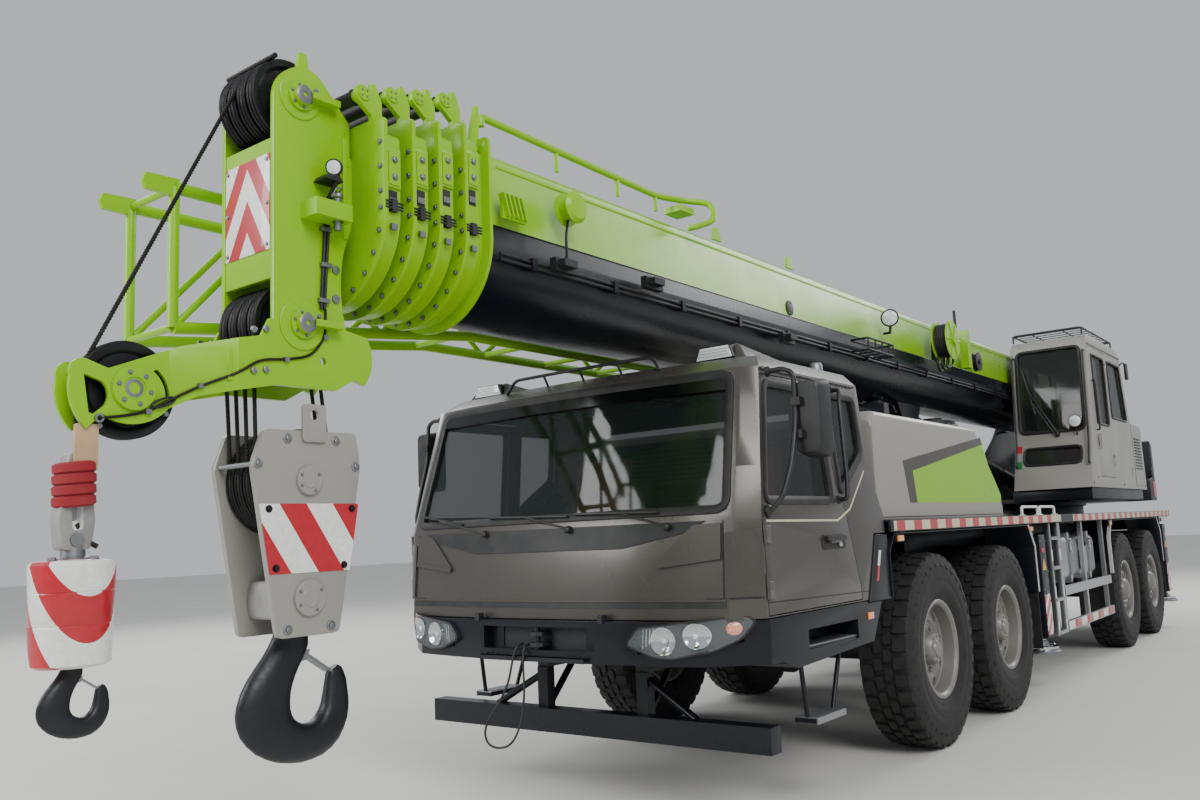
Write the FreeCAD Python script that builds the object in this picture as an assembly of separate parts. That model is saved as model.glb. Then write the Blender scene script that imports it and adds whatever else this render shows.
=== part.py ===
import FreeCAD, Part
import math
import os

# Four-axle all-terrain mobile crane, travel position, boom forward over the cab.
# Millimetres. X points forward, Y to the left, Z up from the ground.
# While building, x = 0 is the first axle; every node is moved by row_shift at export,
# so that the stored origin is under the middle of the whole machine.

V = FreeCAD.Vector

# overall machine
body_half = 1375.0
cab_inset = 25.0
run_gap = 5.0
seat_gap = 0.3

# wheels and axles
axle_x = [0.0, -1596.0, -6312.0, -7922.0]
steered_axles = 2
wheel_radius = 672.0
tyre_width = 385.0
tyre_outer_y = body_half - 14.0
wheel_y = tyre_outer_y - tyre_width / 2
bead_radius = 322.0
rim_wall = 14.0
spindle_radius = 50.0
hub_radius = 105.0
kingpin_y = 930.0
kingpin_radius = 38.0
axle_tube_radius = 95.0

# main frame and deck
frame_half = 430.0
frame_wall = 90.0
frame_bottom = 950.0
frame_top = 1500.0
frame_rear_x = -9340.0
frame_box_x = -1750.0
bumper_rear_x = 2300.0
nose_rail_front_x = bumper_rear_x - seat_gap
nose_rail_bottom = 760.0
nose_rail_top = 1040.0
deck_top = 1583.0
deck_plate = 12.0
deck_edge_height = 77.0
deck_edge_wall = 20.0
deck_front_x = 839.0
deck_rear_x = -9461.0
guard_post_x = [-5420.0, -4480.0, -3560.0]
deck_beam_x = [-9400.0, -8500.0, -7100.0, -2400.0, 600.0] + guard_post_x
boom_rest_x = -2100.0
boom_rest_gap = 26.0

# slewing ring
slew_x = -7050.0
ring_radius = 760.0
ring_top = 1690.0

# driver's cab
cab_rear_x = 880.0
cab_upper_rear_x = 1000.0
cab_half = body_half - cab_inset
bumper_corner_y = cab_half - 290
beam_half = body_half - 103
cab_wall = 45.0
cab_floor_z = 1100.0
cab_belt_z = 1620.0
cab_shoulder_z = 2460.0
cab_roof_z = 2540.0
door_front_x = 2485.0
door_rear_x = 1310.0
door_bottom_z = 1106.0
door_top_z = 2420.0
door_gap = 6.0
door_depth = 145.0
hinge_radius = 11.0
door_hinge_x = 2492.0
door_hinge_z = [1240.0, 1530.0]
glass_thick = 8.0
glass_inset = 15.0
sill_bottom_front = (2190.0, 812.0)
sill_bottom_rear = (1180.0, 850.0)
bumper_top = 1094.0
guard_outer_y = body_half - 35.0

# engine hood
hood_half = body_half - 75.0
hood_wall = 20.0
hood_top = 2316.0
hood_front_x = 850.0
hood_ridge_x = -1290.0
hood_step = (-1585.0, 1975.0)
hood_rear_x = -1840.0
hood_tail_z = 1720.0
hood_round = 45.0

# outriggers
outrigger_x = [-2850.0, -9100.0]
beam_width = 230.0
beam_height = 300.0
beam_bottom = 1000.0
beam_pitch = 270.0
beam_inner_y = 1150.0
outrigger_wall = 20.0
jack_y = body_half - 113.0
jack_half = 100.0
jack_rod_radius = 52.0
pad_radius = 150.0
pad_bottom = 335.0
pad_height = 60.0

# boom
boom_axis_z = 3120.0
boom_top_z = 3610.0
boom_half = 380.0
section_pitch = 45.0
boom_wall = 12.0
slide_gap = 0.5
base_rear_x = -7900.0
collar_x = [3700.0, 3880.0, 4050.0, 4225.0]
roller_ahead = 48.0
roller_rise = 205.0
roller_radius = 30.0
horn_outer_y = 358.0
section_rear_step = 200.0
collar_plate = 22.0
collar_half = 440.0
pivot_x = -8350.0
pivot_z = 3050.0
pivot_radius = 70.0

# derrick cylinder
foot_x = -6600.0
foot_z = 2000.0
eye_x = -2900.0
eye_z = 2590.0
barrel_radius = 150.0
derrick_rod_radius = 100.0
eye_half = 105.0

# boom head
head_front_x = 4660.0
head_rear_x = 4240.0
head_tube_front = 4310.0
head_half = 205.0
head_plate = 25.0
head_top_z = 3780.0
ear_bore_radius = 28.0
head_bottom_z = 2270.0
head_sheave_radius = 200.0
sheave_groove = 24.0
rope_radius = 11.0
top_sheave_at = (4525.0, 3625.0)
low_sheave_at = (4515.0, 2555.0)
hang_at = (4400.0, 2400.0)
nose_half = 66.0
nose_plate = 18.0
sheave_rows = [-111.0, -37.0, 37.0, 111.0]
nose_splay_start = 4830.0
nose_splay_end = 5060.0
nose_sheave_at = (5210.0, 2220.0)
nose_sheave_radius = 200.0
nose_tip_x = 5455.0

# hook blocks
block_x = 4450.0
block_half = 160.0
block_cheek = 30.0
block_sheave_radius = 235.0
block_sheave_z = 1860.0
lug_hole = (4426.0, 2155.0)
lug_bore = 22.0
lug_thick = head_half - head_plate - run_gap - block_half
# a rope leaves a sheave this far from the sheave's centre
rope_reach = rope_radius + seat_gap - sheave_groove
aux_x = nose_sheave_at[0] + nose_sheave_radius + rope_reach
main_shank = 46.0
hook_scale = 1.0
aux_shank = 22.0
aux_hook_scale = 0.46
aux_weight_radius = 152.7
aux_weight_bottom = 1160.0
block_bottom = 1180.0

# superstructure
table_bottom = ring_top + 0.5
table_top = 1800.0
cheek_inner = boom_half + run_gap
cheek_plate = 40.0
tail_x = -9750.0
tail_half = 1200.0
op_cab_inner = 445.0
op_cab_outer = body_half - 75.0
op_cab_wall = 40.0
op_floor_z = 1880.0
op_hinge_x = -6563.0
op_hinge_y = op_cab_outer + 10.0
op_hinge_radius = 9.0
op_hinge_z = [2200.0, 3350.0]

# the front end is the auxiliary weight, the rear end the counterweight
row_shift = -(aux_x + aux_weight_radius + tail_x) / 2


def box(x0, x1, y0, y1, z0, z1):
    return Part.makeBox(x1 - x0, y1 - y0, z1 - z0, V(x0, y0, z0))


def bar(start, end, radius):
    run = V(*end).sub(V(*start))
    return Part.makeCylinder(radius, run.Length, V(*start), run)


def pipe(start, end, outer, inner):
    return bar(start, end, outer).cut(bar(start, end, inner))


def side_plate(points, y0, y1):
    # prism of an x, z outline between two y values
    wire = Part.makePolygon([V(x, y0, z) for x, z in points + points[:1]])
    return Part.Face(wire).extrude(V(0, y1 - y0, 0))


def front_plate(points, x0, x1):
    wire = Part.makePolygon([V(x0, y, z) for y, z in points + points[:1]])
    return Part.Face(wire).extrude(V(x1 - x0, 0, 0))


def plan_plate(points, z0, z1):
    wire = Part.makePolygon([V(x, y, z0) for x, y in points + points[:1]])
    return Part.Face(wire).extrude(V(0, 0, z1 - z0))


def outline_face(rows):
    # rows of x, z, or x, z and a point that an arc to that end passes through
    ends = [V(row[0], 0, row[1]) for row in rows]
    edges = []
    for i, row in enumerate(rows):
        start = ends[i - 1]
        if len(row) == 4:
            edges.append(Part.Arc(start, V(row[2], 0, row[3]), ends[i]).toShape())
        else:
            edges.append(Part.makeLine(start, ends[i]))
    return Part.Face(Part.Wire(edges[1:] + edges[:1]))


def curved_plate(rows, y0, y1):
    shape = outline_face(rows).extrude(V(0, y1 - y0, 0))
    shape.translate(V(0, y0, 0))
    return shape


def mirror_y(shape):
    return shape.mirror(V(0, 0, 0), V(0, 1, 0))


def both_sides(shape):
    return [shape, mirror_y(shape)]


def fuse(shapes):
    return shapes[0].multiFuse(shapes[1:]).removeSplitter()


def group(shapes):
    return Part.makeCompound(shapes)


def cut_all(shape, tools):
    for tool in tools:
        shape = shape.cut(tool)
    return shape


# wheels

def wheel(x, side, bulge):
    # outline columns: distance from the wheel's middle plane towards the outside, radius
    half = tyre_width / 2
    tyre_outline = [(-150, bead_radius), (-165, 345), (-186, 420), (-half, 500), (-186, 580),
                    (-172, 632), (-150, 661), (-110, wheel_radius), (110, wheel_radius), (150, 661),
                    (172, 632), (186, 580), (half, 500), (186, 420), (165, 345), (150, bead_radius)]
    rim_out = bead_radius - seat_gap
    rim_outline = [(-150, rim_out), (150, rim_out), (150, rim_out - rim_wall),
                   (86, rim_out - rim_wall), (96, 240), (86, 160), (120, 140), (bulge, hub_radius),
                   (bulge + 30, 60), (bulge + 30, 0), (100, 0), (100, spindle_radius + seat_gap),
                   (-20, spindle_radius + seat_gap), (-20, hub_radius), (66, hub_radius), (66, 160),
                   (76, 240), (66, rim_out - rim_wall), (-150, rim_out - rim_wall)]
    solids = []
    for outline in (tyre_outline, rim_outline):
        points = [V(x, side * (wheel_y + s), wheel_radius + r) for s, r in outline]
        face = Part.Face(Part.makePolygon(points + points[:1]))
        solids.append(face.revolve(V(x, 0, wheel_radius), V(0, 1, 0), 360))
    return group(solids)


def knuckle(x, side):
    z = wheel_radius
    inner = kingpin_y - 50
    arm_top = box(x - 60, x + 60, inner, 1010, z + 86, z + 126)
    arm_low = box(x - 60, x + 60, inner, 1010, z - 126, z - 86)
    plate = bar((x, 990, z), (x, 1020, z), 160)
    drum = bar((x, 1020, z), (x, 1110, z), 210)
    spindle = bar((x, 1110, z), (x, wheel_y + 95, z), spindle_radius)
    pin = bar((x, kingpin_y, z - 126), (x, kingpin_y, z + 126), kingpin_radius)
    steer_arm = box(x - 260, x - 50, inner + 5, inner + 35, z - 124, z - 100)
    shape = fuse([arm_top, arm_low, plate, drum, spindle, pin, steer_arm])
    return shape if side > 0 else mirror_y(shape)


def axles():
    z = wheel_radius
    parts = []
    for number, x in enumerate(axle_x):
        steered = number < steered_axles
        end = kingpin_y - 95 if steered else 1000.0
        pieces = [bar((x, -end, z), (x, end, z), axle_tube_radius),
                  bar((x, -170, z), (x, 170, z), 215.0)]
        for side in (-1, 1):
            y = side * kingpin_y
            if steered:
                pieces.append(bar((x, y, z - 80), (x, y, z + 80), 58.0))
                pieces.append(bar((x, side * (end - 20), z), (x, y, z), 50.0))
            else:
                pieces.append(bar((x, side * 990, z), (x, side * 1110, z), 210.0))
                pieces.append(bar((x, side * 1110, z), (x, side * (wheel_y + 95), z), spindle_radius))
            strut_y = side * (frame_half + 75)
            pieces.append(bar((x, strut_y, z), (x, strut_y, frame_bottom + 250), 62.0))
        shape = fuse(pieces)
        if steered:
            for side in (-1, 1):
                y = side * kingpin_y
                shape = shape.cut(bar((x, y, z - 90), (x, y, z + 90), kingpin_radius + seat_gap))
        parts.append(shape)
    return group(parts)


# frame

def outrigger_box_shape(centre):
    half = beam_pitch / 2 + beam_width / 2 + outrigger_wall + run_gap
    return box(centre - half, centre + half, -beam_inner_y, beam_inner_y,
               beam_bottom - outrigger_wall, beam_bottom + beam_height + run_gap + outrigger_wall)


def chassis_frame():
    box_beam = box(frame_rear_x, frame_box_x, -frame_half, frame_half, frame_bottom, frame_top)
    inside = box(frame_rear_x + 40, frame_box_x - 60, -frame_half + 30, frame_half - 30,
                 frame_bottom + 30, frame_top - 30)
    pieces = [box_beam.cut(inside)]
    inner = frame_half - frame_wall
    for side in (-1, 1):
        rail = side_plate([(frame_box_x, frame_bottom), (700, frame_bottom), (950, nose_rail_bottom),
                           (nose_rail_front_x, nose_rail_bottom), (nose_rail_front_x, nose_rail_top),
                           (cab_rear_x - 20, nose_rail_top), (cab_rear_x - 40, 1300), (frame_box_x, 1300)],
                          min(side * inner, side * frame_half), max(side * inner, side * frame_half))
        pieces.append(rail)
        for mount_x in (1250.0, 2150.0):
            pieces.append(box(mount_x - 60, mount_x + 60, side * (inner + 45) - 40, side * (inner + 45) + 40,
                              nose_rail_top, cab_floor_z))
        for x in axle_x:
            pieces.append(box(x - 90, x + 90, side * (frame_half + 75) - 75, side * (frame_half + 75) + 75,
                              frame_bottom + 250, frame_bottom + 300))
    for cross_x in (-1600.0, 700.0, nose_rail_front_x - 70.0):
        low = frame_bottom if cross_x < 0 else nose_rail_bottom + (190 if cross_x < 1000 else 40)
        pieces.append(box(cross_x - 60, cross_x + 60, -inner, inner, low, low + 150))
    pieces.append(pipe((slew_x, 0, frame_top), (slew_x, 0, ring_top), ring_radius, ring_radius - 120))
    pieces.append(bar((slew_x, 0, frame_top - 30), (slew_x, 0, frame_top), ring_radius))
    shape = fuse(pieces)
    return cut_all(shape, [outrigger_box_shape(x) for x in outrigger_x])


def deck():
    bottom = deck_top - deck_plate
    plate = box(deck_rear_x, deck_front_x, -body_half, body_half, bottom, deck_top)
    plate = plate.cut(box(-1450, 450, -340, 340, bottom - 1, deck_top + 1))
    plate = plate.cut(bar((slew_x, 0, bottom - 1), (slew_x, 0, deck_top + 1), ring_radius + 20))
    edge_low = deck_top - deck_edge_height
    pieces = [plate]
    for side in both_sides(box(deck_rear_x, deck_front_x, body_half - deck_edge_wall, body_half,
                               edge_low, bottom)):
        pieces.append(side)
    for x in deck_beam_x:
        if abs(x - slew_x) < ring_radius:
            for side in both_sides(box(x - 40, x + 40, ring_radius + 30, body_half - deck_edge_wall,
                                       frame_top, bottom)):
                pieces.append(side)
        else:
            pieces.append(box(x - 40, x + 40, -body_half + deck_edge_wall, body_half - deck_edge_wall,
                              frame_top, bottom))
    pieces.append(box(deck_rear_x, deck_rear_x + deck_plate, -1240, 1240, 1330, bottom))
    # boom rest behind the hood
    rest_x = boom_rest_x
    rest_top = boom_axis_z - boom_half - boom_rest_gap
    for side in both_sides(side_plate([(rest_x - 90, deck_top), (rest_x + 90, deck_top),
                                       (rest_x + 60, rest_top), (rest_x - 60, rest_top)], 180, 230)):
        pieces.append(side)
    pieces.append(box(rest_x - 60, rest_x + 60, -180, 180, rest_top - 90, rest_top))
    return fuse(pieces)


def fenders():
    parts = []
    # x, z outlines of bent sheet: front pair of axles and rear pair
    top = frame_top - seat_gap
    arch_lines = [[(862, 1090), (862, 1380), (760, top), (-2300, top), (-2455, 1300), (-2455, 900)],
                  [(-5560, 900), (-5560, 1300), (-5700, top), (-8500, top), (-8680, 1300), (-8680, 900)]]
    thick = 9.0
    for line in arch_lines:
        outer = [(x, z) for x, z in line]
        inner = []
        for i, (x, z) in enumerate(line):
            inward = -1 if i < 3 else 1
            inner.append((x + inward * (thick if z < 1480 else 4), z - (thick if z > 1300 else 4 * (z > 1200))))
        for side in both_sides(side_plate(outer + inner[::-1], 960, tyre_outer_y + 1)):
            parts.append(side)
    # dark panel between the cab door and the first wheel
    for side in both_sides(side_plate([(1215, 1085), (1055, 1495), (862 + seat_gap, 1495), (862 + seat_gap, 1085)],
                                      cab_half - 290, cab_half + 2)):
        parts.append(side)
    return group(parts)


def engine():
    block = box(-1350, 350, -290, 290, 980, 1850)
    sump = box(-1200, -280, -200, 200, 860, 980)
    reach = frame_half - frame_wall - seat_gap
    feet = [box(x - 60, x + 60, -reach, reach, 1150, 1250) for x in (-1000.0, 0.0)]
    muffler = bar((-2150, 640, deck_top), (-2150, 640, 2470), 205.0)
    cap = bar((-2150, 640, 2470), (-2150, 640, 2510), 90.0)
    return group([fuse([block, sump] + feet), fuse([muffler, cap])])


def engine_hood():
    outline = [(hood_front_x, deck_top), (hood_front_x, hood_top - 66), (hood_front_x - 60, hood_top),
               (hood_ridge_x, hood_top), hood_step, (hood_rear_x, hood_tail_z), (hood_rear_x, deck_top)]
    outer = side_plate(outline, -hood_half, hood_half)
    top_edges = [e for e in outer.Edges
                 if abs(abs(e.BoundBox.YMin) - hood_half) < 1 and abs(e.BoundBox.YLength) < 1
                 and e.BoundBox.ZMin > hood_tail_z - 20]
    outer = outer.makeFillet(hood_round, top_edges)
    w = hood_wall
    inner_outline = [(hood_front_x - w, deck_top), (hood_front_x - w, hood_top - 76),
                     (hood_front_x - 70, hood_top - w), (hood_ridge_x + 10, hood_top - w),
                     (hood_step[0] + 15, hood_step[1] - 7), (hood_rear_x + w, hood_tail_z - 8),
                     (hood_rear_x + w, deck_top)]
    inner = side_plate(inner_outline, -hood_half + hood_round + 5, hood_half - hood_round - 5)
    return outer.cut(inner)


# driver's cab

def cab_section(z, rear, half, side_front, corner_x, corner_y, nose_x):
    left = [V(rear, half, z), V(side_front, half, z), V(corner_x, corner_y, z)]
    right = [V(p.x, -p.y, z) for p in left]
    edges = [Part.makeLine(right[0], left[0]), Part.makeLine(left[0], left[1]),
             Part.makeLine(left[1], left[2]),
             Part.Arc(left[2], V(nose_x, 0, z), right[2]).toShape(),
             Part.makeLine(right[2], right[1]), Part.makeLine(right[1], right[0])]
    return Part.Wire(edges)


def cab_body(inset):
    # columns: z, rear, half width, front end of the side wall, corner x, corner y, middle of the front
    rows = [(cab_floor_z + inset, cab_rear_x, cab_half, 2500.0, 2640.0, 1200.0, 2740.0),
            (cab_belt_z, cab_rear_x + 15, cab_half, 2500.0, 2590.0, 1235.0, 2690.0),
            (1900.0, cab_upper_rear_x, cab_half - 25, 2430.0, 2508.0, 1220.0, 2606.0),
            (cab_shoulder_z, cab_upper_rear_x, cab_half - 75, 2290.0, 2345.0, 1190.0, 2440.0),
            (cab_roof_z - inset, cab_upper_rear_x + 30, cab_half - 145, 2170.0, 2215.0, 1120.0, 2290.0)]
    solids = []
    for low, high in zip(rows, rows[1:]):
        wires = []
        for z, rear, half, side_front, corner_x, corner_y, nose_x in (low, high):
            wires.append(cab_section(z, rear + inset, half - inset, side_front - inset * 0.6,
                                     corner_x - inset, corner_y - inset, nose_x - inset))
        solids.append(Part.makeLoft(wires, True, True))
    return fuse(solids)


def door_outline(gap):
    return [(door_front_x - gap, door_bottom_z + gap), (door_front_x - gap, cab_belt_z),
            (2285 - gap, door_top_z - gap), (door_rear_x + 230 + gap, door_top_z - gap),
            (door_rear_x + 230 + gap, 1900), (door_rear_x + gap, 1190), (door_rear_x + gap, door_bottom_z + gap)]


door_window = [(2435, 1705), (2262, 2375), (1615, 2375), (1615, 1705)]
quarter_window = [(1485, 1750), (1485, 2375), (1085, 2375), (1085, 2010)]
screen_points = [(-1192.0, 1668.0), (1192.0, 1668.0), (1142.0, 2432.0), (-1142.0, 2432.0)]
rear_window = (-800.0, 800.0, 1940.0, 2330.0)


def wheel_corner_cut():
    # cab side is cut back where the dark panel and the first wheel are
    outline = [(800, cab_floor_z - 50), (1236, cab_floor_z - 50), (1066, 1505), (800, 1505)]
    return side_plate(outline, cab_half - 360, cab_half + 50)


def cab_hollow():
    shell = cab_body(0.0).cut(cab_body(cab_wall))
    for cutter in both_sides(wheel_corner_cut()):
        shell = shell.cut(cutter)
    y0, y1, z0, z1 = rear_window
    shell = shell.cut(box(cab_upper_rear_x - 20, cab_upper_rear_x + cab_wall + 10, y0, y1, z0, z1))
    shell = shell.cut(front_plate(screen_points, 2150, 2900))
    for outline in (door_window, quarter_window):
        for cutter in both_sides(side_plate(outline, cab_half - door_depth, cab_half + 20)):
            shell = shell.cut(cutter)
    return shell


def split_cab():
    shell = cab_hollow()
    opening = side_plate(door_outline(0.0), cab_half - door_depth, cab_half + 50)
    leaf = side_plate(door_outline(door_gap), cab_half - door_depth, cab_half + 50)
    body = shell.cut(opening).cut(mirror_y(opening))
    left = shell.common(leaf)
    inner_wall = wheel_arch_wall()
    body = fuse([body] + both_sides(inner_wall) + both_sides(fuse(cab_hinges())))
    return body, left


def wheel_arch_wall():
    # closes the cab behind the cut-back corner
    y = cab_half - 360 - 20
    return side_plate([(cab_rear_x + 10, cab_floor_z + 20), (1236, cab_floor_z + 20),
                       (1066, 1525), (cab_rear_x + 10, 1525)], y, y + 20)


def cab_hinges():
    # the cab's half of each door hinge, just above the door's half, the pin on door_hinge_x
    y = cab_half + hinge_radius + 1
    pieces = []
    for z in door_hinge_z:
        pieces.append(bar((door_hinge_x, y, z + 45 + seat_gap), (door_hinge_x, y, z + 85), hinge_radius))
        pieces.append(box(door_hinge_x - 3, door_hinge_x + 5, cab_half - 8, y, z + 45 + seat_gap, z + 85))
    return pieces


def glass_skin(cutter):
    # pane that follows the cab's own surface
    return cab_body(glass_inset).cut(cab_body(glass_inset + glass_thick)).common(cutter)


def door_with_glass(leaf):
    y = cab_half + hinge_radius + 1
    pieces = [leaf, glass_skin(side_plate(door_window, cab_half - door_depth, cab_half + 20)),
              box(1600, 1740, cab_half - 2, cab_half + 28, 1462, 1494)]
    for z in door_hinge_z:
        pieces.append(bar((door_hinge_x, y, z - 45), (door_hinge_x, y, z + 45), hinge_radius))
        pieces.append(box(door_front_x - 60, door_front_x - door_gap, cab_half - 2, y, z - 45, z + 45))
        pieces.append(box(door_front_x - door_gap - 1, door_hinge_x, cab_half + 2, y, z - 45, z + 45))
    return fuse(pieces)


def mirror_left():
    arm = [(2420, cab_half + 12, 1650), (2400, cab_half + 80, 1720), (2330, cab_half + 110, 1900),
           (2240, cab_half + 110, 2400), (2240, cab_half - 40, 2400)]
    pieces = [bar(a, b, 14.0) for a, b in zip(arm, arm[1:])]
    for x, y, z in (arm[0], arm[-1]):
        foot_y = cab_half + seat_gap if z < 2000 else cab_half - 66
        pieces.append(box(x - 30, x + 30, foot_y, foot_y + 40, z - 30, z + 30))
    for joint in arm[1:-1]:
        pieces.append(Part.makeSphere(14.0, V(*joint)))
    head = box(2060, 2240, cab_half + 85, cab_half + 255, 1930, 2370)
    head = head.makeFillet(35.0, head.Edges)
    pieces.append(head)
    return fuse(pieces)


def cab_glass():
    parts = [glass_skin(front_plate(screen_points, 2150, 2900))]
    for side in both_sides(glass_skin(side_plate(quarter_window, cab_half - door_depth, cab_half + 20))):
        parts.append(side)
    y0, y1, z0, z1 = rear_window
    parts.append(box(cab_upper_rear_x + 20, cab_upper_rear_x + 20 + glass_thick, y0, y1, z0, z1))
    return group(parts)


def dashboard():
    body = side_plate([(2560, 1200), (2540, 1600), (2470, 1650), (2160, 1590), (2200, 1340), (2320, 1160)],
                      -1050, 1050)
    wheel_centre = V(2010, 620, 1640)
    wheel_axis = V(-0.35, 0, 0.94)
    ring = Part.makeTorus(225.0, 16.0, wheel_centre, wheel_axis)
    column = bar((2010, 620, 1640), (2240, 620, 1420), 30.0)
    spokes = [bar((2010, 620, 1640), (2010, 620 + side * 215, 1640), 12.0) for side in (-1, 1)]
    floor_mount = box(2250, 2500, -1000, 1000, cab_floor_z + cab_wall, 1200)
    return fuse([body, ring, column, floor_mount] + spokes)


def seat_shape(x, y, width):
    half = width / 2
    low = cab_floor_z + cab_wall
    base = box(x - 180, x + 200, y - half * 0.7, y + half * 0.7, low, low + 180)
    cushion = side_plate([(x - 250, low + 180), (x + 270, low + 180), (x + 270, low + 300),
                          (x - 250, low + 290)], y - half, y + half)
    back = side_plate([(x - 250, low + 290), (x - 110, low + 290), (x - 240, low + 1000),
                       (x - 360, low + 1000)], y - half, y + half)
    return fuse([base, cushion, back])


def seats():
    return group([seat_shape(1560, 620, 520), seat_shape(1560, -620, 520)])


def bumper():
    thick = 70.0
    low, high = 865.0, bumper_top
    outer_y = cab_half - 2
    def plan(inset, z):
        left = [V(bumper_rear_x, outer_y - inset, z), V(2480, outer_y - inset, z),
                V(2700 - inset, bumper_corner_y - inset, z)]
        right = [V(p.x, -p.y, z) for p in left]
        return Part.Wire([Part.makeLine(right[0], left[0]), Part.makeLine(left[0], left[1]),
                          Part.makeLine(left[1], left[2]),
                          Part.Arc(left[2], V(2800 - inset, 0, z), right[2]).toShape(),
                          Part.makeLine(right[2], right[1]), Part.makeLine(right[1], right[0])])
    outer = Part.Face(plan(0.0, low)).extrude(V(0, 0, high - low))
    inner = Part.Face(plan(thick, low)).extrude(V(0, 0, high - low))
    inner = inner.cut(box(2000, bumper_rear_x + 60, -1400, 1400, low, high))
    shell = outer.cut(inner)
    lip = cab_lip()
    pocket = [side for side in both_sides(headlamp_pocket(0.0))]
    shell = fuse([shell, lip])
    shell = shell.cut(box(2720, 2900, -420, 420, 930, 1060))
    shell = cut_all(shell, pocket)
    # sill boxes with a step on each side
    sill = side_plate([(2475, bumper_top), (2475, 900), sill_bottom_front, sill_bottom_rear, (1020, 1080),
                       (1232, 1080), (1232, bumper_top)], cab_half - 270, cab_half - 1)
    sill = sill.cut(box(1400, 2050, cab_half - 170, cab_half + 10, 890, 1000))
    step_y = cab_half - 100
    sill = fuse([sill, box(1405, 2045, cab_half - 180, cab_half - 10, 880, 905),
                 bar((1620, step_y, 500), (1460, step_y, 870), 14.0),
                 bar((1940, step_y, 500), (1990, step_y, 860), 14.0),
                 box(1600, 1960, step_y - 70, step_y + 70, 480, 505)])
    left_sill = sill.cut(Part.Face(plan(0.0, low - 200)).extrude(V(0, 0, 600)))
    return fuse([shell] + both_sides(left_sill))


def cab_lip():
    # raised rim above the bumper, under the cab's front
    return box(bumper_rear_x, bumper_rear_x + 60, -cab_half + 80, cab_half - 80, bumper_top - 60, bumper_top)


def headlamp_pocket(gap):
    outline = [(690.0 + gap, 925.0 + gap), (1240.0 - gap, 985.0 + gap), (1240.0 - gap, 1078.0 - gap),
               (760.0 + gap, 1060.0 - gap)]
    return front_plate(outline, 2520, 2850)


def lamps():
    parts = []
    lens = headlamp_pocket(2.0).common(cab_lens_body())
    for side in both_sides(lens):
        parts.append(side)
    pod = side_plate([(2170, cab_roof_z), (2120, cab_roof_z + 105), (2000, cab_roof_z + 110),
                      (1530, cab_roof_z + 50), (1500, cab_roof_z)], 700, 1130)
    pod = pod.common(front_plate([(710, cab_roof_z), (1130, cab_roof_z), (1060, cab_roof_z + 111),
                                  (790, cab_roof_z + 111)], 1500, 2170))
    for side in both_sides(pod):
        parts.append(side)
    parts.append(bar((1120, 1060, cab_roof_z), (1120, 1060, cab_roof_z + 95), 55.0))
    for side in both_sides(box(deck_rear_x - 40, deck_rear_x, 780, 1180, 1380, 1500)):
        parts.append(side)
    return group(parts)


def cab_lens_body():
    lens_y = cab_half - 20
    left = [V(2400, lens_y, 900), V(2495, lens_y, 900), V(2700, bumper_corner_y - 10, 900)]
    right = [V(p.x, -p.y, 900) for p in left]
    wire = Part.Wire([Part.makeLine(right[0], left[0]), Part.makeLine(left[0], left[1]),
                      Part.makeLine(left[1], left[2]),
                      Part.Arc(left[2], V(2794, 0, 900), right[2]).toShape(),
                      Part.makeLine(right[2], right[1]), Part.makeLine(right[1], right[0])])
    return Part.Face(wire).extrude(V(0, 0, 250))


def underrun_beam():
    front = 2408.0
    beam = box(front - 110, front, -beam_half, beam_half, 388, 528)
    pieces = [beam]
    for side in (-1, 1):
        y = side * (frame_half - frame_wall / 2)
        post_x = bumper_rear_x - 60
        pieces.append(box(post_x, bumper_rear_x + 10, y - 40, y + 40, 420, nose_rail_bottom))
        pieces.append(bar((front - 90, side * 760, 520), (post_x + 30, y, nose_rail_bottom - 30), 22.0))
        pieces.append(bar((post_x + 30, y, 500), (front - 400, y, nose_rail_bottom), 22.0))
    shape = fuse(pieces)
    return shape.cut(box(1900, nose_rail_front_x + 1, -600, 600, nose_rail_bottom, nose_rail_bottom + 100))


def side_guards():
    parts = []
    outer = guard_outer_y
    for side in (1, -1):
        rails = []
        y0, y1 = sorted((side * (outer - 30), side * outer))
        for z in (505.0, 840.0):
            rails.append(box(-5500, -3460, y0, y1, z - 45, z + 45))
        y0, y1 = sorted((side * (outer - 70), side * (outer - 30)))
        for x in guard_post_x:
            rails.append(box(x - 30, x + 30, y0, y1, 460, frame_top))
        parts.append(fuse(rails))
    return group(parts)


def side_tanks():
    parts = []
    for side in (1, -1):
        y0, y1 = sorted((side * 640.0, side * 1260.0))
        tank = box(-5150, -3790, y0, y1, 900, 1380)
        tank = tank.makeFillet(110.0, [e for e in tank.Edges if e.BoundBox.XLength > 1000])
        pieces = [tank]
        for x in (-4880.0, -4060.0):
            lower, upper = sorted((side * (frame_half), side * 1270.0))
            hoop = box(x - 30, x + 30, lower, upper, 886, 1394)
            pieces.append(hoop)
        parts.append(fuse(pieces))
    return group(parts)


def outrigger_boxes():
    parts = []
    for centre in outrigger_x:
        shape = outrigger_box_shape(centre)
        for side in (-1, 1):
            x = centre + side * beam_pitch / 2
            shape = shape.cut(box(x - beam_width / 2 - run_gap, x + beam_width / 2 + run_gap,
                                  -beam_inner_y - 10, beam_inner_y + 10,
                                  beam_bottom - slide_gap, beam_bottom + beam_height + run_gap))
        parts.append(shape)
    return group(parts)


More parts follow.
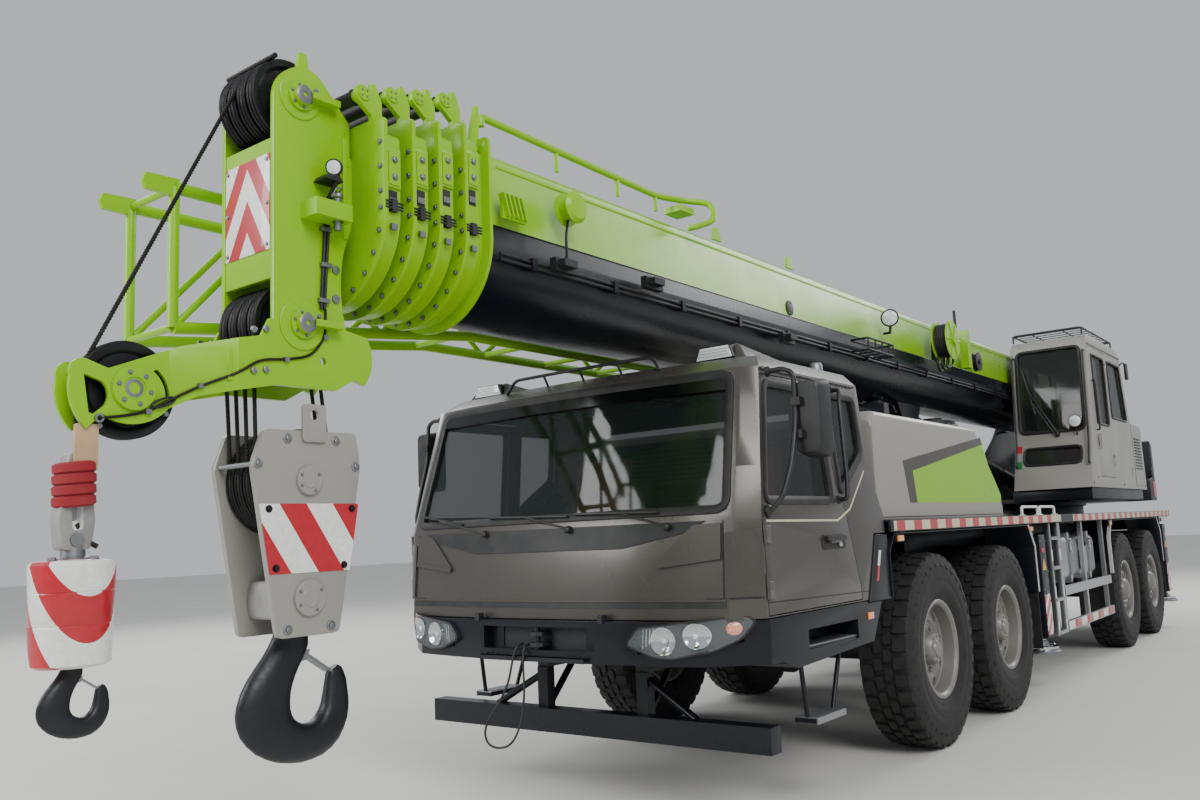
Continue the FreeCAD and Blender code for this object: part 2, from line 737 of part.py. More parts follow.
def outrigger_beam(centre, side):
    x = centre + side * beam_pitch / 2
    far_end = -1080.0
    beam = box(x - beam_width / 2, x + beam_width / 2, far_end, jack_y - jack_half + 10,
               beam_bottom, beam_bottom + beam_height)
    housing = box(x - jack_half, x + jack_half, jack_y - jack_half, jack_y + jack_half, 480, 1400)
    bore = bar((x, jack_y, 470), (x, jack_y, 1350), jack_rod_radius + seat_gap)
    shape = fuse([beam, housing]).cut(bore)
    if side < 0:
        shape = mirror_y(shape)
    return shape


def outrigger_jack(centre, side):
    x = centre + side * beam_pitch / 2
    rod = bar((x, jack_y, pad_bottom + pad_height), (x, jack_y, 1330), jack_rod_radius)
    pad = bar((x, jack_y, pad_bottom), (x, jack_y, pad_bottom + pad_height), pad_radius)
    shape = fuse([rod, pad])
    return shape if side > 0 else mirror_y(shape)


# superstructure

def turntable():
    root_z = table_top - 30
    ring = bar((slew_x, 0, table_bottom), (slew_x, 0, root_z), ring_radius + 40)
    floor = box(-9300, -5900, -900, 900, table_top - 60, table_top)
    pieces = [ring, floor]
    cheek_line = [(-6150, root_z), (-6150, 1950), (-7500, 2700), (pivot_x + 190, pivot_z + 170),
                  (pivot_x - 100, pivot_z + 190), (pivot_x - 230, pivot_z), (-8900, 2100), (-8900, root_z)]
    for side in both_sides(side_plate(cheek_line, cheek_inner, cheek_inner + cheek_plate)):
        pieces.append(side)
    pin_end = cheek_inner + cheek_plate + 20
    pieces.append(bar((pivot_x, -pin_end, pivot_z), (pivot_x, pin_end, pivot_z), pivot_radius))
    lug_line = [(foot_x - 230, root_z), (foot_x + 230, root_z), (foot_x + 110, foot_z + 100),
                (foot_x - 110, foot_z + 100)]
    for side in both_sides(side_plate(lug_line, 165, 205)):
        pieces.append(side)
    pieces.append(bar((foot_x, -215, foot_z), (foot_x, 215, foot_z), 60.0))
    # platform beside the boom under the operator's cab
    pieces.append(box(-8300, -5350, cheek_inner + 10, 1270, table_top - 50, op_floor_z - seat_gap))
    return fuse(pieces)


op_outline = [(-5250, op_floor_z), (-5480, 2450), (-5640, 3620), (-5760, 3700), (-7350, 3700),
              (-7520, 3600), (-7780, 2760), (-8440, 2740), (-8460, op_floor_z)]
op_inner_outline = [(-5305, op_floor_z + 40), (-5523, 2450), (-5680, 3615), (-5770, 3660), (-7330, 3660),
                    (-7480, 3580), (-7740, 2740), (-7740, op_floor_z + 40)]
op_door_line = [(-5770, 2010), (-5770, 3560), (-6560, 3560), (-6560, 2010)]
op_door_window = [(-5850, 2640), (-5850, 3480), (-6480, 3480), (-6480, 2640)]
op_rear_window = [(-6680, 2760), (-6680, 3480), (-7380, 3480), (-7560, 2760)]


def op_shell():
    outer = side_plate(op_outline, op_cab_inner, op_cab_outer)
    inner = side_plate(op_inner_outline, op_cab_inner + op_cab_wall, op_cab_outer - op_cab_wall)
    shell = outer.cut(inner)
    front_points = [(op_cab_inner + 70, 2560.0), (op_cab_outer - 70, 2560.0),
                    (op_cab_outer - 70, 3560.0), (op_cab_inner + 70, 3560.0)]
    low_points = [(op_cab_inner + 110, 2170.0), (op_cab_outer - 110, 2170.0),
                  (op_cab_outer - 110, 2370.0), (op_cab_inner + 110, 2370.0)]
    shell = shell.cut(front_plate(front_points, -5800, -5200)).cut(front_plate(low_points, -5800, -5200))
    for outline in (op_door_window, op_rear_window):
        shell = shell.cut(side_plate(outline, op_cab_inner - 10, op_cab_outer + 10))
    return shell


def grown(outline, gap):
    xs = [p[0] for p in outline]
    zs = [p[1] for p in outline]
    mid_x = (min(xs) + max(xs)) / 2
    mid_z = (min(zs) + max(zs)) / 2
    return [(x + math.copysign(gap, x - mid_x), z + math.copysign(gap, z - mid_z)) for x, z in outline]


def operator_cab():
    opening = side_plate(grown(op_door_line, door_gap), op_cab_outer - op_cab_wall - 10, op_cab_outer + 10)
    pieces = [op_shell().cut(opening)]
    for z in op_hinge_z:
        low, high = z + 50 + seat_gap, z + 90
        pieces.append(bar((op_hinge_x, op_hinge_y, low), (op_hinge_x, op_hinge_y, high), op_hinge_radius))
        pieces.append(box(op_hinge_x - 70, op_hinge_x, op_cab_outer - 3, op_hinge_y, low, high))
    return fuse(pieces)


def operator_door():
    leaf = side_plate(op_door_line, op_cab_outer - op_cab_wall - 10, op_cab_outer + 10)
    leaf = op_shell().common(leaf)
    y0 = op_cab_outer - 25
    pane = side_plate(op_door_window, y0, y0 + glass_thick)
    pieces = [leaf, pane, box(-5850, -5820, op_cab_outer, op_cab_outer + 35, 2330, 2520)]
    for z in op_hinge_z:
        pieces.append(bar((op_hinge_x, op_hinge_y, z - 50), (op_hinge_x, op_hinge_y, z + 50), op_hinge_radius))
        pieces.append(box(op_hinge_x, op_hinge_x + 70, op_cab_outer - 3, op_hinge_y, z - 50, z + 50))
    return fuse(pieces)


def operator_glass():
    y0 = op_cab_outer - 25
    inner = op_cab_inner + 12
    parts = [side_plate(op_rear_window, y0, y0 + glass_thick),
             side_plate(op_rear_window, inner, inner + glass_thick),
             side_plate(op_door_window, inner, inner + glass_thick)]
    line = [(-5250, op_floor_z), (-5480, 2450), (-5640, 3620)]
    skin = [(x - 15, z) for x, z in line] + [(x - 15 - glass_thick, z) for x, z in line[::-1]]
    sheet = side_plate(skin, op_cab_inner + 70, op_cab_outer - 70)
    parts.append(sheet.common(box(-5800, -5200, 0, 1400, 2560, 3560)))
    low = side_plate(skin, op_cab_inner + 110, op_cab_outer - 110)
    parts.append(low.common(box(-5800, -5200, 0, 1400, 2170, 2370)))
    return group(parts)


def operator_seat():
    x, y, low = -6700.0, (op_cab_inner + op_cab_outer) / 2, op_floor_z + 40
    base = box(x - 150, x + 150, y - 160, y + 160, low, low + 330)
    cushion = side_plate([(x - 250, low + 330), (x + 260, low + 330), (x + 260, low + 460),
                          (x - 250, low + 450)], y - 250, y + 250)
    back = side_plate([(x - 250, low + 450), (x - 120, low + 450), (x - 230, low + 1150),
                       (x - 350, low + 1150)], y - 240, y + 240)
    return fuse([base, cushion, back])


def counterweight():
    line = [(-9300, table_top - 60), (tail_x, table_top - 60), (tail_x, 2560), (tail_x + 130, 2620),
            (tail_x + 130, 2080), (-9300, 2040)]
    return side_plate(line, -tail_half, tail_half)


def winches():
    parts = []
    for x, z, flange, drum in ((-9090.0, 2330.0, 330.0, 215.0), (-8720.0, 2080.0, 260.0, 170.0)):
        pieces = [bar((x, -300, z), (x, 300, z), drum)]
        for side in (-1, 1):
            y0, y1 = sorted((side * 300.0, side * 325.0))
            pieces.append(bar((x, y0, z), (x, y1, z), flange))
            a, b = sorted((side * 325.0, side * cheek_inner))
            pieces.append(bar((x, a, z), (x, b, z), 90.0))
        parts.append(fuse(pieces))
    return group(parts)


# boom

def u_wire(half, top, x, corner=40.0):
    low = boom_axis_z
    round_top = corner
    mid = math.sin(math.radians(45))
    a = V(x, half, low)
    b = V(x, half, top - round_top)
    c = V(x, half - round_top, top)
    d = V(x, -half + round_top, top)
    e = V(x, -half, top - round_top)
    f = V(x, -half, low)
    bend = round_top * (1 - mid)
    return Part.Wire([Part.makeLine(a, b), Part.Arc(b, V(x, half - bend, top - bend), c).toShape(),
                      Part.makeLine(c, d), Part.Arc(d, V(x, -half + bend, top - bend), e).toShape(),
                      Part.makeLine(e, f), Part.Arc(f, V(x, 0, low - half), a).toShape()])


def u_prism(half, top, x0, x1, corner=40.0):
    return Part.Face(u_wire(half, top, x0, corner)).extrude(V(x1 - x0, 0, 0))


def section_half(i):
    return boom_half - section_pitch * i


def section_top(i):
    return boom_top_z - section_pitch * i


def tube_of(i, x0, x1):
    half, top = section_half(i), section_top(i)
    return u_prism(half, top, x0, x1).cut(u_prism(half - boom_wall, top - boom_wall, x0 - 1, x1 + 1, 30.0))


def ring_of(half_out, top_out, half_in, top_in, x0, x1):
    return u_prism(half_out, top_out, x0, x1, 30.0).cut(u_prism(half_in, top_in, x0 - 1, x1 + 1, 30.0))


def collar(i):
    # front collar of section i, seated on section i and guiding section i + 1
    front = collar_x[i]
    half, top = section_half(i), section_top(i)
    guide_half, guide_top = section_half(i + 1) + slide_gap, section_top(i + 1) + slide_gap
    band_half = collar_half - 18.0
    pieces = [ring_of(collar_half, top + 90, guide_half, guide_top, front - collar_plate, front),
              ring_of(band_half, top + 20, half - 1, top - 1, front - 110, front - collar_plate),
              ring_of(half + 10, top + 10, guide_half, guide_top, front - 90, front - collar_plate)]
    # horn plates with ears ahead of them that hold a roller across the top
    horn_line = [(front - 60, top - 5), (front, top - 5), (front, top + 110), (front + 70, top + 160),
                 (front + 90, top + roller_rise, front + 88, top + 180),
                 (front + 45, top + 246, front + 80, top + 236), (front, top + 232), (front, top + 270),
                 (front - 22, top + 272), (front - 60, top + 190)]
    for side in (-1, 1):
        y0, y1 = sorted((side * (horn_outer_y - 28), side * horn_outer_y))
        pieces.append(curved_plate(horn_line, y0, y1))
        # boxed slide-pad housing on the upper side
        y0, y1 = sorted((side * (half - 4), side * (collar_half - 6)))
        pieces.append(box(front - 104, front - collar_plate, y0, y1, top - 250, top - 60))
    roller_x, roller_z = front + roller_ahead, top + roller_rise
    pieces.append(bar((roller_x, -horn_outer_y + 14, roller_z), (roller_x, horn_outer_y - 14, roller_z),
                      roller_radius))
    for side in (-1, 1):
        y0, y1 = sorted((side * horn_outer_y, side * (horn_outer_y + 8)))
        pieces.append(bar((roller_x, y0, roller_z), (roller_x, y1, roller_z), roller_radius + 4))
    return pieces


def boom_base():
    front = collar_x[0]
    pieces = [tube_of(0, base_rear_x, front - 40)] + collar(0)
    pieces.append(ring_of(collar_half, boom_top_z + 60, boom_half - 1, boom_top_z - 1,
                          front - 195, front - 175))
    for side in both_sides(side_plate([(front - 195, boom_top_z - 5), (front - 120, boom_top_z - 5),
                                       (front - 175, boom_top_z + 250), (front - 195, boom_top_z + 250)],
                                      horn_outer_y - 28, horn_outer_y)):
        pieces.append(side)
    foot_line = [(base_rear_x + 300, boom_axis_z - 330), (base_rear_x + 300, boom_top_z - 60),
                 (base_rear_x, boom_top_z - 60), (pivot_x - 90, pivot_z + 150), (pivot_x - 160, pivot_z),
                 (pivot_x - 90, pivot_z - 150), (base_rear_x, boom_axis_z - 330)]
    for side in both_sides(side_plate(foot_line, boom_half - 90, boom_half - 0)):
        pieces.append(side.cut(u_prism(boom_half - boom_wall, boom_top_z - boom_wall,
                                       base_rear_x, base_rear_x + 400)))
    pieces.append(bar((pivot_x, -boom_half, pivot_z), (pivot_x, boom_half, pivot_z), 130.0))
    # lugs for the derrick cylinder's rod eye, the bore stays free for the open end of the linkage
    lug_inner = eye_half + run_gap
    lug_line = [(eye_x - 330, 2795), (eye_x + 330, 2795), (eye_x + 120, eye_z - 110), (eye_x - 120, eye_z - 110)]
    for side in both_sides(side_plate(lug_line, lug_inner, lug_inner + 45)):
        pieces.append(side)
    shape = fuse(pieces)
    shape = shape.cut(u_prism(section_half(1) + slide_gap, section_top(1) + slide_gap,
                              base_rear_x + 150, front + 100))
    return shape.cut(bar((pivot_x, -boom_half - 10, pivot_z), (pivot_x, boom_half + 10, pivot_z),
                         pivot_radius + seat_gap))


def telescope(i):
    rear = base_rear_x + section_rear_step * i
    front = collar_x[i]
    outer_half = section_half(i - 1) - boom_wall - slide_gap
    outer_top = section_top(i - 1) - boom_wall - slide_gap
    half, top = section_half(i), section_top(i)
    pieces = [tube_of(i, rear, front - 40)] + collar(i)
    pieces.append(ring_of(outer_half, outer_top, half - 1, top - 1, rear, rear + 120))
    shape = fuse(pieces)
    return shape.cut(u_prism(section_half(i + 1) + slide_gap, section_top(i + 1) + slide_gap,
                             rear + 150, front + 100))


# x, z of the head's side plates, with a point on the way where the edge is an arc
head_outline = [(head_front_x, head_bottom_z), (head_front_x, head_top_z - 190),
                (4510, head_top_z - 4, 4612, head_top_z - 64), (4395, head_top_z - 35, 4450, head_top_z - 6),
                (head_rear_x + 12, head_top_z - 188),
                (head_rear_x, 3540, head_rear_x + 2, 3570), (head_rear_x, 3370),
                (head_rear_x, 3100, head_rear_x + 95, 3230), (head_rear_x, 3050), (4275, 2950),
                (4270, 2560, 4298, 2750), (4150, 2540), (4165, 2310, 4118, 2430), (4225, 2330),
                (4330, head_bottom_z)]


def boom_head():
    i = len(collar_x)
    rear = base_rear_x + section_rear_step * i
    half, top = section_half(i), section_top(i)
    outer_half = section_half(i - 1) - boom_wall - slide_gap
    outer_top = section_top(i - 1) - boom_wall - slide_gap
    tube = tube_of(i, rear, head_tube_front)
    ring = ring_of(outer_half, outer_top, half - 1, top - 1, rear, rear + 120)
    pieces = [tube, ring]
    hang_bore = bar((hang_at[0], -head_half - 1, hang_at[1]), (hang_at[0], head_half + 1, hang_at[1]), 18.0)
    for side in both_sides(curved_plate(head_outline, head_half - head_plate, head_half)):
        pieces.append(side.cut(hang_bore))
    inner = head_half - head_plate
    pieces.append(box(head_front_x - 30, head_front_x - 5, -inner, inner, 2752, 3400))
    pieces.append(box(head_tube_front - 20, head_tube_front, -inner, inner, 2800, 3400))
    pieces.append(box(head_tube_front - 10, head_front_x - 20, -inner, inner, 2960, 2985))
    for x, z in (top_sheave_at, low_sheave_at):
        pieces.append(bar((x, -head_half - 45, z), (x, head_half + 45, z), 45.0))
        for side in (-1, 1):
            y0, y1 = sorted((side * head_half, side * (head_half + 22)))
            pieces.append(bar((x, y0, z), (x, y1, z), 66.0))
            y0, y1 = sorted((side * head_half, side * (head_half + 60)))
            pieces.append(box(x - 190, x - 40, y0, y1, z - 8, z + 22))
    # box tubes with a pin for the jib on both sides
    for side in (-1, 1):
        y0, y1 = sorted((side * head_half, side * (head_half + 120)))
        ear = box(4320, 4520, y0, y1, 3045, 3125)
        bore_y = side * (head_half + 75)
        pieces.append(ear.cut(bar((4370, bore_y, 3040), (4370, bore_y, 3130), ear_bore_radius)))
    # top lug
    pieces.append(side_plate([(4470, head_top_z - 30), (4535, head_top_z - 30), (4520, head_top_z + 70),
                              (4480, head_top_z + 70)], head_half - head_plate, head_half))
    # nose bracket
    joint_x = head_front_x - 40
    tip = nose_tip_x
    nose_line = [(joint_x, 2560), (joint_x, 2275), (tip - 495, 2205), (tip - 395, 2150),
                 (tip - 125, 2110, tip - 255, 2078), (tip - 65, 2050), (tip, 2255, tip - 8, 2140),
                 (tip - 55, 2322, tip - 12, 2308), (tip - 145, 2292), (tip - 435, 2412),
                 (head_front_x + 60, 2480), (head_front_x + 20, 2560)]
    window = [(tip - 50, 2262), (tip - 122, 2238), (tip - 135, 2145, tip - 146, 2190), (tip - 92, 2106),
              (tip - 72, 2112)]
    slot = [(tip - 328, 2298, tip - 369, 2248), (tip - 344, 2308), (tip - 398, 2190, tip - 386, 2254),
            (tip - 380, 2188)]
    # seen from above, each plate splays from the tip's width to the head's
    nose_inner = nose_half - nose_plate
    splay = [(joint_x, head_half), (joint_x, head_half - 20), (nose_splay_start, head_half - 20),
             (nose_splay_end, nose_inner), (tip + 10, nose_inner), (tip + 10, nose_half),
             (nose_splay_end, nose_half), (nose_splay_start, head_half)]
    cheek = curved_plate(nose_line, 0, head_half + 10).common(plan_plate(splay, 2000, 2700))
    for opening in (window, slot):
        cheek = cheek.cut(curved_plate(opening, 0, nose_half + 20))
    for side in both_sides(cheek):
        pieces.append(side)
    x, z = nose_sheave_at
    pieces.append(bar((x, -nose_half - 6, z), (x, nose_half + 6, z), 40.0))
    for side in (-1, 1):
        y0, y1 = sorted((side * nose_half, side * (nose_half + 12)))
        pieces.append(bar((x, y0, z), (x, y1, z), 90.0))
    pieces.append(box(nose_splay_start + 20, nose_splay_start + 40, -head_half + 10, head_half - 10, 2270, 2400))
    return fuse(pieces)


def sheave(x, z, radius, y_mid, width, bore):
    floor_half, lip_half = rope_radius + 1.0, rope_radius + 5.0
    outline = [(-width / 2, bore), (-width / 2, radius), (-lip_half, radius),
               (-floor_half, radius - sheave_groove), (floor_half, radius - sheave_groove),
               (lip_half, radius), (width / 2, radius), (width / 2, bore)]
    points = [V(x, y_mid + s, z + r) for s, r in outline]
    return Part.Face(Part.makePolygon(points + points[:1])).revolve(V(x, 0, z), V(0, 1, 0), 360)


def head_sheaves():
    parts = []
    for x, z in (top_sheave_at, low_sheave_at):
        for y in sheave_rows:
            parts.append(sheave(x, z, head_sheave_radius, y, 58.0, 45.0 + seat_gap))
    parts.append(sheave(nose_sheave_at[0], nose_sheave_at[1], nose_sheave_radius, 0.0, 56.0, 40.0 + seat_gap))
    return group(parts)


def fly_jib():
    # four-chord lattice stowed along the boom's right side: x, half height scale, middle z
    front, rear = 4700.0, -4200.0
    y_in, y_out = -560.0, -980.0
    bays = 14
    pieces = []
    def chord_z(x, upper):
        if upper:
            return 3340.0
        return 2640.0 + min(1.0, max(0.0, (front - x) / 2000.0)) * 220.0
    step = (front - rear) / bays
    for y in (y_in, y_out):
        pieces.append(bar((rear, y, chord_z(rear, True)), (front, y, chord_z(front, True)), 32.0))
        knee = front - 2000.0
        pieces.append(bar((rear, y, chord_z(rear, False)), (knee, y, chord_z(knee, False)), 32.0))
        pieces.append(bar((knee, y, chord_z(knee, False)), (front, y, chord_z(front, False)), 32.0))
        pieces.append(Part.makeSphere(32.0, V(knee, y, chord_z(knee, False))))
    for k in range(bays + 1):
        x = rear + k * step
        for y in (y_in, y_out):
            if k % 2 == 0 and k < bays:
                pieces.append(bar((x, y, chord_z(x, False)), (x + step, y, chord_z(x + step, True)), 18.0))
            if k % 2 == 1 and k < bays:
                pieces.append(bar((x, y, chord_z(x, True)), (x + step, y, chord_z(x + step, False)), 18.0))
        for upper in (True, False):
            z = chord_z(x, upper)
            pieces.append(bar((x, y_in, z), (x, y_out, z), 18.0))
    for x in (rear, front):
        for y in (y_in, y_out):
            pieces.append(bar((x, y, chord_z(x, False)), (x, y, chord_z(x, True)), 26.0))
    # forks at the front end
    for y in (y_in, y_out):
        z = chord_z(front, True)
        pieces.append(side_plate([(front - 20, z - 45), (front + 150, z - 40), (front + 165, z),
                                  (front + 150, z + 40), (front - 20, z + 45)], y - 14, y + 14))
    # brackets to the boom's side
    for x in (-3600.0, 2600.0):
        pieces.append(box(x - 60, x + 60, y_in, -boom_half, 3300, 3380))
    return fuse(pieces)


# derrick cylinder, its axis runs from the foot pin to the rod eye

def along(distance):
    run = V(eye_x - foot_x, 0, eye_z - foot_z)
    run.normalize()
    return V(foot_x, 0, foot_z).add(run.multiply(distance))


def derrick_length():
    return math.hypot(eye_x - foot_x, eye_z - foot_z)


def derrick_barrel():
    start, end = along(90.0), along(derrick_length() - 280.0)
    body = bar(tuple(start), tuple(end), barrel_radius)
    foot = bar((foot_x, -160, foot_z), (foot_x, 160, foot_z), 130.0)
    collar_ring = bar(tuple(along(derrick_length() - 340.0)), tuple(end), barrel_radius + 18)
    shape = fuse([body, foot, collar_ring])
    bore = bar(tuple(along(300.0)), tuple(along(derrick_length())), derrick_rod_radius + seat_gap)
    pin = bar((foot_x, -200, foot_z), (foot_x, 200, foot_z), 60.0 + seat_gap)
    return shape.cut(bore).cut(pin)


def derrick_rod():
    rod = bar(tuple(along(320.0)), tuple(along(derrick_length() - 60.0)), derrick_rod_radius)
    eye = bar((eye_x, -eye_half, eye_z), (eye_x, eye_half, eye_z), 115.0)
    return fuse([rod, eye]).cut(bar((eye_x, -100, eye_z), (eye_x, 100, eye_z), 60.0))


# hook blocks

# single hook seen from the side: x from the shank's axis, z from the saddle, arcs with a point on the way
hook_outline = [(-85, 392), (85, 392), (262, 75, 218, 215), (-50, -168, 160, -100), (-312, 60, -250, -100),
                (-287, 205, -305, 140), (-193, 200, -238, 243), (-147, 27, -180, 95), (-1, 45, -78, 0),
                (-33, 254, 8, 140)]


def hook_shape(x, saddle_z, scale, shank_top, shank_radius):
    rows = []
    for row in hook_outline:
        rows.append(tuple((x if k % 2 == 0 else saddle_z) + value * scale for k, value in enumerate(row)))
    half = 55.0 * scale
    shank_low = saddle_z + 300.0 * scale
    return fuse([curved_plate(rows, -half, half), bar((x, 0, shank_low), (x, 0, shank_top), shank_radius)])


def outer_tangent(centre_a, reach_a, centre_b, reach_b):
    # ends of the line that touches both circles on their front side
    dx, dz = centre_a[0] - centre_b[0], centre_a[1] - centre_b[1]
    turn = -math.atan2(dx, dz) - math.asin((reach_a - reach_b) / math.hypot(dx, dz))
    nx, nz = math.cos(turn), math.sin(turn)
    return ((centre_a[0] + reach_a * nx, centre_a[1] + reach_a * nz),
            (centre_b[0] + reach_b * nx, centre_b[1] + reach_b * nz))


def main_block():
    line = [(4677, 2082), (4182, 2086), (4160, 1925), (4286, block_bottom), (4609, block_bottom), (4735, 1925)]
    pieces = []
    for side in both_sides(side_plate(line, block_half - block_cheek, block_half)):
        pieces.append(side)
    lug = side_plate([(4360, 2032), (4488, 2032), (4488, 2204), (4360, 2204)], block_half, block_half + lug_thick)
    pieces.append(lug.cut(bar((lug_hole[0], 100, lug_hole[1]), (lug_hole[0], 200, lug_hole[1]), lug_bore)))
    for z, radius in ((block_sheave_z, 66.0), (1345.0, 80.0)):
        pieces.append(bar((block_x, -block_half - 22, z), (block_x, block_half + 22, z), radius))
    pieces.append(box(block_x - 110, block_x + 110, -block_half + 20, block_half - 20, 1265, 1425))
    for x, z in ((4190.0, 1930.0), (4708.0, 1930.0)):
        pieces.append(bar((x, -block_half - 12, z), (x, block_half + 12, z), 12.0))
    # sheaves on the upper pin, with the front falls that end on the head's lower sheaves
    top, low = outer_tangent(low_sheave_at, head_sheave_radius + rope_reach,
                             (block_x, block_sheave_z), block_sheave_radius + rope_reach)
    for y in sheave_rows[1:3]:
        pieces.append(bar((block_x, y - 26, block_sheave_z), (block_x, y + 26, block_sheave_z),
                          block_sheave_radius))
        pieces.append(bar((low[0], y, low[1]), (top[0], y, top[1]), rope_radius))
    shape = fuse(pieces)
    return shape.cut(bar((block_x, 0, 1170), (block_x, 0, 1380), main_shank + seat_gap))


def main_hook():
    return hook_shape(block_x, 787.0, hook_scale, 1378.0, main_shank)


def aux_block():
    low = aux_weight_bottom
    weight = Part.makeCone(aux_weight_radius - 12, aux_weight_radius, 390.0, V(aux_x, 0, low), V(0, 0, 1))
    neck = bar((aux_x, 0, low + 380), (aux_x, 0, 1640), 42.0)
    socket = side_plate([(aux_x - 50, 1590), (aux_x + 60, 1590), (aux_x + 72, 1700), (aux_x + 38, 1960),
                         (aux_x - 34, 1960), (aux_x - 66, 1700)], -38, 38)
    rope = bar((aux_x, 0, 1950), (aux_x, 0, nose_sheave_at[1]), rope_radius)
    shape = fuse([weight, neck, socket, rope])
    return shape.cut(bar((aux_x, 0, low - 10), (aux_x, 0, low + 100), aux_shank + seat_gap))


def aux_hook():
    return hook_shape(aux_x, 972.0, aux_hook_scale, aux_weight_bottom + 98, aux_shank)


cab_shell_shape, door_leaf = split_cab()
door_left_shape = door_with_glass(door_leaf)
mirror_shape = mirror_left()

nodes = {
    "chassis_frame": chassis_frame(),
    "axles": axles(),
    "deck": deck(),
    "fenders": fenders(),
    "engine": engine(),
    "engine_hood": engine_hood(),
    "cab_shell": cab_shell_shape,
    "cab_glass": cab_glass(),
    "dashboard": dashboard(),
    "seats": seats(),
    "bumper": bumper(),
    "lamps": lamps(),
    "underrun_beam": underrun_beam(),
    "side_guards": side_guards(),
    "side_tanks": side_tanks(),
    "outrigger_boxes": outrigger_boxes(),
    "door_left": door_left_shape,
    "door_right": mirror_y(door_left_shape),
    "mirror_left": mirror_shape,
    "mirror_right": mirror_y(mirror_shape),
    "turntable": turntable(),
    "operator_cab": operator_cab(),
    "operator_door": operator_door(),
    "operator_glass": operator_glass(),
    "operator_seat": operator_seat(),
    "counterweight": counterweight(),
    "winches": winches(),
    "boom_base": boom_base(),
    "boom_head": boom_head(),
    "head_sheaves": head_sheaves(),
    "fly_jib": fly_jib(),
    "derrick_barrel": derrick_barrel(),
    "derrick_rod": derrick_rod(),
    "main_block": main_block(),
    "main_hook": main_hook(),
    "aux_block": aux_block(),
    "aux_hook": aux_hook(),
}
for i in (1, 2, 3):
    nodes["boom_section_%d" % i] = telescope(i)
for side, word in ((1, "left"), (-1, "right")):
    for number, x in enumerate(axle_x):
        steered = number < steered_axles
        nodes["wheel_%d_%s" % (number + 1, word)] = wheel(x, side, 125.0 if steered else 165.0)
        if steered:
            nodes["knuckle_%d_%s" % (number + 1, word)] = knuckle(x, side)
    for centre, place in zip(outrigger_x, ("front", "rear")):
        nodes["outrigger_%s_%s" % (place, word)] = outrigger_beam(centre, side)
        nodes["jack_%s_%s" % (place, word)] = outrigger_jack(centre, side)

os.makedirs("parts", exist_ok=True)
for name, shape in nodes.items():
    shape.translate(V(row_shift, 0, 0))
    shape.exportStep("parts/%s.step" % name)
    print(name, len(shape.Solids), "solids", shape.isValid(), round(shape.Volume / 1e9, 4), "m3")
print(len(nodes), "nodes")
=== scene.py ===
import math

import bmesh
import bpy
from mathutils import Matrix, Vector


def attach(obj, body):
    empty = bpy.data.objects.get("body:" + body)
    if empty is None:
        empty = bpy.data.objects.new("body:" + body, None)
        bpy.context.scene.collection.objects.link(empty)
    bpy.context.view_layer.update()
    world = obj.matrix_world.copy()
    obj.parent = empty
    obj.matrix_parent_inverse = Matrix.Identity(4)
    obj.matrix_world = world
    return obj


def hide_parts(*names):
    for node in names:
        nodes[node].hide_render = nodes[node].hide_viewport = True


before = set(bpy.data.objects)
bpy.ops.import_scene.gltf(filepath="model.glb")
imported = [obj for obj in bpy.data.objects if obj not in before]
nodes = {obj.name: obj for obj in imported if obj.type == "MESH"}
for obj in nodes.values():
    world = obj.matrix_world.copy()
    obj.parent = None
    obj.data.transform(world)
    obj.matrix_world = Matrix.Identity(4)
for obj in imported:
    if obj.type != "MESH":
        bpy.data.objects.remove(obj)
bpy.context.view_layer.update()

axleOne = 2.1     # row-frame x of the first axle; places below are measured from it


def at(x, y, z):
    return Vector((x + axleOne, y, z))


# ---- colour and material helpers

def linear(hexCode):
    parts = [int(hexCode[i:i + 2], 16) / 255.0 for i in (0, 2, 4)]
    return tuple(p / 12.92 if p <= 0.04045 else ((p + 0.055) / 1.055) ** 2.4 for p in parts) + (1.0,)


def addNode(tree, kind, inputs=(), out=0, stops=(), **settings):
    # inputs: a number, colour or source socket for each input; gives the node's output named by out
    node = tree.nodes.new(kind if kind.startswith(("Geometry", "Function", "Node")) else "ShaderNode" + kind)
    for key, value in settings.items():
        setattr(node, key, value)
    for key, value in dict(inputs).items():
        if hasattr(value, "is_linked"):
            tree.links.new(value, node.inputs[key])
        else:
            node.inputs[key].default_value = value
    for number, (place, value) in enumerate(stops):
        elements = node.color_ramp.elements
        elements[number].position = place
        elements[number].color = (value, value, value, 1.0)
    return node.outputs[out] if len(node.outputs) else None


def surfaceMaterial(name, coat):
    # coat: makes the shader's inputs from the tree and the object's own coordinates
    material = bpy.data.materials.new(name)
    material.use_nodes = True
    tree = material.node_tree
    tree.nodes.clear()
    coords = addNode(tree, "TexCoord", out="Object")
    shader = addNode(tree, "BsdfPrincipled", coat(tree, coords))
    addNode(tree, "OutputMaterial", {"Surface": shader})
    return material


def darker(hexCode, share):
    return tuple(c * share for c in linear(hexCode)[:3]) + (1.0,)


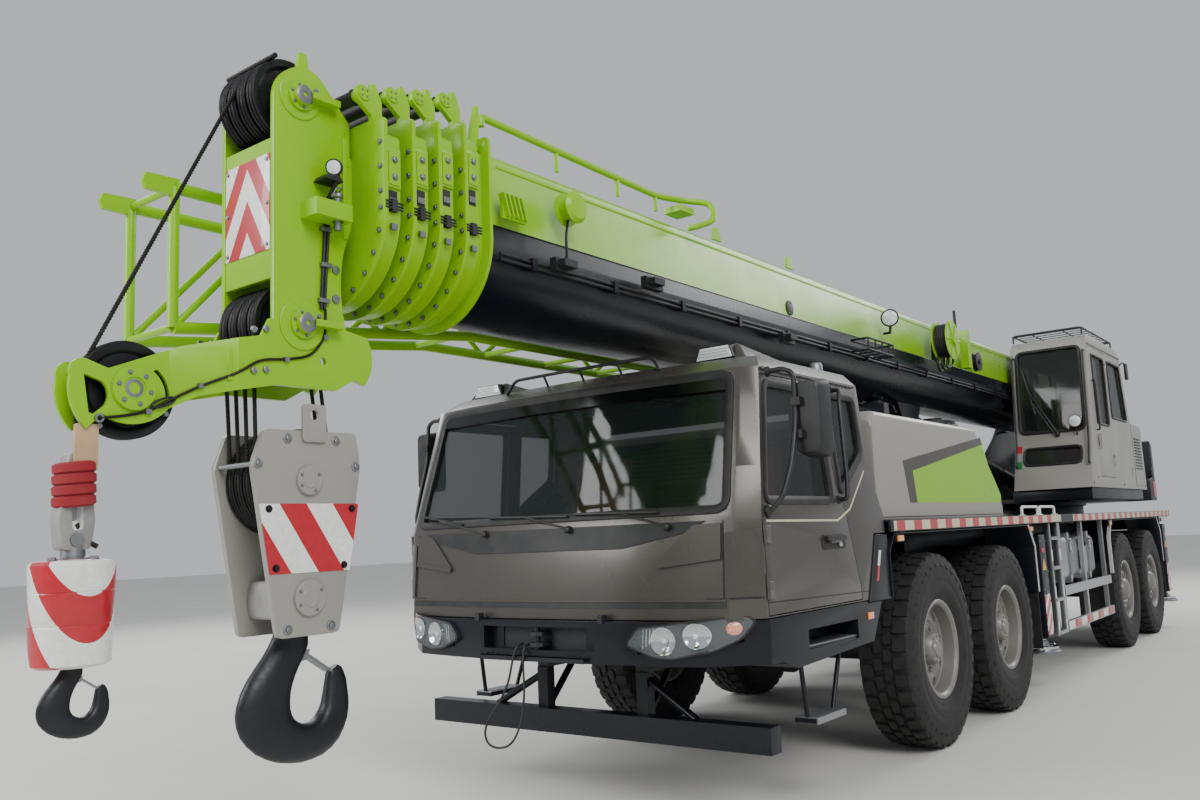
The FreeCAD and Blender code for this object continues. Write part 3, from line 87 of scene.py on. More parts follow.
def sprayedEnamel(name, hexCode, gloss=0.32, dust=0.10, flake=0.0, zones=(), shine=1.0):
    # two-coat vehicle enamel: clear gloss, faint orange peel of 4 mm, road dust low down
    # zones: (hex, function that makes a mask from the tree and the coordinates)
    def coat(tree, coords):
        base = linear(hexCode)
        for zoneHex, zoneMask in zones:
            base = addNode(tree, "Mix", {0: zoneMask(tree, coords), 6: base, 7: linear(zoneHex)}, 2,
                           data_type="RGBA")
        broad = addNode(tree, "TexNoise", {"Vector": coords, "Scale": 0.9, "Detail": 3.0})
        tone = addNode(tree, "ValToRGB", {0: broad}, stops=[(0.3, 0.86), (0.7, 1.0)])
        shaded = addNode(tree, "Mix", {0: 0.25, 6: base, 7: tone}, 2, data_type="RGBA", blend_type="MULTIPLY")
        height = addNode(tree, "SeparateXYZ", {"Vector": coords}, "Z")
        low = addNode(tree, "ValToRGB", {0: height}, stops=[(0.35, 1.0), (1.0, 0.12)])
        grit = addNode(tree, "TexNoise", {"Vector": coords, "Scale": 60.0, "Detail": 8.0, "Roughness": 0.7})
        specks = addNode(tree, "ValToRGB", {0: grit}, stops=[(0.40, 0.0), (0.8, 1.0)])
        lowSpecks = addNode(tree, "Math", {0: specks, 1: low}, operation="MULTIPLY")
        dirt = addNode(tree, "Math", {0: lowSpecks, 1: dust}, operation="MULTIPLY", use_clamp=True)
        wear = addNode(tree, "TexNoise", {"Vector": coords, "Scale": 2.5, "Detail": 4.0, "Roughness": 0.55})
        peel = addNode(tree, "TexNoise", {"Vector": coords, "Scale": 250.0, "Detail": 2.0})
        dusty = addNode(tree, "Mix", {0: dirt, 6: shaded, 7: linear("8A8378")}, 2, data_type="RGBA")
        rough = [(0.3, max(gloss - 0.04, 0.05)), (0.75, min(gloss + 0.06, 1.0))]
        return {"Base Color": dusty, "Roughness": addNode(tree, "ValToRGB", {0: wear}, stops=rough),
                "Metallic": flake, "Coat Weight": 0.18 * shine, "Specular IOR Level": 0.5 * shine,
                "Coat Roughness": 0.12, "IOR": 1.5,
                "Normal": addNode(tree, "Bump", {"Height": peel, "Strength": 0.06, "Distance": 0.002})}
    return surfaceMaterial(name, coat)


def castMetal(name, hexCode, metallic=0.0, rough=0.55, grain=90.0, depth=0.15):
    # cast or forged iron under thin paint: grainy at 10 mm, dull
    def coat(tree, coords):
        spots = addNode(tree, "TexNoise", {"Vector": coords, "Scale": grain, "Detail": 6.0, "Roughness": 0.6})
        broad = addNode(tree, "TexNoise", {"Vector": coords, "Scale": 6.0, "Detail": 5.0})
        share = addNode(tree, "ValToRGB", {0: broad}, stops=[(0.35, 0.0), (0.7, 1.0)])
        tone = addNode(tree, "Mix", {0: share, 6: linear(hexCode), 7: darker(hexCode, 0.6)}, 2,
                       data_type="RGBA")
        dull = addNode(tree, "ValToRGB", {0: spots}, stops=[(0.3, rough - 0.1), (0.7, rough + 0.12)])
        return {"Base Color": tone, "Roughness": dull, "Metallic": metallic,
                "Normal": addNode(tree, "Bump", {"Height": spots, "Strength": depth, "Distance": 0.004})}
    return surfaceMaterial(name, coat)


def brightMetal(name, hexCode, rough=0.25, stretch=(1.0, 1.0, 1.0), scale=60.0, depth=0.04):
    # bare metal, brushed along one axis by a stretched noise
    def coat(tree, coords):
        drawn = addNode(tree, "Mapping", {"Vector": coords, "Scale": stretch})
        lines = addNode(tree, "TexNoise", {"Vector": drawn, "Scale": scale, "Detail": 5.0, "Roughness": 0.6})
        share = addNode(tree, "ValToRGB", {0: lines}, stops=[(0.3, 0.0), (0.7, 0.35)])
        tone = addNode(tree, "Mix", {0: share, 6: linear(hexCode), 7: darker(hexCode, 0.62)}, 2,
                       data_type="RGBA")
        dull = addNode(tree, "ValToRGB", {0: lines}, stops=[(0.2, max(rough - 0.08, 0.03)),
                                                            (0.8, rough + 0.12)])
        return {"Base Color": tone, "Roughness": dull, "Metallic": 1.0,
                "Normal": addNode(tree, "Bump", {"Height": lines, "Strength": depth, "Distance": 0.001})}
    return surfaceMaterial(name, coat)


def mouldedPlastic(name, hexCode, rough=0.45, grain=320.0, depth=0.08):
    # moulded plastic, rubber or cloth with a fine grain of 3 mm
    def coat(tree, coords):
        fine = addNode(tree, "TexNoise", {"Vector": coords, "Scale": grain, "Detail": 3.0})
        broad = addNode(tree, "TexNoise", {"Vector": coords, "Scale": 9.0, "Detail": 4.0})
        share = addNode(tree, "ValToRGB", {0: broad}, stops=[(0.35, 0.0), (0.7, 0.10)])
        tone = addNode(tree, "Mix", {0: share, 6: linear(hexCode), 7: linear("6E6A63")}, 2, data_type="RGBA")
        dull = addNode(tree, "ValToRGB", {0: fine}, stops=[(0.3, rough - 0.08), (0.7, rough + 0.1)])
        return {"Base Color": tone, "Roughness": dull,
                "Normal": addNode(tree, "Bump", {"Height": fine, "Strength": depth, "Distance": 0.001})}
    return surfaceMaterial(name, coat)


def tintedGlass(name, hexCode, density=0.65):
    # toughened glass, thin: mostly clear with a green-grey tint and a sharp reflection
    def coat(tree, coords):
        haze = addNode(tree, "TexNoise", {"Vector": coords, "Scale": 5.0, "Detail": 3.0})
        return {"Base Color": linear(hexCode), "IOR": 1.52, "Alpha": density,
                "Roughness": addNode(tree, "ValToRGB", {0: haze}, stops=[(0.3, 0.02), (0.8, 0.09)])}
    return surfaceMaterial(name, coat)


def sheetReflector(name, zones=(), base="ECECE8"):
    # retro-reflective sheet: white or red film over small prisms
    def coat(tree, coords):
        tone = linear(base)
        for zoneHex, zoneMask in zones:
            tone = addNode(tree, "Mix", {0: zoneMask(tree, coords), 6: tone, 7: linear(zoneHex)}, 2,
                           data_type="RGBA")
        broad = addNode(tree, "TexNoise", {"Vector": coords, "Scale": 30.0, "Detail": 6.0, "Roughness": 0.65})
        worn = addNode(tree, "ValToRGB", {0: broad}, stops=[(0.35, 0.84), (0.65, 1.0)])
        cells = addNode(tree, "TexVoronoi", {"Vector": coords, "Scale": 260.0}, "Distance")
        film = addNode(tree, "Mix", {0: 1.0, 6: tone, 7: worn}, 2, data_type="RGBA", blend_type="MULTIPLY")
        return {"Base Color": film, "Roughness": 0.35, "Coat Weight": 0.4,
                "Normal": addNode(tree, "Bump", {"Height": cells, "Strength": 0.12, "Distance": 0.001})}
    return surfaceMaterial(name, coat)


def roadRubber(name):
    # tyre rubber with pale road dust in the grooves and on the shoulder
    def coat(tree, coords):
        patches = addNode(tree, "TexNoise", {"Vector": coords, "Scale": 11.0, "Detail": 8.0,
                                             "Roughness": 0.7})
        dust = addNode(tree, "ValToRGB", {0: patches}, stops=[(0.4, 0.0), (0.75, 0.4)])
        fine = addNode(tree, "TexNoise", {"Vector": coords, "Scale": 180.0, "Detail": 4.0})
        tone = addNode(tree, "Mix", {0: dust, 6: linear("151516"), 7: linear("3E3A34")}, 2, data_type="RGBA")
        return {"Base Color": tone, "Roughness": addNode(tree, "ValToRGB", {0: fine},
                                                         stops=[(0.3, 0.62), (0.7, 0.85)]),
                "Normal": addNode(tree, "Bump", {"Height": fine, "Strength": 0.12, "Distance": 0.002})}
    return surfaceMaterial(name, coat)


def clearLens(name, hexCode, ribs=0.0, glow=0.0):
    # moulded lamp lens, ribbed, over a bright reflector
    def coat(tree, coords):
        wave = addNode(tree, "TexWave", {"Vector": coords, "Scale": 34.0, "Distortion": 0.6}, "Color")
        share = addNode(tree, "ValToRGB", {0: wave}, stops=[(0.2, 0.0), (0.8, 0.35)])
        tone = addNode(tree, "Mix", {0: share, 6: linear(hexCode), 7: linear("FFFFFF")}, 2, data_type="RGBA")
        return {"Base Color": tone, "Roughness": 0.12, "Coat Weight": 0.8, "Emission Strength": glow,
                "Emission Color": linear(hexCode),
                "Normal": addNode(tree, "Bump", {"Height": wave, "Strength": ribs, "Distance": 0.002})}
    return surfaceMaterial(name, coat)


def beyond(letter, place, soft=0.004):
    # mask of 1 past a place along an axis, in metres
    def mask(tree, coords):
        value = addNode(tree, "SeparateXYZ", {"Vector": coords}, letter)
        past = addNode(tree, "Math", {0: value, 1: place}, operation="SUBTRACT")
        return addNode(tree, "Math", {0: past, 1: soft}, operation="DIVIDE", use_clamp=True)
    return mask


def either(first, second):
    def mask(tree, coords):
        return addNode(tree, "Math", {0: first(tree, coords), 1: second(tree, coords)}, operation="MAXIMUM")
    return mask


def slantBands(letterA, letterB, slope, period, phase=0.0, folded=None):
    # mask of slanted bands: A + slope * B, repeated; folded gives a chevron about B = folded
    def mask(tree, coords):
        a, b = (addNode(tree, "SeparateXYZ", {"Vector": coords}, letter) for letter in (letterA, letterB))
        if folded is not None:
            b = addNode(tree, "Math", {0: b, 1: folded}, operation="SUBTRACT")
            b = addNode(tree, "Math", {0: b}, operation="ABSOLUTE")
        total = addNode(tree, "Math", {0: b, 1: slope, 2: a}, operation="MULTIPLY_ADD")
        total = addNode(tree, "Math", {0: total, 1: phase}, operation="ADD")
        total = addNode(tree, "Math", {0: total, 1: period}, operation="DIVIDE")
        part = addNode(tree, "Math", {0: total}, operation="FRACT")
        return addNode(tree, "Math", {0: part, 1: 0.5}, operation="GREATER_THAN")
    return mask


print("helpers ready")

# ---- camera, floor and lights

cameraPlace = {"x": 7.2198, "y": 3.9693, "z": 1.5513, "yaw": 217.733, "pitch": 7.735, "roll": -2.503,
               "lens": 30.35, "sensor": 36.0}


def placeCamera():
    data = bpy.data.cameras.new("camera")
    data.lens = cameraPlace["lens"]
    data.sensor_width = cameraPlace["sensor"]
    data.clip_end = 300.0
    camera = bpy.data.objects.new("camera", data)
    bpy.context.scene.collection.objects.link(camera)
    yaw, pitch, roll = (math.radians(cameraPlace[k]) for k in ("yaw", "pitch", "roll"))
    ahead = Vector((math.cos(pitch) * math.cos(yaw), math.cos(pitch) * math.sin(yaw), math.sin(pitch)))
    right = Vector((math.sin(yaw), -math.cos(yaw), 0.0))
    up = right.cross(ahead)
    tiltedRight = right * math.cos(roll) + up * math.sin(roll)
    tiltedUp = up * math.cos(roll) - right * math.sin(roll)
    turn = Matrix((tiltedRight, tiltedUp, -ahead)).transposed()
    camera.matrix_world = Matrix.Translation(at(cameraPlace["x"], cameraPlace["y"],
                                                cameraPlace["z"])) @ turn.to_4x4()
    bpy.context.scene.camera = camera


studio = {"floorHalf": 70.0, "floorHex": "D9D7D2", "skyHex": "E4E8EE", "skyStrength": 0.7}


def buildStudio():
    half = studio["floorHalf"]
    mesh = bpy.data.meshes.new("floor")
    mesh.from_pydata([(-half, -half, 0), (half, -half, 0), (half, half, 0), (-half, half, 0)], [],
                     [(0, 1, 2, 3)])
    floor = bpy.data.objects.new("floor", mesh)
    bpy.context.scene.collection.objects.link(floor)

    def coat(tree, coords):
        patches = addNode(tree, "TexNoise", {"Vector": coords, "Scale": 0.6, "Detail": 6.0, "Roughness": 0.6})
        tone = addNode(tree, "ValToRGB", {0: patches}, stops=[(0.3, 0.93), (0.7, 1.0)])
        return {"Base Color": addNode(tree, "Mix", {0: 1.0, 6: linear(studio["floorHex"]), 7: tone}, 2,
                                      data_type="RGBA", blend_type="MULTIPLY"), "Roughness": 0.8}
    mesh.materials.append(surfaceMaterial("paleConcrete", coat))

    world = bpy.data.worlds.new("studioSky")
    world.use_nodes = True
    background = world.node_tree.nodes["Background"]
    background.inputs["Color"].default_value = linear(studio["skyHex"])
    background.inputs["Strength"].default_value = studio["skyStrength"]
    bpy.context.scene.world = world

    # soft boxes: name, place, aim, size, watts
    for name, place, aim, size, watts in (("keyBox", (12.0, 14.0, 13.0), (0.0, 0.5, 1.5), 9.0, 2600.0),
                                          ("frontBox", (17.0, -6.0, 8.0), (4.0, 0.0, 1.8), 7.0, 1500.0),
                                          ("rearBox", (-16.0, 4.0, 11.0), (-3.0, 0.0, 2.0), 8.0, 1300.0),
                                          ("farSideBox", (0.0, -16.0, 10.0), (0.0, 0.0, 2.0), 9.0, 1100.0)):
        light = bpy.data.lights.new(name, "AREA")
        light.shape = "SQUARE"
        light.size = size
        light.energy = watts
        holder = bpy.data.objects.new(name, light)
        holder.location = place
        holder.rotation_euler = (Vector(aim) - Vector(place)).to_track_quat("-Z", "Y").to_euler()
        bpy.context.scene.collection.objects.link(holder)


placeCamera()
buildStudio()
print("camera and studio ready")

# ---- mesh helpers: every form is built in the row frame, in metres

def addFaces(form, points, faces, index=0, flip=False):
    made = [form.verts.new(p) for p in points]
    for face in faces:
        corners = [made[i] for i in (reversed(face) if flip else face)]
        form.faces.new(corners).material_index = index
    return made


def addPrism(form, outline, axis, low, high, index=0):
    # outline: two coordinates in the order of the other axes; extruded between low and high
    low, high = sorted((low, high))
    area = sum(a[0] * b[1] - b[0] * a[1] for a, b in zip(outline, outline[1:] + outline[:1]))
    order = list(outline) if area > 0 else list(outline)[::-1]
    place = {"x": lambda p, h: at(h, p[0], p[1]), "y": lambda p, h: at(p[0], h, p[1]), "z": lambda p,
             h: at(p[0], p[1], h)}[axis]
    count = len(order)
    points = [place(p, low) for p in order] + [place(p, high) for p in order]
    faces = [tuple(range(count))[::-1], tuple(range(count, 2 * count))]
    faces += [(i, (i + 1) % count, count + (i + 1) % count, count + i) for i in range(count)]
    return addFaces(form, points, faces, index, axis == "y")


def addBox(form, cornerA, cornerB, index=0):
    (x0, x1), (y0, y1), (z0, z1) = (sorted(pair) for pair in zip(cornerA, cornerB))
    return addPrism(form, [(x0, y0), (x1, y0), (x1, y1), (x0, y1)], "z", z0, z1, index)


def addLathe(form, centre, axis, profile, steps=32, index=0, ends="caps"):
    # profile: (distance along the axis, radius); ends are capped flat, joined in a loop or left open
    along = Vector({"x": (1, 0, 0), "y": (0, 1, 0), "z": (0, 0, 1)}.get(tuple(axis)[0], axis)).normalized()
    side = along.orthogonal().normalized()
    other = along.cross(side)
    rings = []
    for distance, radius in profile:
        middle = at(*centre) + along * distance
        if radius < 1e-6:
            rings.append([form.verts.new(middle)])
        else:
            rings.append([form.verts.new(middle + (side * math.cos(a) + other * math.sin(a)) * radius)
                          for a in (2 * math.pi * k / steps for k in range(steps))])
    pairs = list(zip(rings, rings[1:])) + ([(rings[-1], rings[0])] if ends == "loop" else [])
    for ringA, ringB in pairs:
        for k in range(steps):
            corners = [ringA[k % len(ringA)], ringA[(k + 1) % len(ringA)], ringB[(k + 1) % len(ringB)],
                       ringB[k % len(ringB)]]
            corners = [c for i, c in enumerate(corners) if c not in corners[:i]]
            if len(corners) > 2:
                form.faces.new(corners).material_index = index
    for ring, flip in ((rings[0], False), (rings[-1], True)):
        if len(ring) > 1 and ends == "caps":
            form.faces.new(ring[::-1] if flip else ring).material_index = index
    return rings


def addBar(form, points, radius, sides=10, index=0):
    # round bar through points, mitred where it turns, flat ends
    places = [at(*p) for p in points]
    rings = []
    reference = None
    for k, place in enumerate(places):
        before = (place - places[k - 1]).normalized() if k else (places[1] - place).normalized()
        after = (places[k + 1] - place).normalized() if k + 1 < len(places) else before
        tangent = (before + after).normalized()
        if reference is None:
            reference = tangent.orthogonal().normalized()
        reference = (reference - tangent * reference.dot(tangent)).normalized()
        other = tangent.cross(reference)
        stretch = 1.0 / max(0.5, tangent.dot(before))
        bend = (after - before)
        bendAxis = bend.normalized() if bend.length > 1e-6 else None
        ring = []
        for i in range(sides):
            angle = 2 * math.pi * i / sides
            offset = (reference * math.cos(angle) + other * math.sin(angle)) * radius
            if bendAxis is not None:
                offset += bendAxis * offset.dot(bendAxis) * (stretch - 1.0)
            ring.append(form.verts.new(place + offset))
        rings.append(ring)
    for ringA, ringB in zip(rings, rings[1:]):
        for k in range(sides):
            form.faces.new((ringA[k], ringA[(k + 1) % sides], ringB[(k + 1) % sides],
                            ringB[k])).material_index = index
    form.faces.new(rings[0][::-1]).material_index = index
    form.faces.new(rings[-1]).material_index = index


def roundPath(points, radius=0.05, steps=4):
    # the same route with its corners turned into arcs
    places = [Vector(p) for p in points]
    route = [places[0]]
    for a, b, c in zip(places, places[1:], places[2:]):
        back, ahead = (a - b), (c - b)
        reach = min(radius, back.length * 0.45, ahead.length * 0.45)
        start, end = b + back.normalized() * reach, b + ahead.normalized() * reach
        for k in range(steps + 1):
            t = k / steps
            route.append(start * (1 - t) ** 2 + b * 2 * t * (1 - t) + end * t ** 2)
    route.append(places[-1])
    return [tuple(p) for p in route]


def roundedRectangle(u0, u1, v0, v1, radius, steps=4):
    # outline with rounded corners, counter-clockwise
    corners = [(u1 - radius, v0 + radius, -90), (u1 - radius, v1 - radius, 0), (u0 + radius, v1 - radius, 90),
               (u0 + radius, v0 + radius, 180)]
    return [(cu + radius * math.cos(math.radians(start + 90 * k / steps)),
             cv + radius * math.sin(math.radians(start + 90 * k / steps))) for cu, cv,
            start in corners for k in range(steps + 1)]


def roundedOutline(points, radius, steps=4):
    flat = roundPath([(p[0], p[1], 0) for p in points] + [(points[0][0], points[0][1], 0),
                                                          (points[1][0], points[1][1], 0)], radius, steps)
    return [(p[0], p[1]) for p in flat[1:-1]]


def softEdges(form, width, segments=2, angle=28.0):
    form.normal_update()
    limit = math.radians(angle)
    edges = [e for e in form.edges if len(e.link_faces) == 2 and e.calc_face_angle(0.0) > limit]
    if edges:
        bmesh.ops.bevel(form, geom=edges, offset=width, offset_type="OFFSET", segments=segments, profile=0.6,
                        affect="EDGES", clamp_overlap=True, material=-1)


def makePiece(name, form, surfaces, body, replaced=(), bevel=0.0, segments=2, smooth=True):
    if bevel:
        softEdges(form, bevel, segments)
    bmesh.ops.recalc_face_normals(form, faces=form.faces)
    mesh = bpy.data.meshes.new(name)
    form.to_mesh(mesh)
    form.free()
    for surface in ([surfaces] if isinstance(surfaces, str) else surfaces):
        mesh.materials.append(finishes[surface])
    if smooth:
        mesh.shade_smooth()
        mesh.set_sharp_from_angle(angle=math.radians(32.0))
    item = bpy.data.objects.new(name, mesh)
    bpy.context.scene.collection.objects.link(item)
    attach(item, body)
    if replaced:
        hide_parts(*([replaced] if isinstance(replaced, str) else replaced))
    return item


def softenNode(nodeName, body, surface, width=0.006, segments=2):
    # the CAD form itself, with its sharp edges broken as on bent or cast metal
    form = bmesh.new()
    form.from_mesh(nodes[nodeName].data)
    bmesh.ops.remove_doubles(form, verts=form.verts, dist=1e-5)
    bmesh.ops.dissolve_limit(form, angle_limit=math.radians(1.0), verts=form.verts, edges=form.edges,
                             use_dissolve_boundaries=False, delimit=set())
    softEdges(form, width, segments, 25.0)
    bmesh.ops.triangulate(form, faces=[f for f in form.faces if len(f.verts) > 4])
    mesh = bpy.data.meshes.new(nodeName + "-soft")
    form.to_mesh(mesh)
    form.free()
    mesh.materials.append(finishes[surface])
    mesh.shade_smooth()
    mesh.set_sharp_from_angle(angle=math.radians(32.0))
    item = bpy.data.objects.new(nodeName + "-soft", mesh)
    bpy.context.scene.collection.objects.link(item)
    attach(item, body)
    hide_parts(nodeName)
    return item


def addMesh(form, mesh, index=0, move=None):
    # copies a mesh into a form under one material, moved by a matrix
    known = set(form.faces)
    part = bmesh.new()
    part.from_mesh(mesh)
    if move is not None:
        part.transform(move)
        if move.determinant() < 0:
            bmesh.ops.reverse_faces(part, faces=part.faces)
    copy = bpy.data.meshes.new("copy")
    part.to_mesh(copy)
    part.free()
    form.from_mesh(copy)
    bpy.data.meshes.remove(copy)
    for face in form.faces:
        if face not in known:
            face.material_index = index


def buildRepeatTree():
    # copies of the incoming mesh: copy k stands at k times Step and is turned by k times Turn
    tree = bpy.data.node_groups.new("repeatedPiece", "GeometryNodeTree")
    sockets = tree.interface
    sockets.new_socket("Geometry", in_out="INPUT", socket_type="NodeSocketGeometry")
    for label, kind in (("Count", "NodeSocketInt"), ("Step", "NodeSocketVector"),
                        ("Turn", "NodeSocketVector"), ("Jitter", "NodeSocketFloat"), ("Finish",
                                                                                      "NodeSocketMaterial")):
        sockets.new_socket(label, in_out="INPUT", socket_type=kind)
    sockets.new_socket("Geometry", in_out="OUTPUT", socket_type="NodeSocketGeometry")
    given = addNode(tree, "NodeGroupInput").node.outputs
    line = addNode(tree, "GeometryNodeMeshLine", {"Count": given["Count"], "Offset": given["Step"]})
    angle = addNode(tree, "VectorMath", {0: given["Turn"], "Scale": addNode(tree, "GeometryNodeInputIndex")},
                    operation="SCALE")
    wobble = addNode(tree, "FunctionNodeRandomValue", {3: given["Jitter"], 2: 0.0, 8: 7}, 1,
                     data_type="FLOAT")
    size = addNode(tree, "Math", {1: wobble, 0: 1.0}, operation="SUBTRACT")
    copies = addNode(tree, "GeometryNodeInstanceOnPoints", {"Points": line, "Instance": given["Geometry"],
                                                            "Rotation": angle, "Scale": size})
    real = addNode(tree, "GeometryNodeRealizeInstances", {"Geometry": copies})
    painted = addNode(tree, "GeometryNodeSetMaterial", {"Geometry": real, "Material": given["Finish"]})
    addNode(tree, "NodeGroupOutput", {"Geometry": painted})
    return tree


repeatTree = buildRepeatTree()


def repeatMesh(form, surface, count, step=(0.0, 0.0, 0.0), turn=(0.0, 0.0, 0.0), jitter=0.0):
    mesh = bpy.data.meshes.new("unit")
    bmesh.ops.recalc_face_normals(form, faces=form.faces)
    form.to_mesh(mesh)
    form.free()
    holder = bpy.data.objects.new("unit", mesh)
    bpy.context.scene.collection.objects.link(holder)
    modifier = holder.modifiers.new("repeat", "NODES")
    modifier.node_group = repeatTree
    wanted = {"Count": count, "Step": step, "Turn": turn, "Jitter": jitter, "Finish": finishes[surface]}
    for item in repeatTree.interface.items_tree:
        if item.item_type == "SOCKET" and item.in_out == "INPUT" and item.name in wanted:
            modifier[item.identifier] = wanted[item.name]
    graph = bpy.context.evaluated_depsgraph_get()
    made = bpy.data.meshes.new_from_object(holder.evaluated_get(graph))
    holder.modifiers.remove(modifier)
    bpy.data.objects.remove(holder)
    return made


def hexBolt(form, place, axis, size=0.012, index=0, washer=True):
    # a hexagon head on a washer, standing along the axis
    if washer:
        addLathe(form, place, axis, [(0.0, size * 1.3), (size * 0.18, size * 1.3)], 14, index)
    addLathe(form, place, axis, [(size * 0.1, size), (size * 0.85, size), (size * 1.0, size * 0.8)], 6, index)


def bolts(form, places, axis, size, index):
    for place in places:
        hexBolt(form, place, axis, size, index)


def carve(form, cutter):
    # the form less the cutter, by an exact boolean
    made = []
    for label, source in (("body", form), ("cutter", cutter)):
        bmesh.ops.recalc_face_normals(source, faces=source.faces)
        mesh = bpy.data.meshes.new(label)
        source.to_mesh(mesh)
        source.free()
        item = bpy.data.objects.new(label, mesh)
        bpy.context.scene.collection.objects.link(item)
        made.append(item)
    modifier = made[0].modifiers.new("carve", "BOOLEAN")
    modifier.operation = "DIFFERENCE"
    modifier.solver = "EXACT"
    modifier.object = made[1]
    graph = bpy.context.evaluated_depsgraph_get()
    mesh = bpy.data.meshes.new_from_object(made[0].evaluated_get(graph))
    result = bmesh.new()
    result.from_mesh(mesh)
    for item in made:
        bpy.data.objects.remove(item)
    return result


print("mesh tools ready")
# ---- materials, named for the real finish

boomSeam = 3.215       # height of the edge between the two boom colours
limeHex = "86BC06"
collarRear = 3.495 + axleOne     # in front of this the boom is lime all round

bareZones = either(beyond("Z", boomSeam), beyond("X", collarRear))
signalRed = "B80F22"

# each maker's rows: name, then what it takes
finishRows = (
    (sprayedEnamel, (("limeEnamel", limeHex, 0.30, 0.05, 0.0, (), 0.6),
                     ("boomEnamel", "0D131B", 0.28, 0.05, 0.0, [(limeHex, bareZones)], 0.5),
                     ("navyEnamel", "10131B", 0.34, 0.05, 0.0, (), 0.5),
                     ("bronzeEnamel", "4A4641", 0.28, 0.06, 0.30), ("warmGreyEnamel", "928F88", 0.34, 0.06),
                     ("paleGreyEnamel", "C3C4C2", 0.32, 0.08, 0.25),
                     ("deckEnamel", "22252B", 0.45, 0.15, 0.0, (), 0.6),
                     ("charcoalEnamel", "1B1C21", 0.40, 0.10, 0.0, (), 0.5),
                     ("rimSteel", "7E7C77", 0.46, 0.45, 0.35), ("whitePaint", "E9E9E4", 0.35, 0.05),
                     ("yellowPaint", "E8B90C", 0.35, 0.05), ("brownEnamel", "33291F", 0.34, 0.06),
                     ("screenPrint", "070809", 0.15, 0.0, 0.0, (), 0.7), ("greenPaint", "1F7A3C", 0.35, 0.05),
                     ("redPaint", "B3202C", 0.35, 0.05))),
    (castMetal, (("blackIron", "1B1C20"), ("forgedIron", "1D1F24", 0.25, 0.42, 55.0, 0.22),
                 ("sheaveIron", "222226", 0.5, 0.38, 120.0, 0.08),
                 ("wireRope", "26241F", 0.6, 0.45, 200.0, 0.5),
                 ("castGrey", "9A9A96", 0.2, 0.5, 70.0, 0.2), ("tanPlate", "C9A77E", 0.0, 0.6, 90.0, 0.1))),
    (mouldedPlastic, (("blackPlastic", "141518"), ("blackRubber", "131314", 0.55, 220.0),
                      ("redCloth", "8E1520", 0.85, 400.0, 0.3))),
    (brightMetal, (("brushedAluminium", "B9BBBE", 0.32, (1.0, 14.0, 14.0)), ("treadPlate", "A9ABAD", 0.38),
                   ("chromedSteel", "D6D8DA", 0.10, (1.0, 1.0, 1.0), 30.0, 0.01),
                   ("galvanisedSteel", "8F9294", 0.42),
                   ("mirrorGlass", "C9D2DA", 0.04, (1.0, 1.0, 1.0), 20.0, 0.0))),
    (tintedGlass, (("cabGlass", "1B2422", 0.42), ("clearCover", "AEB6BC", 0.10))),
    (clearLens, (("lampGlass", "DDE3E8", 0.25), ("amberLens", "E8820C", 0.2, 0.1),
                 ("redLens", "B4121C", 0.2))),
    (sheetReflector, (("creamTape", (), "CFC8A8"), ("whiteReflector",), ("redReflector", (), signalRed),
                      ("hazardBand", [(signalRed, slantBands("Z", "X", -1.5, 0.42, 0.1065))]),
                      ("chevronBoard", [(signalRed, slantBands("Z", "Y", 1.75, 0.30, 0.155, 0.0))]),
                      ("jackBand", [(signalRed, slantBands("Z", "X", 1.0, 0.16))]),
                      ("auxBand", [(signalRed, slantBands("Z", "Y", 1.9, 0.36, 0.10))]),
                      ("weightBand", [(signalRed, slantBands("Z", "Y", 1.0, 0.26))]))),
    (roadRubber, (("roadRubber",),)))
finishes = {row[0]: make(*row) for make, rows in finishRows for row in rows}

nodeFinish = {"chassis_frame": "navyEnamel", "axles": "blackIron", "deck": "deckEnamel",
              "fenders": "navyEnamel", "engine": "blackIron", "engine_hood": "warmGreyEnamel",
              "cab_shell": "bronzeEnamel", "cab_glass": "cabGlass", "dashboard": "blackPlastic",
              "seats": "redCloth", "bumper": "navyEnamel", "lamps": "lampGlass",
              "underrun_beam": "navyEnamel", "side_guards": "brushedAluminium",
              "side_tanks": "brushedAluminium", "outrigger_boxes": "navyEnamel", "door_left": "bronzeEnamel",
              "door_right": "bronzeEnamel", "mirror_left": "blackPlastic", "mirror_right": "blackPlastic",
              "turntable": "navyEnamel", "operator_cab": "warmGreyEnamel", "operator_door": "warmGreyEnamel",
              "operator_glass": "cabGlass", "operator_seat": "redCloth", "counterweight": "deckEnamel",
              "winches": "galvanisedSteel", "boom_base": "boomEnamel", "boom_section_1": "boomEnamel",
              "boom_section_2": "boomEnamel", "boom_section_3": "boomEnamel", "boom_head": "limeEnamel",
              "head_sheaves": "sheaveIron", "fly_jib": "limeEnamel", "derrick_barrel": "navyEnamel",
              "derrick_rod": "chromedSteel", "main_block": "warmGreyEnamel", "main_hook": "forgedIron",
              "aux_block": "castGrey", "aux_hook": "forgedIron"}


def dressNodes():
    for name, item in nodes.items():
        if name.startswith("wheel_"):
            finish = "roadRubber"
        elif name.startswith("knuckle_"):
            finish = "blackIron"
        elif name.startswith("outrigger_") and name not in nodeFinish:
            finish = "navyEnamel"
        elif name.startswith("jack_"):
            finish = "chromedSteel"
        else:
            finish = nodeFinish[name]
        item.data.materials.clear()
        item.data.materials.append(finishes[finish])


dressNodes()
print("materials ready")

# ---- wheels: tyre with road tread and steel rim, built about the origin and copied to each hub

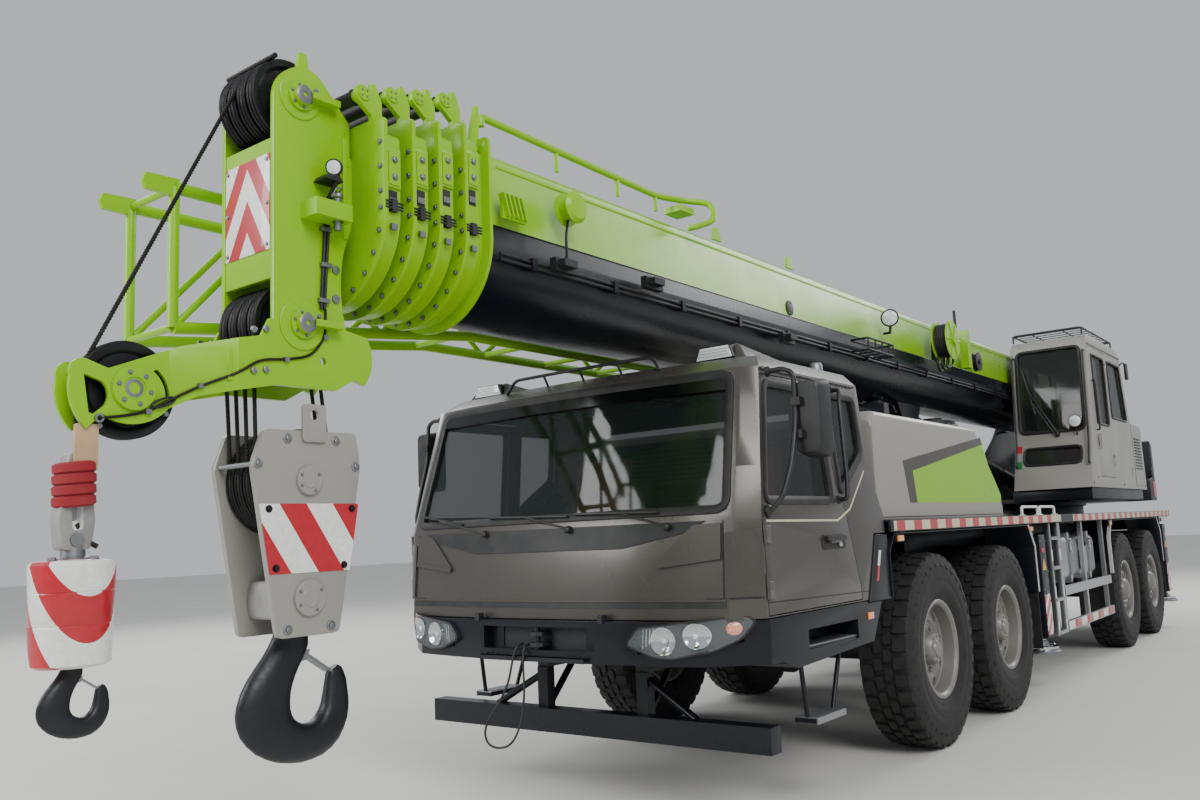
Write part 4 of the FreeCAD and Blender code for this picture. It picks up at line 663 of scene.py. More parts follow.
wheelSize = {"radius": 0.672, "treadBase": 0.652, "y": 1.1685, "pitches": 36}
tyreHalf = [(0.1, 0.655), (0.156, 0.651), (0.172, 0.64), (0.181, 0.612), (0.188, 0.57), (0.1915, 0.52),
            (0.1915, 0.478), (0.1895, 0.474), (0.1895, 0.47), (0.1905, 0.466), (0.187, 0.43), (0.18, 0.392),
            (0.1765, 0.388), (0.1765, 0.38), (0.172, 0.374), (0.162, 0.344), (0.154, 0.336), (0.15, 0.3225)]
rimOuter = {
    "front": [(0.058, 0.285), (0.066, 0.262), (0.076, 0.225), (0.072, 0.196), (0.058, 0.182), (0.058, 0.122),
              (0.082, 0.113), (0.118, 0.106), (0.128, 0.098), (0.13, 0.062), (0.142, 0.054), (0.144, 0.0)],
    "rear": [(0.062, 0.286), (0.092, 0.262), (0.122, 0.226), (0.13, 0.196), (0.13, 0.15), (0.114, 0.141),
             (0.118, 0.132), (0.142, 0.124), (0.168, 0.104), (0.186, 0.07), (0.193, 0.03), (0.195, 0.0)]}
boltPlace = {"front": (0.058, 0.15), "rear": (0.13, 0.172)}
origin = (-axleOne, 0.0, 0.0)


def ringPoint(arc, y, radius):
    angle = arc / wheelSize["radius"]
    return Vector((radius * math.sin(angle), y, radius * math.cos(angle)))


def addLug(form, outline, low, high, taper=0.88, drop=0.0):
    # tread block: outline of (arc length, y) from radius low to radius high, its top a little smaller
    mid = [sum(p[i] for p in outline) / len(outline) for i in (0, 1)]
    base = [form.verts.new(ringPoint(s, y, low)) for s, y in outline]
    top = []
    for s, y in outline:
        height = high - drop * max(0.0, abs(y) - 0.13) / 0.04
        top.append(form.verts.new(ringPoint(mid[0] + (s - mid[0]) * taper, mid[1] + (y - mid[1]) * taper,
                                            height)))
    form.faces.new(top)
    for k in range(len(outline)):
        form.faces.new((base[k], base[(k + 1) % len(outline)], top[(k + 1) % len(outline)], top[k]))


def treadMesh():
    unit = bmesh.new()
    pitch = 2 * math.pi * wheelSize["radius"] / wheelSize["pitches"]
    low, high = wheelSize["treadBase"] - 0.002, wheelSize["radius"]
    for side in (1, -1):
        shift = 0.0 if side > 0 else pitch / 2
        middle = [(-0.046, 0.008), (0.034, 0.004), (0.047, 0.03), (0.04, 0.06), (-0.036, 0.066),
                  (-0.05, 0.036)]
        outer = [(-0.04, 0.074), (0.043, 0.068), (0.046, 0.12), (0.04, 0.168), (-0.042, 0.17), (-0.045, 0.12)]
        addLug(unit, [(s + shift, side * y) for s, y in middle], low, high)
        addLug(unit, [(s + shift + pitch * 0.35, side * y) for s, y in outer], low - 0.006, high, 0.9, 0.01)
        # the lug's foot on the shoulder
        foot = [ringPoint(s + shift + pitch * 0.35, side * y, r)
                for s, y, r in ((-0.038, 0.163, 0.656), (0.038, 0.163, 0.656), (0.028, 0.193, 0.575),
                                (-0.028, 0.193, 0.575), (-0.036, 0.15, 0.64), (0.036, 0.15, 0.64),
                                (0.026, 0.178, 0.57), (-0.026, 0.178, 0.57))]
        addFaces(unit, foot, [(0, 1, 2, 3), (4, 5, 1, 0), (5, 6, 2, 1), (6, 7, 3, 2), (7, 4, 0, 3),
                              (7, 6, 5, 4)])
    return repeatMesh(unit, "roadRubber", wheelSize["pitches"], turn=(0.0, 2 * math.pi / wheelSize["pitches"],
                                                                      0.0))


def buildWheel(kind, tread):
    form = bmesh.new()
    casing = tyreHalf[::-1] + [(-s, r) for s, r in tyreHalf]
    addLathe(form, origin, "y", casing, 72, 0, "loop")
    addMesh(form, tread)
    flange = [(0.15, 0.3215), (0.155, 0.338), (0.162, 0.342), (0.167, 0.336), (0.162, 0.318), (0.146, 0.304),
              (0.1, 0.297), (0.066, 0.294)]
    outer = rimOuter[kind]
    back = [(s - 0.014, r) for s, r in outer[::-1]] + [(0.03, 0.29), (-0.146, 0.304), (-0.162, 0.318),
                                                       (-0.167, 0.336), (-0.162, 0.342), (-0.155, 0.338),
                                                       (-0.15, 0.3215)]
    rim = bmesh.new()
    addLathe(rim, origin, "y", flange + outer + back, 64, 0, "loop")
    holes = bmesh.new()
    count = 8 if kind == "front" else 10
    for k in range(count):
        turn = 2 * math.pi * (k + 0.5) / count
        spot = (math.sin(turn) * 0.238 - axleOne, 0.02, math.cos(turn) * 0.238)
        addLathe(holes, spot, "y", [(0.0, 0.027), (0.16, 0.027)], 16)
    rim = carve(rim, holes)
    rimMesh = bpy.data.meshes.new("rim")
    rim.to_mesh(rimMesh)
    rim.free()
    addMesh(form, rimMesh, 1)
    face, circle = boltPlace[kind]
    bolt = bmesh.new()
    hexBolt(bolt, (-axleOne, face, circle), "y", 0.017)
    addMesh(form, repeatMesh(bolt, "rimSteel", 10, turn=(0.0, math.pi / 5, 0.0)), 1)
    cap = bmesh.new()
    hexBolt(cap, (-axleOne, 0.128 if kind == "front" else 0.142, 0.086), "y", 0.008)
    addMesh(form, repeatMesh(cap, "rimSteel", 8, turn=(0.0, math.pi / 4, 0.0)), 1)
    # valve stem
    addBar(form, [(-axleOne + 0.07, 0.09, 0.262), (-axleOne + 0.075, 0.15, 0.255)], 0.005, 8, 2)
    mesh = bpy.data.meshes.new("wheelForm")
    form.to_mesh(mesh)
    form.free()
    return mesh


def placeWheels():
    tread = treadMesh()
    for kind, axles in (("front", ((1, 0.0), (2, -1.596))), ("rear", ((3, -6.312), (4, -7.922)))):
        wheelMesh = buildWheel(kind, tread)
        for number, x in axles:
            for side, word in ((1, "left"), (-1, "right")):
                form = bmesh.new()
                form.from_mesh(wheelMesh)
                turn = Matrix.Rotation(0.37 * number + side, 4, "Y")
                flip = Matrix.Diagonal((1.0, side, 1.0, 1.0))
                place = Matrix.Translation(at(x, side * wheelSize["y"], wheelSize["radius"]))
                form.transform(place @ flip @ turn)
                if side < 0:
                    bmesh.ops.reverse_faces(form, faces=form.faces)
                name = "wheel_%d_%s" % (number, word)
                makePiece(name + "-tyre_and_rim", form, ("roadRubber", "rimSteel", "blackRubber"), name, name)


placeWheels()
print("wheels ready")

# ---- driver's cab: forms drawn flat and laid on the cab's skin

cabRows = ((1.1, 1.35, 2.5, 2.64, 1.2, 2.74), (1.62, 1.35, 2.5, 2.59, 1.235, 2.69),
           (1.9, 1.325, 2.43, 2.508, 1.22, 2.606), (2.46, 1.275, 2.29, 2.345, 1.19, 2.44),
           (2.54, 1.205, 2.17, 2.215, 1.12, 2.29))


def cabRow(z):
    z = min(max(z, cabRows[0][0]), cabRows[-1][0])
    for low, high in zip(cabRows, cabRows[1:]):
        if z <= high[0]:
            share = (z - low[0]) / (high[0] - low[0])
            return [a + (b - a) * share for a, b in zip(low, high)]


def skinSpot(face, u, v):
    # front: u is y; left and right: u is x; bumper: the bumper's own skin
    if face == "bumper":
        if abs(u) <= 1.06:
            return Vector((2.7 + 0.1 * (1 - (u / 1.06) ** 2), u, v))
        return Vector((2.7 - 0.22 * (abs(u) - 1.06) / 0.288, u, v))
    half, sideFront, cornerX, cornerY, noseX = cabRow(v)[1:]
    if face == "front":
        if abs(u) <= cornerY:
            return Vector((cornerX + (noseX - cornerX) * (1 - (u / cornerY) ** 2), u, v))
        return Vector((cornerX + (sideFront - cornerX) * (abs(u) - cornerY) / (half - cornerY), u, v))
    side = 1.0 if face == "left" else -1.0
    if u <= sideFront:
        return Vector((u, side * half, v))
    return Vector((u, side * (half + (cornerY - half) * (u - sideFront) / (cornerX - sideFront)), v))


def wrapTo(form, face, step=0.11):
    # bends a flat form (u, v, height) onto the skin, cut finely enough to follow it
    lines = [("v", row[0]) for row in cabRows]
    if face in ("front", "bumper"):
        lines += [("u", -1.32 + step * k) for k in range(int(2.64 / step) + 1)]
    for letter, place in lines:
        point = Vector((place + axleOne, 0, 0)) if letter == "u" else Vector((0, place, 0))
        normal = Vector((1, 0, 0)) if letter == "u" else Vector((0, 1, 0))
        bmesh.ops.bisect_plane(form, geom=form.verts[:] + form.edges[:] + form.faces[:], dist=1e-6,
                               plane_co=point, plane_no=normal)
    away = Vector((1, 0, 0)) if face in ("front", "bumper") else Vector((0, 1.0 if face == "left" else -1.0,
                                                                         0))
    for vert in form.verts:
        u, v, height = vert.co.x - axleOne, vert.co.y, vert.co.z
        spot = skinSpot(face, u, v)
        across = skinSpot(face, u + 0.002, v) - skinSpot(face, u - 0.002, v)
        upward = skinSpot(face, u, v + 0.002) - skinSpot(face, u, v - 0.002)
        normal = across.cross(upward).normalized()
        if normal.dot(away) < 0:
            normal = -normal
        vert.co = at(*spot) + normal * height
    return form


def absorb(form, source):
    mesh = bpy.data.meshes.new("part")
    bmesh.ops.recalc_face_normals(source, faces=source.faces)
    source.to_mesh(mesh)
    source.free()
    form.from_mesh(mesh)
    bpy.data.meshes.remove(mesh)


def bandLoop(loop, profile, index=0, closed=True):
    # profile (across, height) swept along a flat loop; across points away from the loop's middle
    form = bmesh.new()
    middle = sum((Vector((p[0], p[1], 0)) for p in loop), Vector()) / len(loop)
    rings = []
    for k, point in enumerate(loop):
        here = Vector((point[0], point[1], 0))
        before = Vector((*loop[k - 1][:2], 0)) if k or closed else here
        after = Vector((*loop[(k + 1) % len(loop)][:2], 0)) if k + 1 < len(loop) or closed else here
        tangent = (after - before).normalized()
        outward = Vector((tangent.y, -tangent.x, 0))
        if closed and outward.dot(here - middle) < 0:
            outward = -outward
        rings.append([form.verts.new(at(*(here + outward * across + Vector((0, 0, height)))))
                      for across, height in profile])
    pairs = list(zip(rings, rings[1:])) + ([(rings[-1], rings[0])] if closed else [])
    for ringA, ringB in pairs:
        for k in range(len(profile) - 1):
            form.faces.new((ringA[k], ringB[k], ringB[k + 1], ringA[k + 1])).material_index = index
    return form


def evenly(loop, spacing):
    made = []
    for a, b in zip(loop, loop[1:] + loop[:1]):
        count = max(1, int(math.dist(a, b) / spacing))
        made += [(a[0] + (b[0] - a[0]) * k / count, a[1] + (b[1] - a[1]) * k / count) for k in range(count)]
    return made


sealProfile = [(-0.03, -0.014), (-0.029, 0.003), (-0.016, 0.009), (0.006, 0.012), (0.018, 0.008),
               (0.02, -0.004)]
screenLine = [(-1.192, 1.668), (1.192, 1.668), (1.142, 2.432), (-1.142, 2.432)]
doorWindow = [(2.435, 1.705), (2.262, 2.375), (1.615, 2.375), (1.615, 1.705)]
quarterWindow = [(1.485, 1.75), (1.485, 2.375), (1.085, 2.375), (1.085, 2.01)]


def buildWindowSeals():
    form = absorbAll([(bandLoop(evenly(roundedOutline(screenLine, 0.075, 5), 0.11), sealProfile), "front"),
                      (bandLoop(roundedOutline(quarterWindow, 0.05), sealProfile), "left"),
                      (bandLoop(roundedOutline(quarterWindow, 0.05), sealProfile), "right")])
    makePiece("cab-window_seals", form, "blackRubber", "carrier")
    for side in ("left", "right"):
        form = absorbAll([(bandLoop(roundedOutline(doorWindow, 0.06, 5), sealProfile), side)])
        makePiece("door_%s-window_seal" % side, form, "blackRubber", "door_" + side)


def absorbAll(parts):
    form = bmesh.new()
    for part, face in parts:
        absorb(form, wrapTo(part, face) if face else part)
    return form


def flatPlate(outline, low, high, index=0):
    form = bmesh.new()
    addPrism(form, outline, "z", low, high, index)
    return form


def strip(a, b, width, height, index=0, low=-0.002):
    # straight band between two flat points
    way = (Vector(b) - Vector(a)).normalized()
    side = Vector((-way.y, way.x)) * width / 2
    outline = [tuple(Vector(a) - side), tuple(Vector(b) - side), tuple(Vector(b) + side),
               tuple(Vector(a) + side)]
    return flatPlate(outline, low, height, index)


def buildCabTrim():
    parts = []
    trim = [(-1.076, 1.615), (1.076, 1.615), (0.957, 1.557), (0.56, 1.483), (-0.557, 1.483), (-0.957, 1.557)]
    parts.append((flatPlate(trim, -0.002, 0.007), "front"))
    for s in (1, -1):
        # raised wing beside the trim and its lit lower bevel
        parts.append((flatPlate([(s * 0.93, 1.53), (s * 1.01, 1.597), (s * 1.165, 1.6), (s * 1.165, 1.44),
                                 (s * 0.793, 1.398)], -0.002, 0.013, 1), "front"))
        parts.append((flatPlate([(s * 0.8, 1.372), (s * 1.165, 1.412), (s * 1.165, 1.44), (s * 0.793, 1.398)],
                                -0.002, 0.018, 1), "front"))
        parts.append((strip((s * 1.176, 1.205), (s * 1.176, 1.612), 0.008, 0.0015, 2), "front"))
        # corner cap with a bright upper bevel
        parts.append((flatPlate([(s * 1.186, 1.215), (s * 1.33, 1.215), (s * 1.336, 1.5), (s * 1.3, 1.56),
                                 (s * 1.186, 1.545)], -0.002, 0.01, 1), "front"))
        parts.append((strip((s * 1.075, 1.207), (s * 1.345, 1.207), 0.008, 0.0015, 2), "front"))
    parts.append((strip((-1.19, 1.2), (1.19, 1.2), 0.01, 0.006, 1), "front"))
    # black band 3 cm wide just under the cab's lower lip: the dark seam between cab and bumper, widened into
    # painted shadow of the lip
    parts.append((strip((-1.19, 1.176), (1.19, 1.176), 0.03, 0.003), "front"))
    for side in ("left", "right"):
        parts.append((strip((1.577, 1.592), (1.386, 1.66), 0.012, 0.001, 3), side))
        parts.append((strip((1.386, 1.66), (1.09, 1.9), 0.012, 0.001, 3), side))
        # gutter along the roof's edge
        parts.append((strip((1.04, 2.448), (2.27, 2.448), 0.014, 0.016, 1), side))
    # black band across the top of the screen
    parts.append((flatPlate([(-1.15, 2.335), (1.15, 2.335), (1.142, 2.43), (-1.142, 2.43)], -0.012, 0.002, 4),
                  "front"))
    form = absorbAll(parts)
    makePiece("cab-trim", form, ("blackPlastic", "bronzeEnamel", "blackRubber", "creamTape", "screenPrint"),
              "carrier")
    for side in ("left", "right"):
        parts = [(strip((2.495, 1.602), (1.577, 1.592), 0.012, 0.001, 3), side),
                 (strip((2.482, 1.178), (1.06, 1.15), 0.007, 0.001, 2), side),
                 (flatPlate(roundedRectangle(1.5, 1.815, 1.425, 1.51, 0.03), -0.002, 0.004, 2), side),
                 (flatPlate(roundedRectangle(1.53, 1.785, 1.476, 1.504, 0.012), 0.004, 0.03), side),
                 (flatPlate(roundedRectangle(1.56, 1.6, 1.44, 1.468, 0.012), 0.004, 0.012, 4), side)]
        makePiece("door_%s-trim" % side, absorbAll(parts), ("blackPlastic", "bronzeEnamel", "blackRubber",
                                                            "creamTape", "chromedSteel"), "door_" + side,
                  bevel=0.003)


def frontSpot(y, z, lift=0.0):
    spot = skinSpot("front", y, z)
    return (spot.x + lift, spot.y, spot.z + lift * 0.3)


def sideSpot(x, z, lift, sign=1):
    spot = skinSpot("left", x, z)
    return (spot.x, sign * (spot.y + lift), spot.z)


def buildWipers():
    form = bmesh.new()
    for pivot, tip, bladeA, bladeB in (((-0.475, 1.6), (-0.93, 1.69), (-1.155, 1.733), (-0.7, 1.662)),
                                       ((0.203, 1.602), (-0.134, 1.68), (-0.46, 1.694), (0.19, 1.674)),
                                       ((0.861, 1.59), (0.56, 1.672), (0.24, 1.684), (0.8, 1.668))):
        addLathe(form, frontSpot(*pivot, 0.006), "x", [(0.0, 0.022), (0.03, 0.02), (0.04, 0.012),
                                                       (0.04, 0.0)], 14)
        arm = [frontSpot(*pivot, 0.035), frontSpot((pivot[0] + tip[0]) / 2, (pivot[1] + tip[1]) / 2, 0.045),
               frontSpot(*tip, 0.03)]
        addBar(form, arm, 0.006, 8)
        steps = 6
        blade = [(bladeA[0] + (bladeB[0] - bladeA[0]) * k / steps,
                  bladeA[1] + (bladeB[1] - bladeA[1]) * k / steps) for k in range(steps + 1)]
        addBar(form, [frontSpot(*p, 0.022) for p in blade], 0.008, 6)
        addBar(form, [frontSpot(*p, 0.006) for p in blade], 0.006, 4)
    makePiece("cab-wipers", form, "blackPlastic", "carrier")


def buildCabRoof():
    form = bmesh.new()
    # rail between the lamp pods
    rail = [frontSpot(-0.62, 2.52)] + [(2.262 + 0.035 * (1 - (y / 0.8) ** 2), y, 2.612)
                                       for y in (-0.56, -0.3, 0.0, 0.3, 0.56)] + [frontSpot(0.62, 2.52)]
    addBar(form, roundPath(rail, 0.04, 3), 0.011, 8)
    for y in (-0.3, 0.0, 0.3):
        addBar(form, [(2.262 + 0.035 * (1 - (y / 0.8) ** 2), y, 2.612), (2.245, y, 2.538)], 0.008, 8)
    for s in (1, -1):
        # grab tube at the quarter window
        grab = [sideSpot(1.395, 2.395, 0.004, s), sideSpot(1.395, 2.395, 0.055, s),
                sideSpot(1.44, 2.3, 0.062, s),
                sideSpot(1.505, 1.8, 0.062, s), sideSpot(1.525, 1.715, 0.055, s),
                sideSpot(1.525, 1.715, 0.004, s)]
        addBar(form, roundPath(grab), 0.014)
        for spot in (sideSpot(1.395, 2.395, 0.002, s), sideSpot(1.525, 1.715, 0.002, s)):
            addLathe(form, spot, "y", [(0.0, 0.026), (s * 0.008, 0.026), (s * 0.01, 0.02)], 16)
        # lamp behind the front of each pod
        addPrism(form, [(s * 0.8, 2.56), (s * 1.045, 2.56), (s * 1.02, 2.63), (s * 0.83, 2.63)], "x", 2.12,
                 2.1745, 1)
        for k in range(3):
            addBox(form, (2.15, s * 0.82, 2.578 + 0.017 * k), (2.178, s * 1.03, 2.582 + 0.017 * k), 2)
    makePiece("cab-roof_rail_and_pod_lamps", form, ("blackPlastic", "lampGlass", "chromedSteel"), "carrier",
              bevel=0.002)
    form = bmesh.new()
    # beacon on a stalk
    addLathe(form, (1.12, 1.06, 2.5405), "z", [(0.0, 0.06), (0.012, 0.06), (0.016, 0.05), (0.03, 0.048)], 28)
    addLathe(form, (1.12, 1.06, 2.5405), "z", [(0.03, 0.046), (0.075, 0.044), (0.09, 0.034), (0.095, 0.0)],
             28, 1)
    makePiece("cab-beacon", form, ("blackPlastic", "galvanisedSteel"), "carrier")


def buildPods():
    # lamp pods: bent sheet caps with a soft edge, narrower towards the roof's rear
    form = bmesh.new()
    for s in (1, -1):
        base = [(2.166, 0.712), (2.166, 1.128), (1.505, 1.118), (1.505, 0.722)]
        top = [(2.118, 0.792), (2.118, 1.058), (1.56, 1.05), (1.56, 0.8)]
        heights = (2.6435, 2.6435, 2.592, 2.592)
        points = [at(x, s * y, 2.5405) for x, y in base] + [at(p[0], s * p[1], h) for p,
                                                            h in zip(top, heights)]
        addFaces(form, points, [(3, 2, 1, 0), (4, 5, 6, 7), (0, 1, 5, 4), (1, 2, 6, 5), (2, 3, 7, 6),
                                (3, 0, 4, 7)])
        addPrism(form, [(s * 0.78, 2.552), (s * 1.062, 2.552), (s * 1.035, 2.637), (s * 0.812, 2.637)], "x",
                 2.1, 2.1702, 1)
    makePiece("cab-lamp_pods", form, ("bronzeEnamel", "blackPlastic"), "carrier", bevel=0.016, segments=3)


def buildMirrors():
    for side, s in (("left", 1), ("right", -1)):
        form = bmesh.new()
        path = [(2.43, 1.352, 1.65), (2.418, 1.372, 1.655), (2.4, 1.43, 1.72), (2.33, 1.46, 1.9),
                (2.25, 1.462, 2.15), (2.24, 1.46, 2.4), (2.25, 1.4, 2.43), (2.25, 1.305, 2.425)]
        addBar(form, [(x, s * y, z) for x, y, z in roundPath(path, 0.07, 5)], 0.014, 12)
        for spot, size in ((path[0], 0.034), (path[-1], 0.03)):
            addLathe(form, (spot[0], s * spot[1], spot[2]), "y", [(s * -0.002, size), (s * 0.012, size),
                                                                  (s * 0.02, size * 0.6)], 18)
        for z in (2.24, 2.06):
            addBox(form, (2.225, s * 1.445, z - 0.022), (2.268, s * 1.5, z + 0.022))
        # head: a deep rounded shell, its mirror to the rear
        shell = bmesh.new()
        outline = roundedRectangle(1.435, 1.605, 1.93, 2.37, 0.045)
        addPrism(shell, [(s * y, z) for y, z in outline], "x", 2.15, 2.185)
        for vert in list(shell.verts):
            if vert.co.x > axleOne + 2.18:
                vert.co.y += (s * 1.52 - vert.co.y) * 0.16
                vert.co.z += (2.15 - vert.co.z) * 0.1
                vert.co.x += 0.05
            else:
                vert.co.x -= 0.055
        softEdges(shell, 0.014, 3)
        absorb(form, shell)
        for z0, z1 in ((2.075, 2.35), (1.95, 2.055)):
            addPrism(form, [(s * y, z) for y, z in roundedRectangle(1.453, 1.587, z0, z1, 0.02, 3)], "x",
                     2.0925, 2.0955, 1)
        makePiece("mirror_%s-head_and_arm" % side, form, ("blackPlastic", "mirrorGlass"), "door_" + side,
                  replaced="mirror_" + side)


buildWindowSeals()
buildCabTrim()
buildWipers()
buildCabRoof()
buildPods()
buildMirrors()
softenNode("cab_shell", "carrier", "bronzeEnamel", 0.01, 3)
print("cab ready")

# ---- bumper, headlamps, steps and the carrier's nose

headlamp = {"bezel": [(0.636, 0.975), (0.712, 1.066), (1.262, 1.122), (1.292, 1.09), (1.232, 1.004),
                      (1.11, 0.944), (0.905, 0.904), (0.79, 0.914)], "bowls": ((0.862, 0.998, 0.066),
                                                                               (1.04, 1.024, 0.06)),
            "amber": (1.2, 1.056, 0.034)}


def mirrored(points, s):
    return [(s * p[0], *p[1:]) for p in points]


def buildHeadlamps():
    parts = []
    for s in (1, -1):
        outline = mirrored(headlamp["bezel"], s)
        rim = roundedOutline(outline, 0.03)
        # black tray, bright inner panel, bulging clear cover
        parts.append((flatPlate(rim, -0.004, 0.01), "bumper"))
        parts.append((bandLoop(rim, [(0.004, -0.003), (0.004, 0.024), (-0.004, 0.03), (-0.014, 0.026),
                                     (-0.014, 0.008)]), "bumper"))
        for u, v, size in headlamp["bowls"]:
            bowl = bmesh.new()
            addLathe(bowl, (s * u, v, 0.008), "z", [(0.003, 0.01), (0.005, size * 0.5), (0.012, size * 0.86),
                                                    (0.022, size), (0.024, size * 1.08), (0.003, size * 1.1)],
                     32, 1, "open")
            addLathe(bowl, (s * u, v, 0.008), "z", [(0.002, 0.014), (0.014, 0.014), (0.019, 0.008),
                                                    (0.02, 0.0)], 16, 2)
            parts.append((bowl, "bumper"))
        for k in range(5):
            u = 0.735 + 0.02 * k
            parts.append((strip((s * u, 0.955 + 0.012 * k), (s * (u + 0.01), 1.072), 0.006, 0.016, 1, 0.008),
                          "bumper"))
        u, v, size = headlamp["amber"]
        dome = bmesh.new()
        addLathe(dome, (s * u, v, 0.008), "z", [(0.0, size), (0.01, size), (0.018, size * 0.6), (0.02, 0.0)],
                 24, 3)
        parts.append((dome, "bumper"))
        middle = (sum(p[0] for p in rim) / len(rim), sum(p[1] for p in rim) / len(rim))
        cover = [(p[0] + (middle[0] - p[0]) * 0.03, p[1] + (middle[1] - p[1]) * 0.05) for p in rim]
        parts.append((flatPlate(cover, 0.0275, 0.0295, 4), "bumper"))
    form = absorbAll(parts)
    # tail lamp clusters: red, amber and clear fields in a black tray
    for s in (1, -1):
        addBox(form, (-9.494, s * 0.772, 1.372), (-9.461, s * 1.188, 1.508))
        for k, kind in enumerate((5, 3, 2, 5, 5)):
            low = 0.786 + 0.08 * k
            addBox(form, (-9.501, s * low, 1.384), (-9.49, s * (low + 0.072), 1.496), kind)
    makePiece("carrier-headlamps_and_tail_lamps", form, ("blackPlastic", "chromedSteel", "lampGlass",
                                                         "amberLens", "clearCover", "redLens"), "carrier",
              replaced="lamps")


def buildNoseFittings():
    form = bmesh.new()
    # recess: back panel, towing jaw with its pin, gridded step
    addBox(form, (2.7, -0.425, 0.925), (2.714, 0.425, 1.065))
    for z in (0.96, 1.02):
        addPrism(form, [(2.705, -0.055), (2.79, -0.05), (2.812, -0.02), (2.812, 0.02), (2.79, 0.05),
                        (2.705, 0.055)], "z", z - 0.011, z + 0.011)
    addLathe(form, (2.775, 0.0, 0.915), "z", [(0.0, 0.018), (0.15, 0.018), (0.152, 0.026), (0.166, 0.026)],
             18, 1)
    addBox(form, (2.69, -0.415, 0.893), (2.822, 0.372, 0.899), 1)
    addBox(form, (2.816, -0.415, 0.868), (2.822, 0.372, 0.899), 1)
    studs = bmesh.new()
    addLathe(studs, (2.715, -0.395, 0.899), "z", [(0.0, 0.011), (0.004, 0.008), (0.004, 0.005)], 10)
    row = repeatMesh(studs, "charcoalEnamel", 19, (0.0, 0.0415, 0.0))
    for k in range(3):
        addMesh(form, row, 1, Matrix.Translation((0.037 * k, 0.0, 0.0)))
    # hinged edge of the maintenance flap and its two catches
    for y in (-0.47, 0.47):
        addBox(form, (2.745, y - 0.016, 1.085), (2.79, y + 0.016, 1.13))
    makePiece("carrier-nose_fittings", form, ("blackIron", "charcoalEnamel"), "carrier")


def buildLead():
    # thin lead, hanging in a loop out of the recess and back into it
    lead = {"diameter": 0.013, "length": 1.515,
            "route": [(2.76, -0.125, 0.96), (2.812, -0.125, 0.956), (2.838, -0.135, 0.9),
                      (2.838, -0.19, 0.7), (2.834, -0.4, 0.48), (2.83, -0.36, 0.36),
                      (2.83, -0.16, 0.385), (2.832, -0.06, 0.62), (2.838, -0.062, 0.89),
                      (2.812, -0.07, 0.956), (2.76, -0.07, 0.96)]}
    curve = bpy.data.curves.new("carrier-lead", "CURVE")
    curve.dimensions = "3D"
    spline = curve.splines.new("NURBS")
    spline.points.add(len(lead["route"]) - 1)
    for point, place in zip(spline.points, lead["route"]):
        point.co = (*at(*place), 1.0)
    spline.order_u = 3
    spline.use_endpoint_u = True
    spline.resolution_u = 10
    curve.bevel_depth = lead["diameter"] / 2
    curve.bevel_resolution = 2
    curve.materials.append(finishes["blackRubber"])
    item = bpy.data.objects.new("carrier-lead", curve)
    bpy.context.scene.collection.objects.link(item)
    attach(item, "carrier")


def buildSteps():
    form = bmesh.new()
    for s in (1, -1):
        for low, high in (((1.408, 1.175, 0.9052), (2.042, 1.338, 0.9102)), ((1.604, 1.184, 0.5052),
                                                                             (1.956, 1.316, 0.5102))):
            addBox(form, (low[0], s * low[1], low[2]), (high[0], s * high[1], high[2]))
            bars = bmesh.new()
            width = high[1] - low[1] - 0.02
            addBox(bars, (low[0] + 0.012, s * (low[1] + high[1]) / 2 - width / 2, high[2] - 0.001),
                   (low[0] + 0.02, s * (low[1] + high[1]) / 2 + width / 2, high[2] + 0.003))
            count = int((high[0] - low[0]) / 0.024)
            addMesh(form, repeatMesh(bars, "treadPlate", count, (0.024, 0.0, 0.0)))
        # stiffened edge of the lower tread
        addBox(form, (1.598, s * 1.316, 0.476), (1.962, s * 1.324, 0.512))
    makePiece("carrier-step_plates", form, "treadPlate", "carrier")
    form = bmesh.new()
    for s in (1, -1):
        # amber marker on each sill, and the white over red reflector on the slanted panel
        addBox(form, (1.175, s * 1.346, 0.985), (1.255, s * 1.358, 1.025))
        addPrism(form, [(1.016, 1.3), (1.05, 1.3), (1.012, 1.395), (0.98, 1.395)], "y", s * 1.35, s * 1.3545,
                 1)
        addPrism(form, [(1.052, 1.205), (1.086, 1.205), (1.05, 1.3), (1.016, 1.3)], "y", s * 1.35, s * 1.3545,
                 2)
        addPrism(form, [(1.222, 1.085), (1.062, 1.495), (1.044, 1.495), (1.204, 1.085)], "y", s * 1.33,
                 s * 1.356, 3)
    makePiece("carrier-side_markers", form, ("amberLens", "whiteReflector", "redReflector", "charcoalEnamel"),
              "carrier", bevel=0.002)


buildHeadlamps()
buildNoseFittings()
buildLead()
buildSteps()
softenNode("bumper", "carrier", "navyEnamel", 0.01, 3)
softenNode("underrun_beam", "carrier", "navyEnamel", 0.012, 3)
print("nose ready")

# ---- carrier: deck edge, fenders, tanks, guards, outriggers, hood and running gear

def sideBox(form, s, x0, x1, y0, y1, z0, z1, index=0):
    addBox(form, (x0, s * y0, z0), (x1, s * y1, z1), index)


def sidePlate(form, s, outline, y0, y1, index=0):
    addPrism(form, outline, "y", s * y0, s * y1, index)


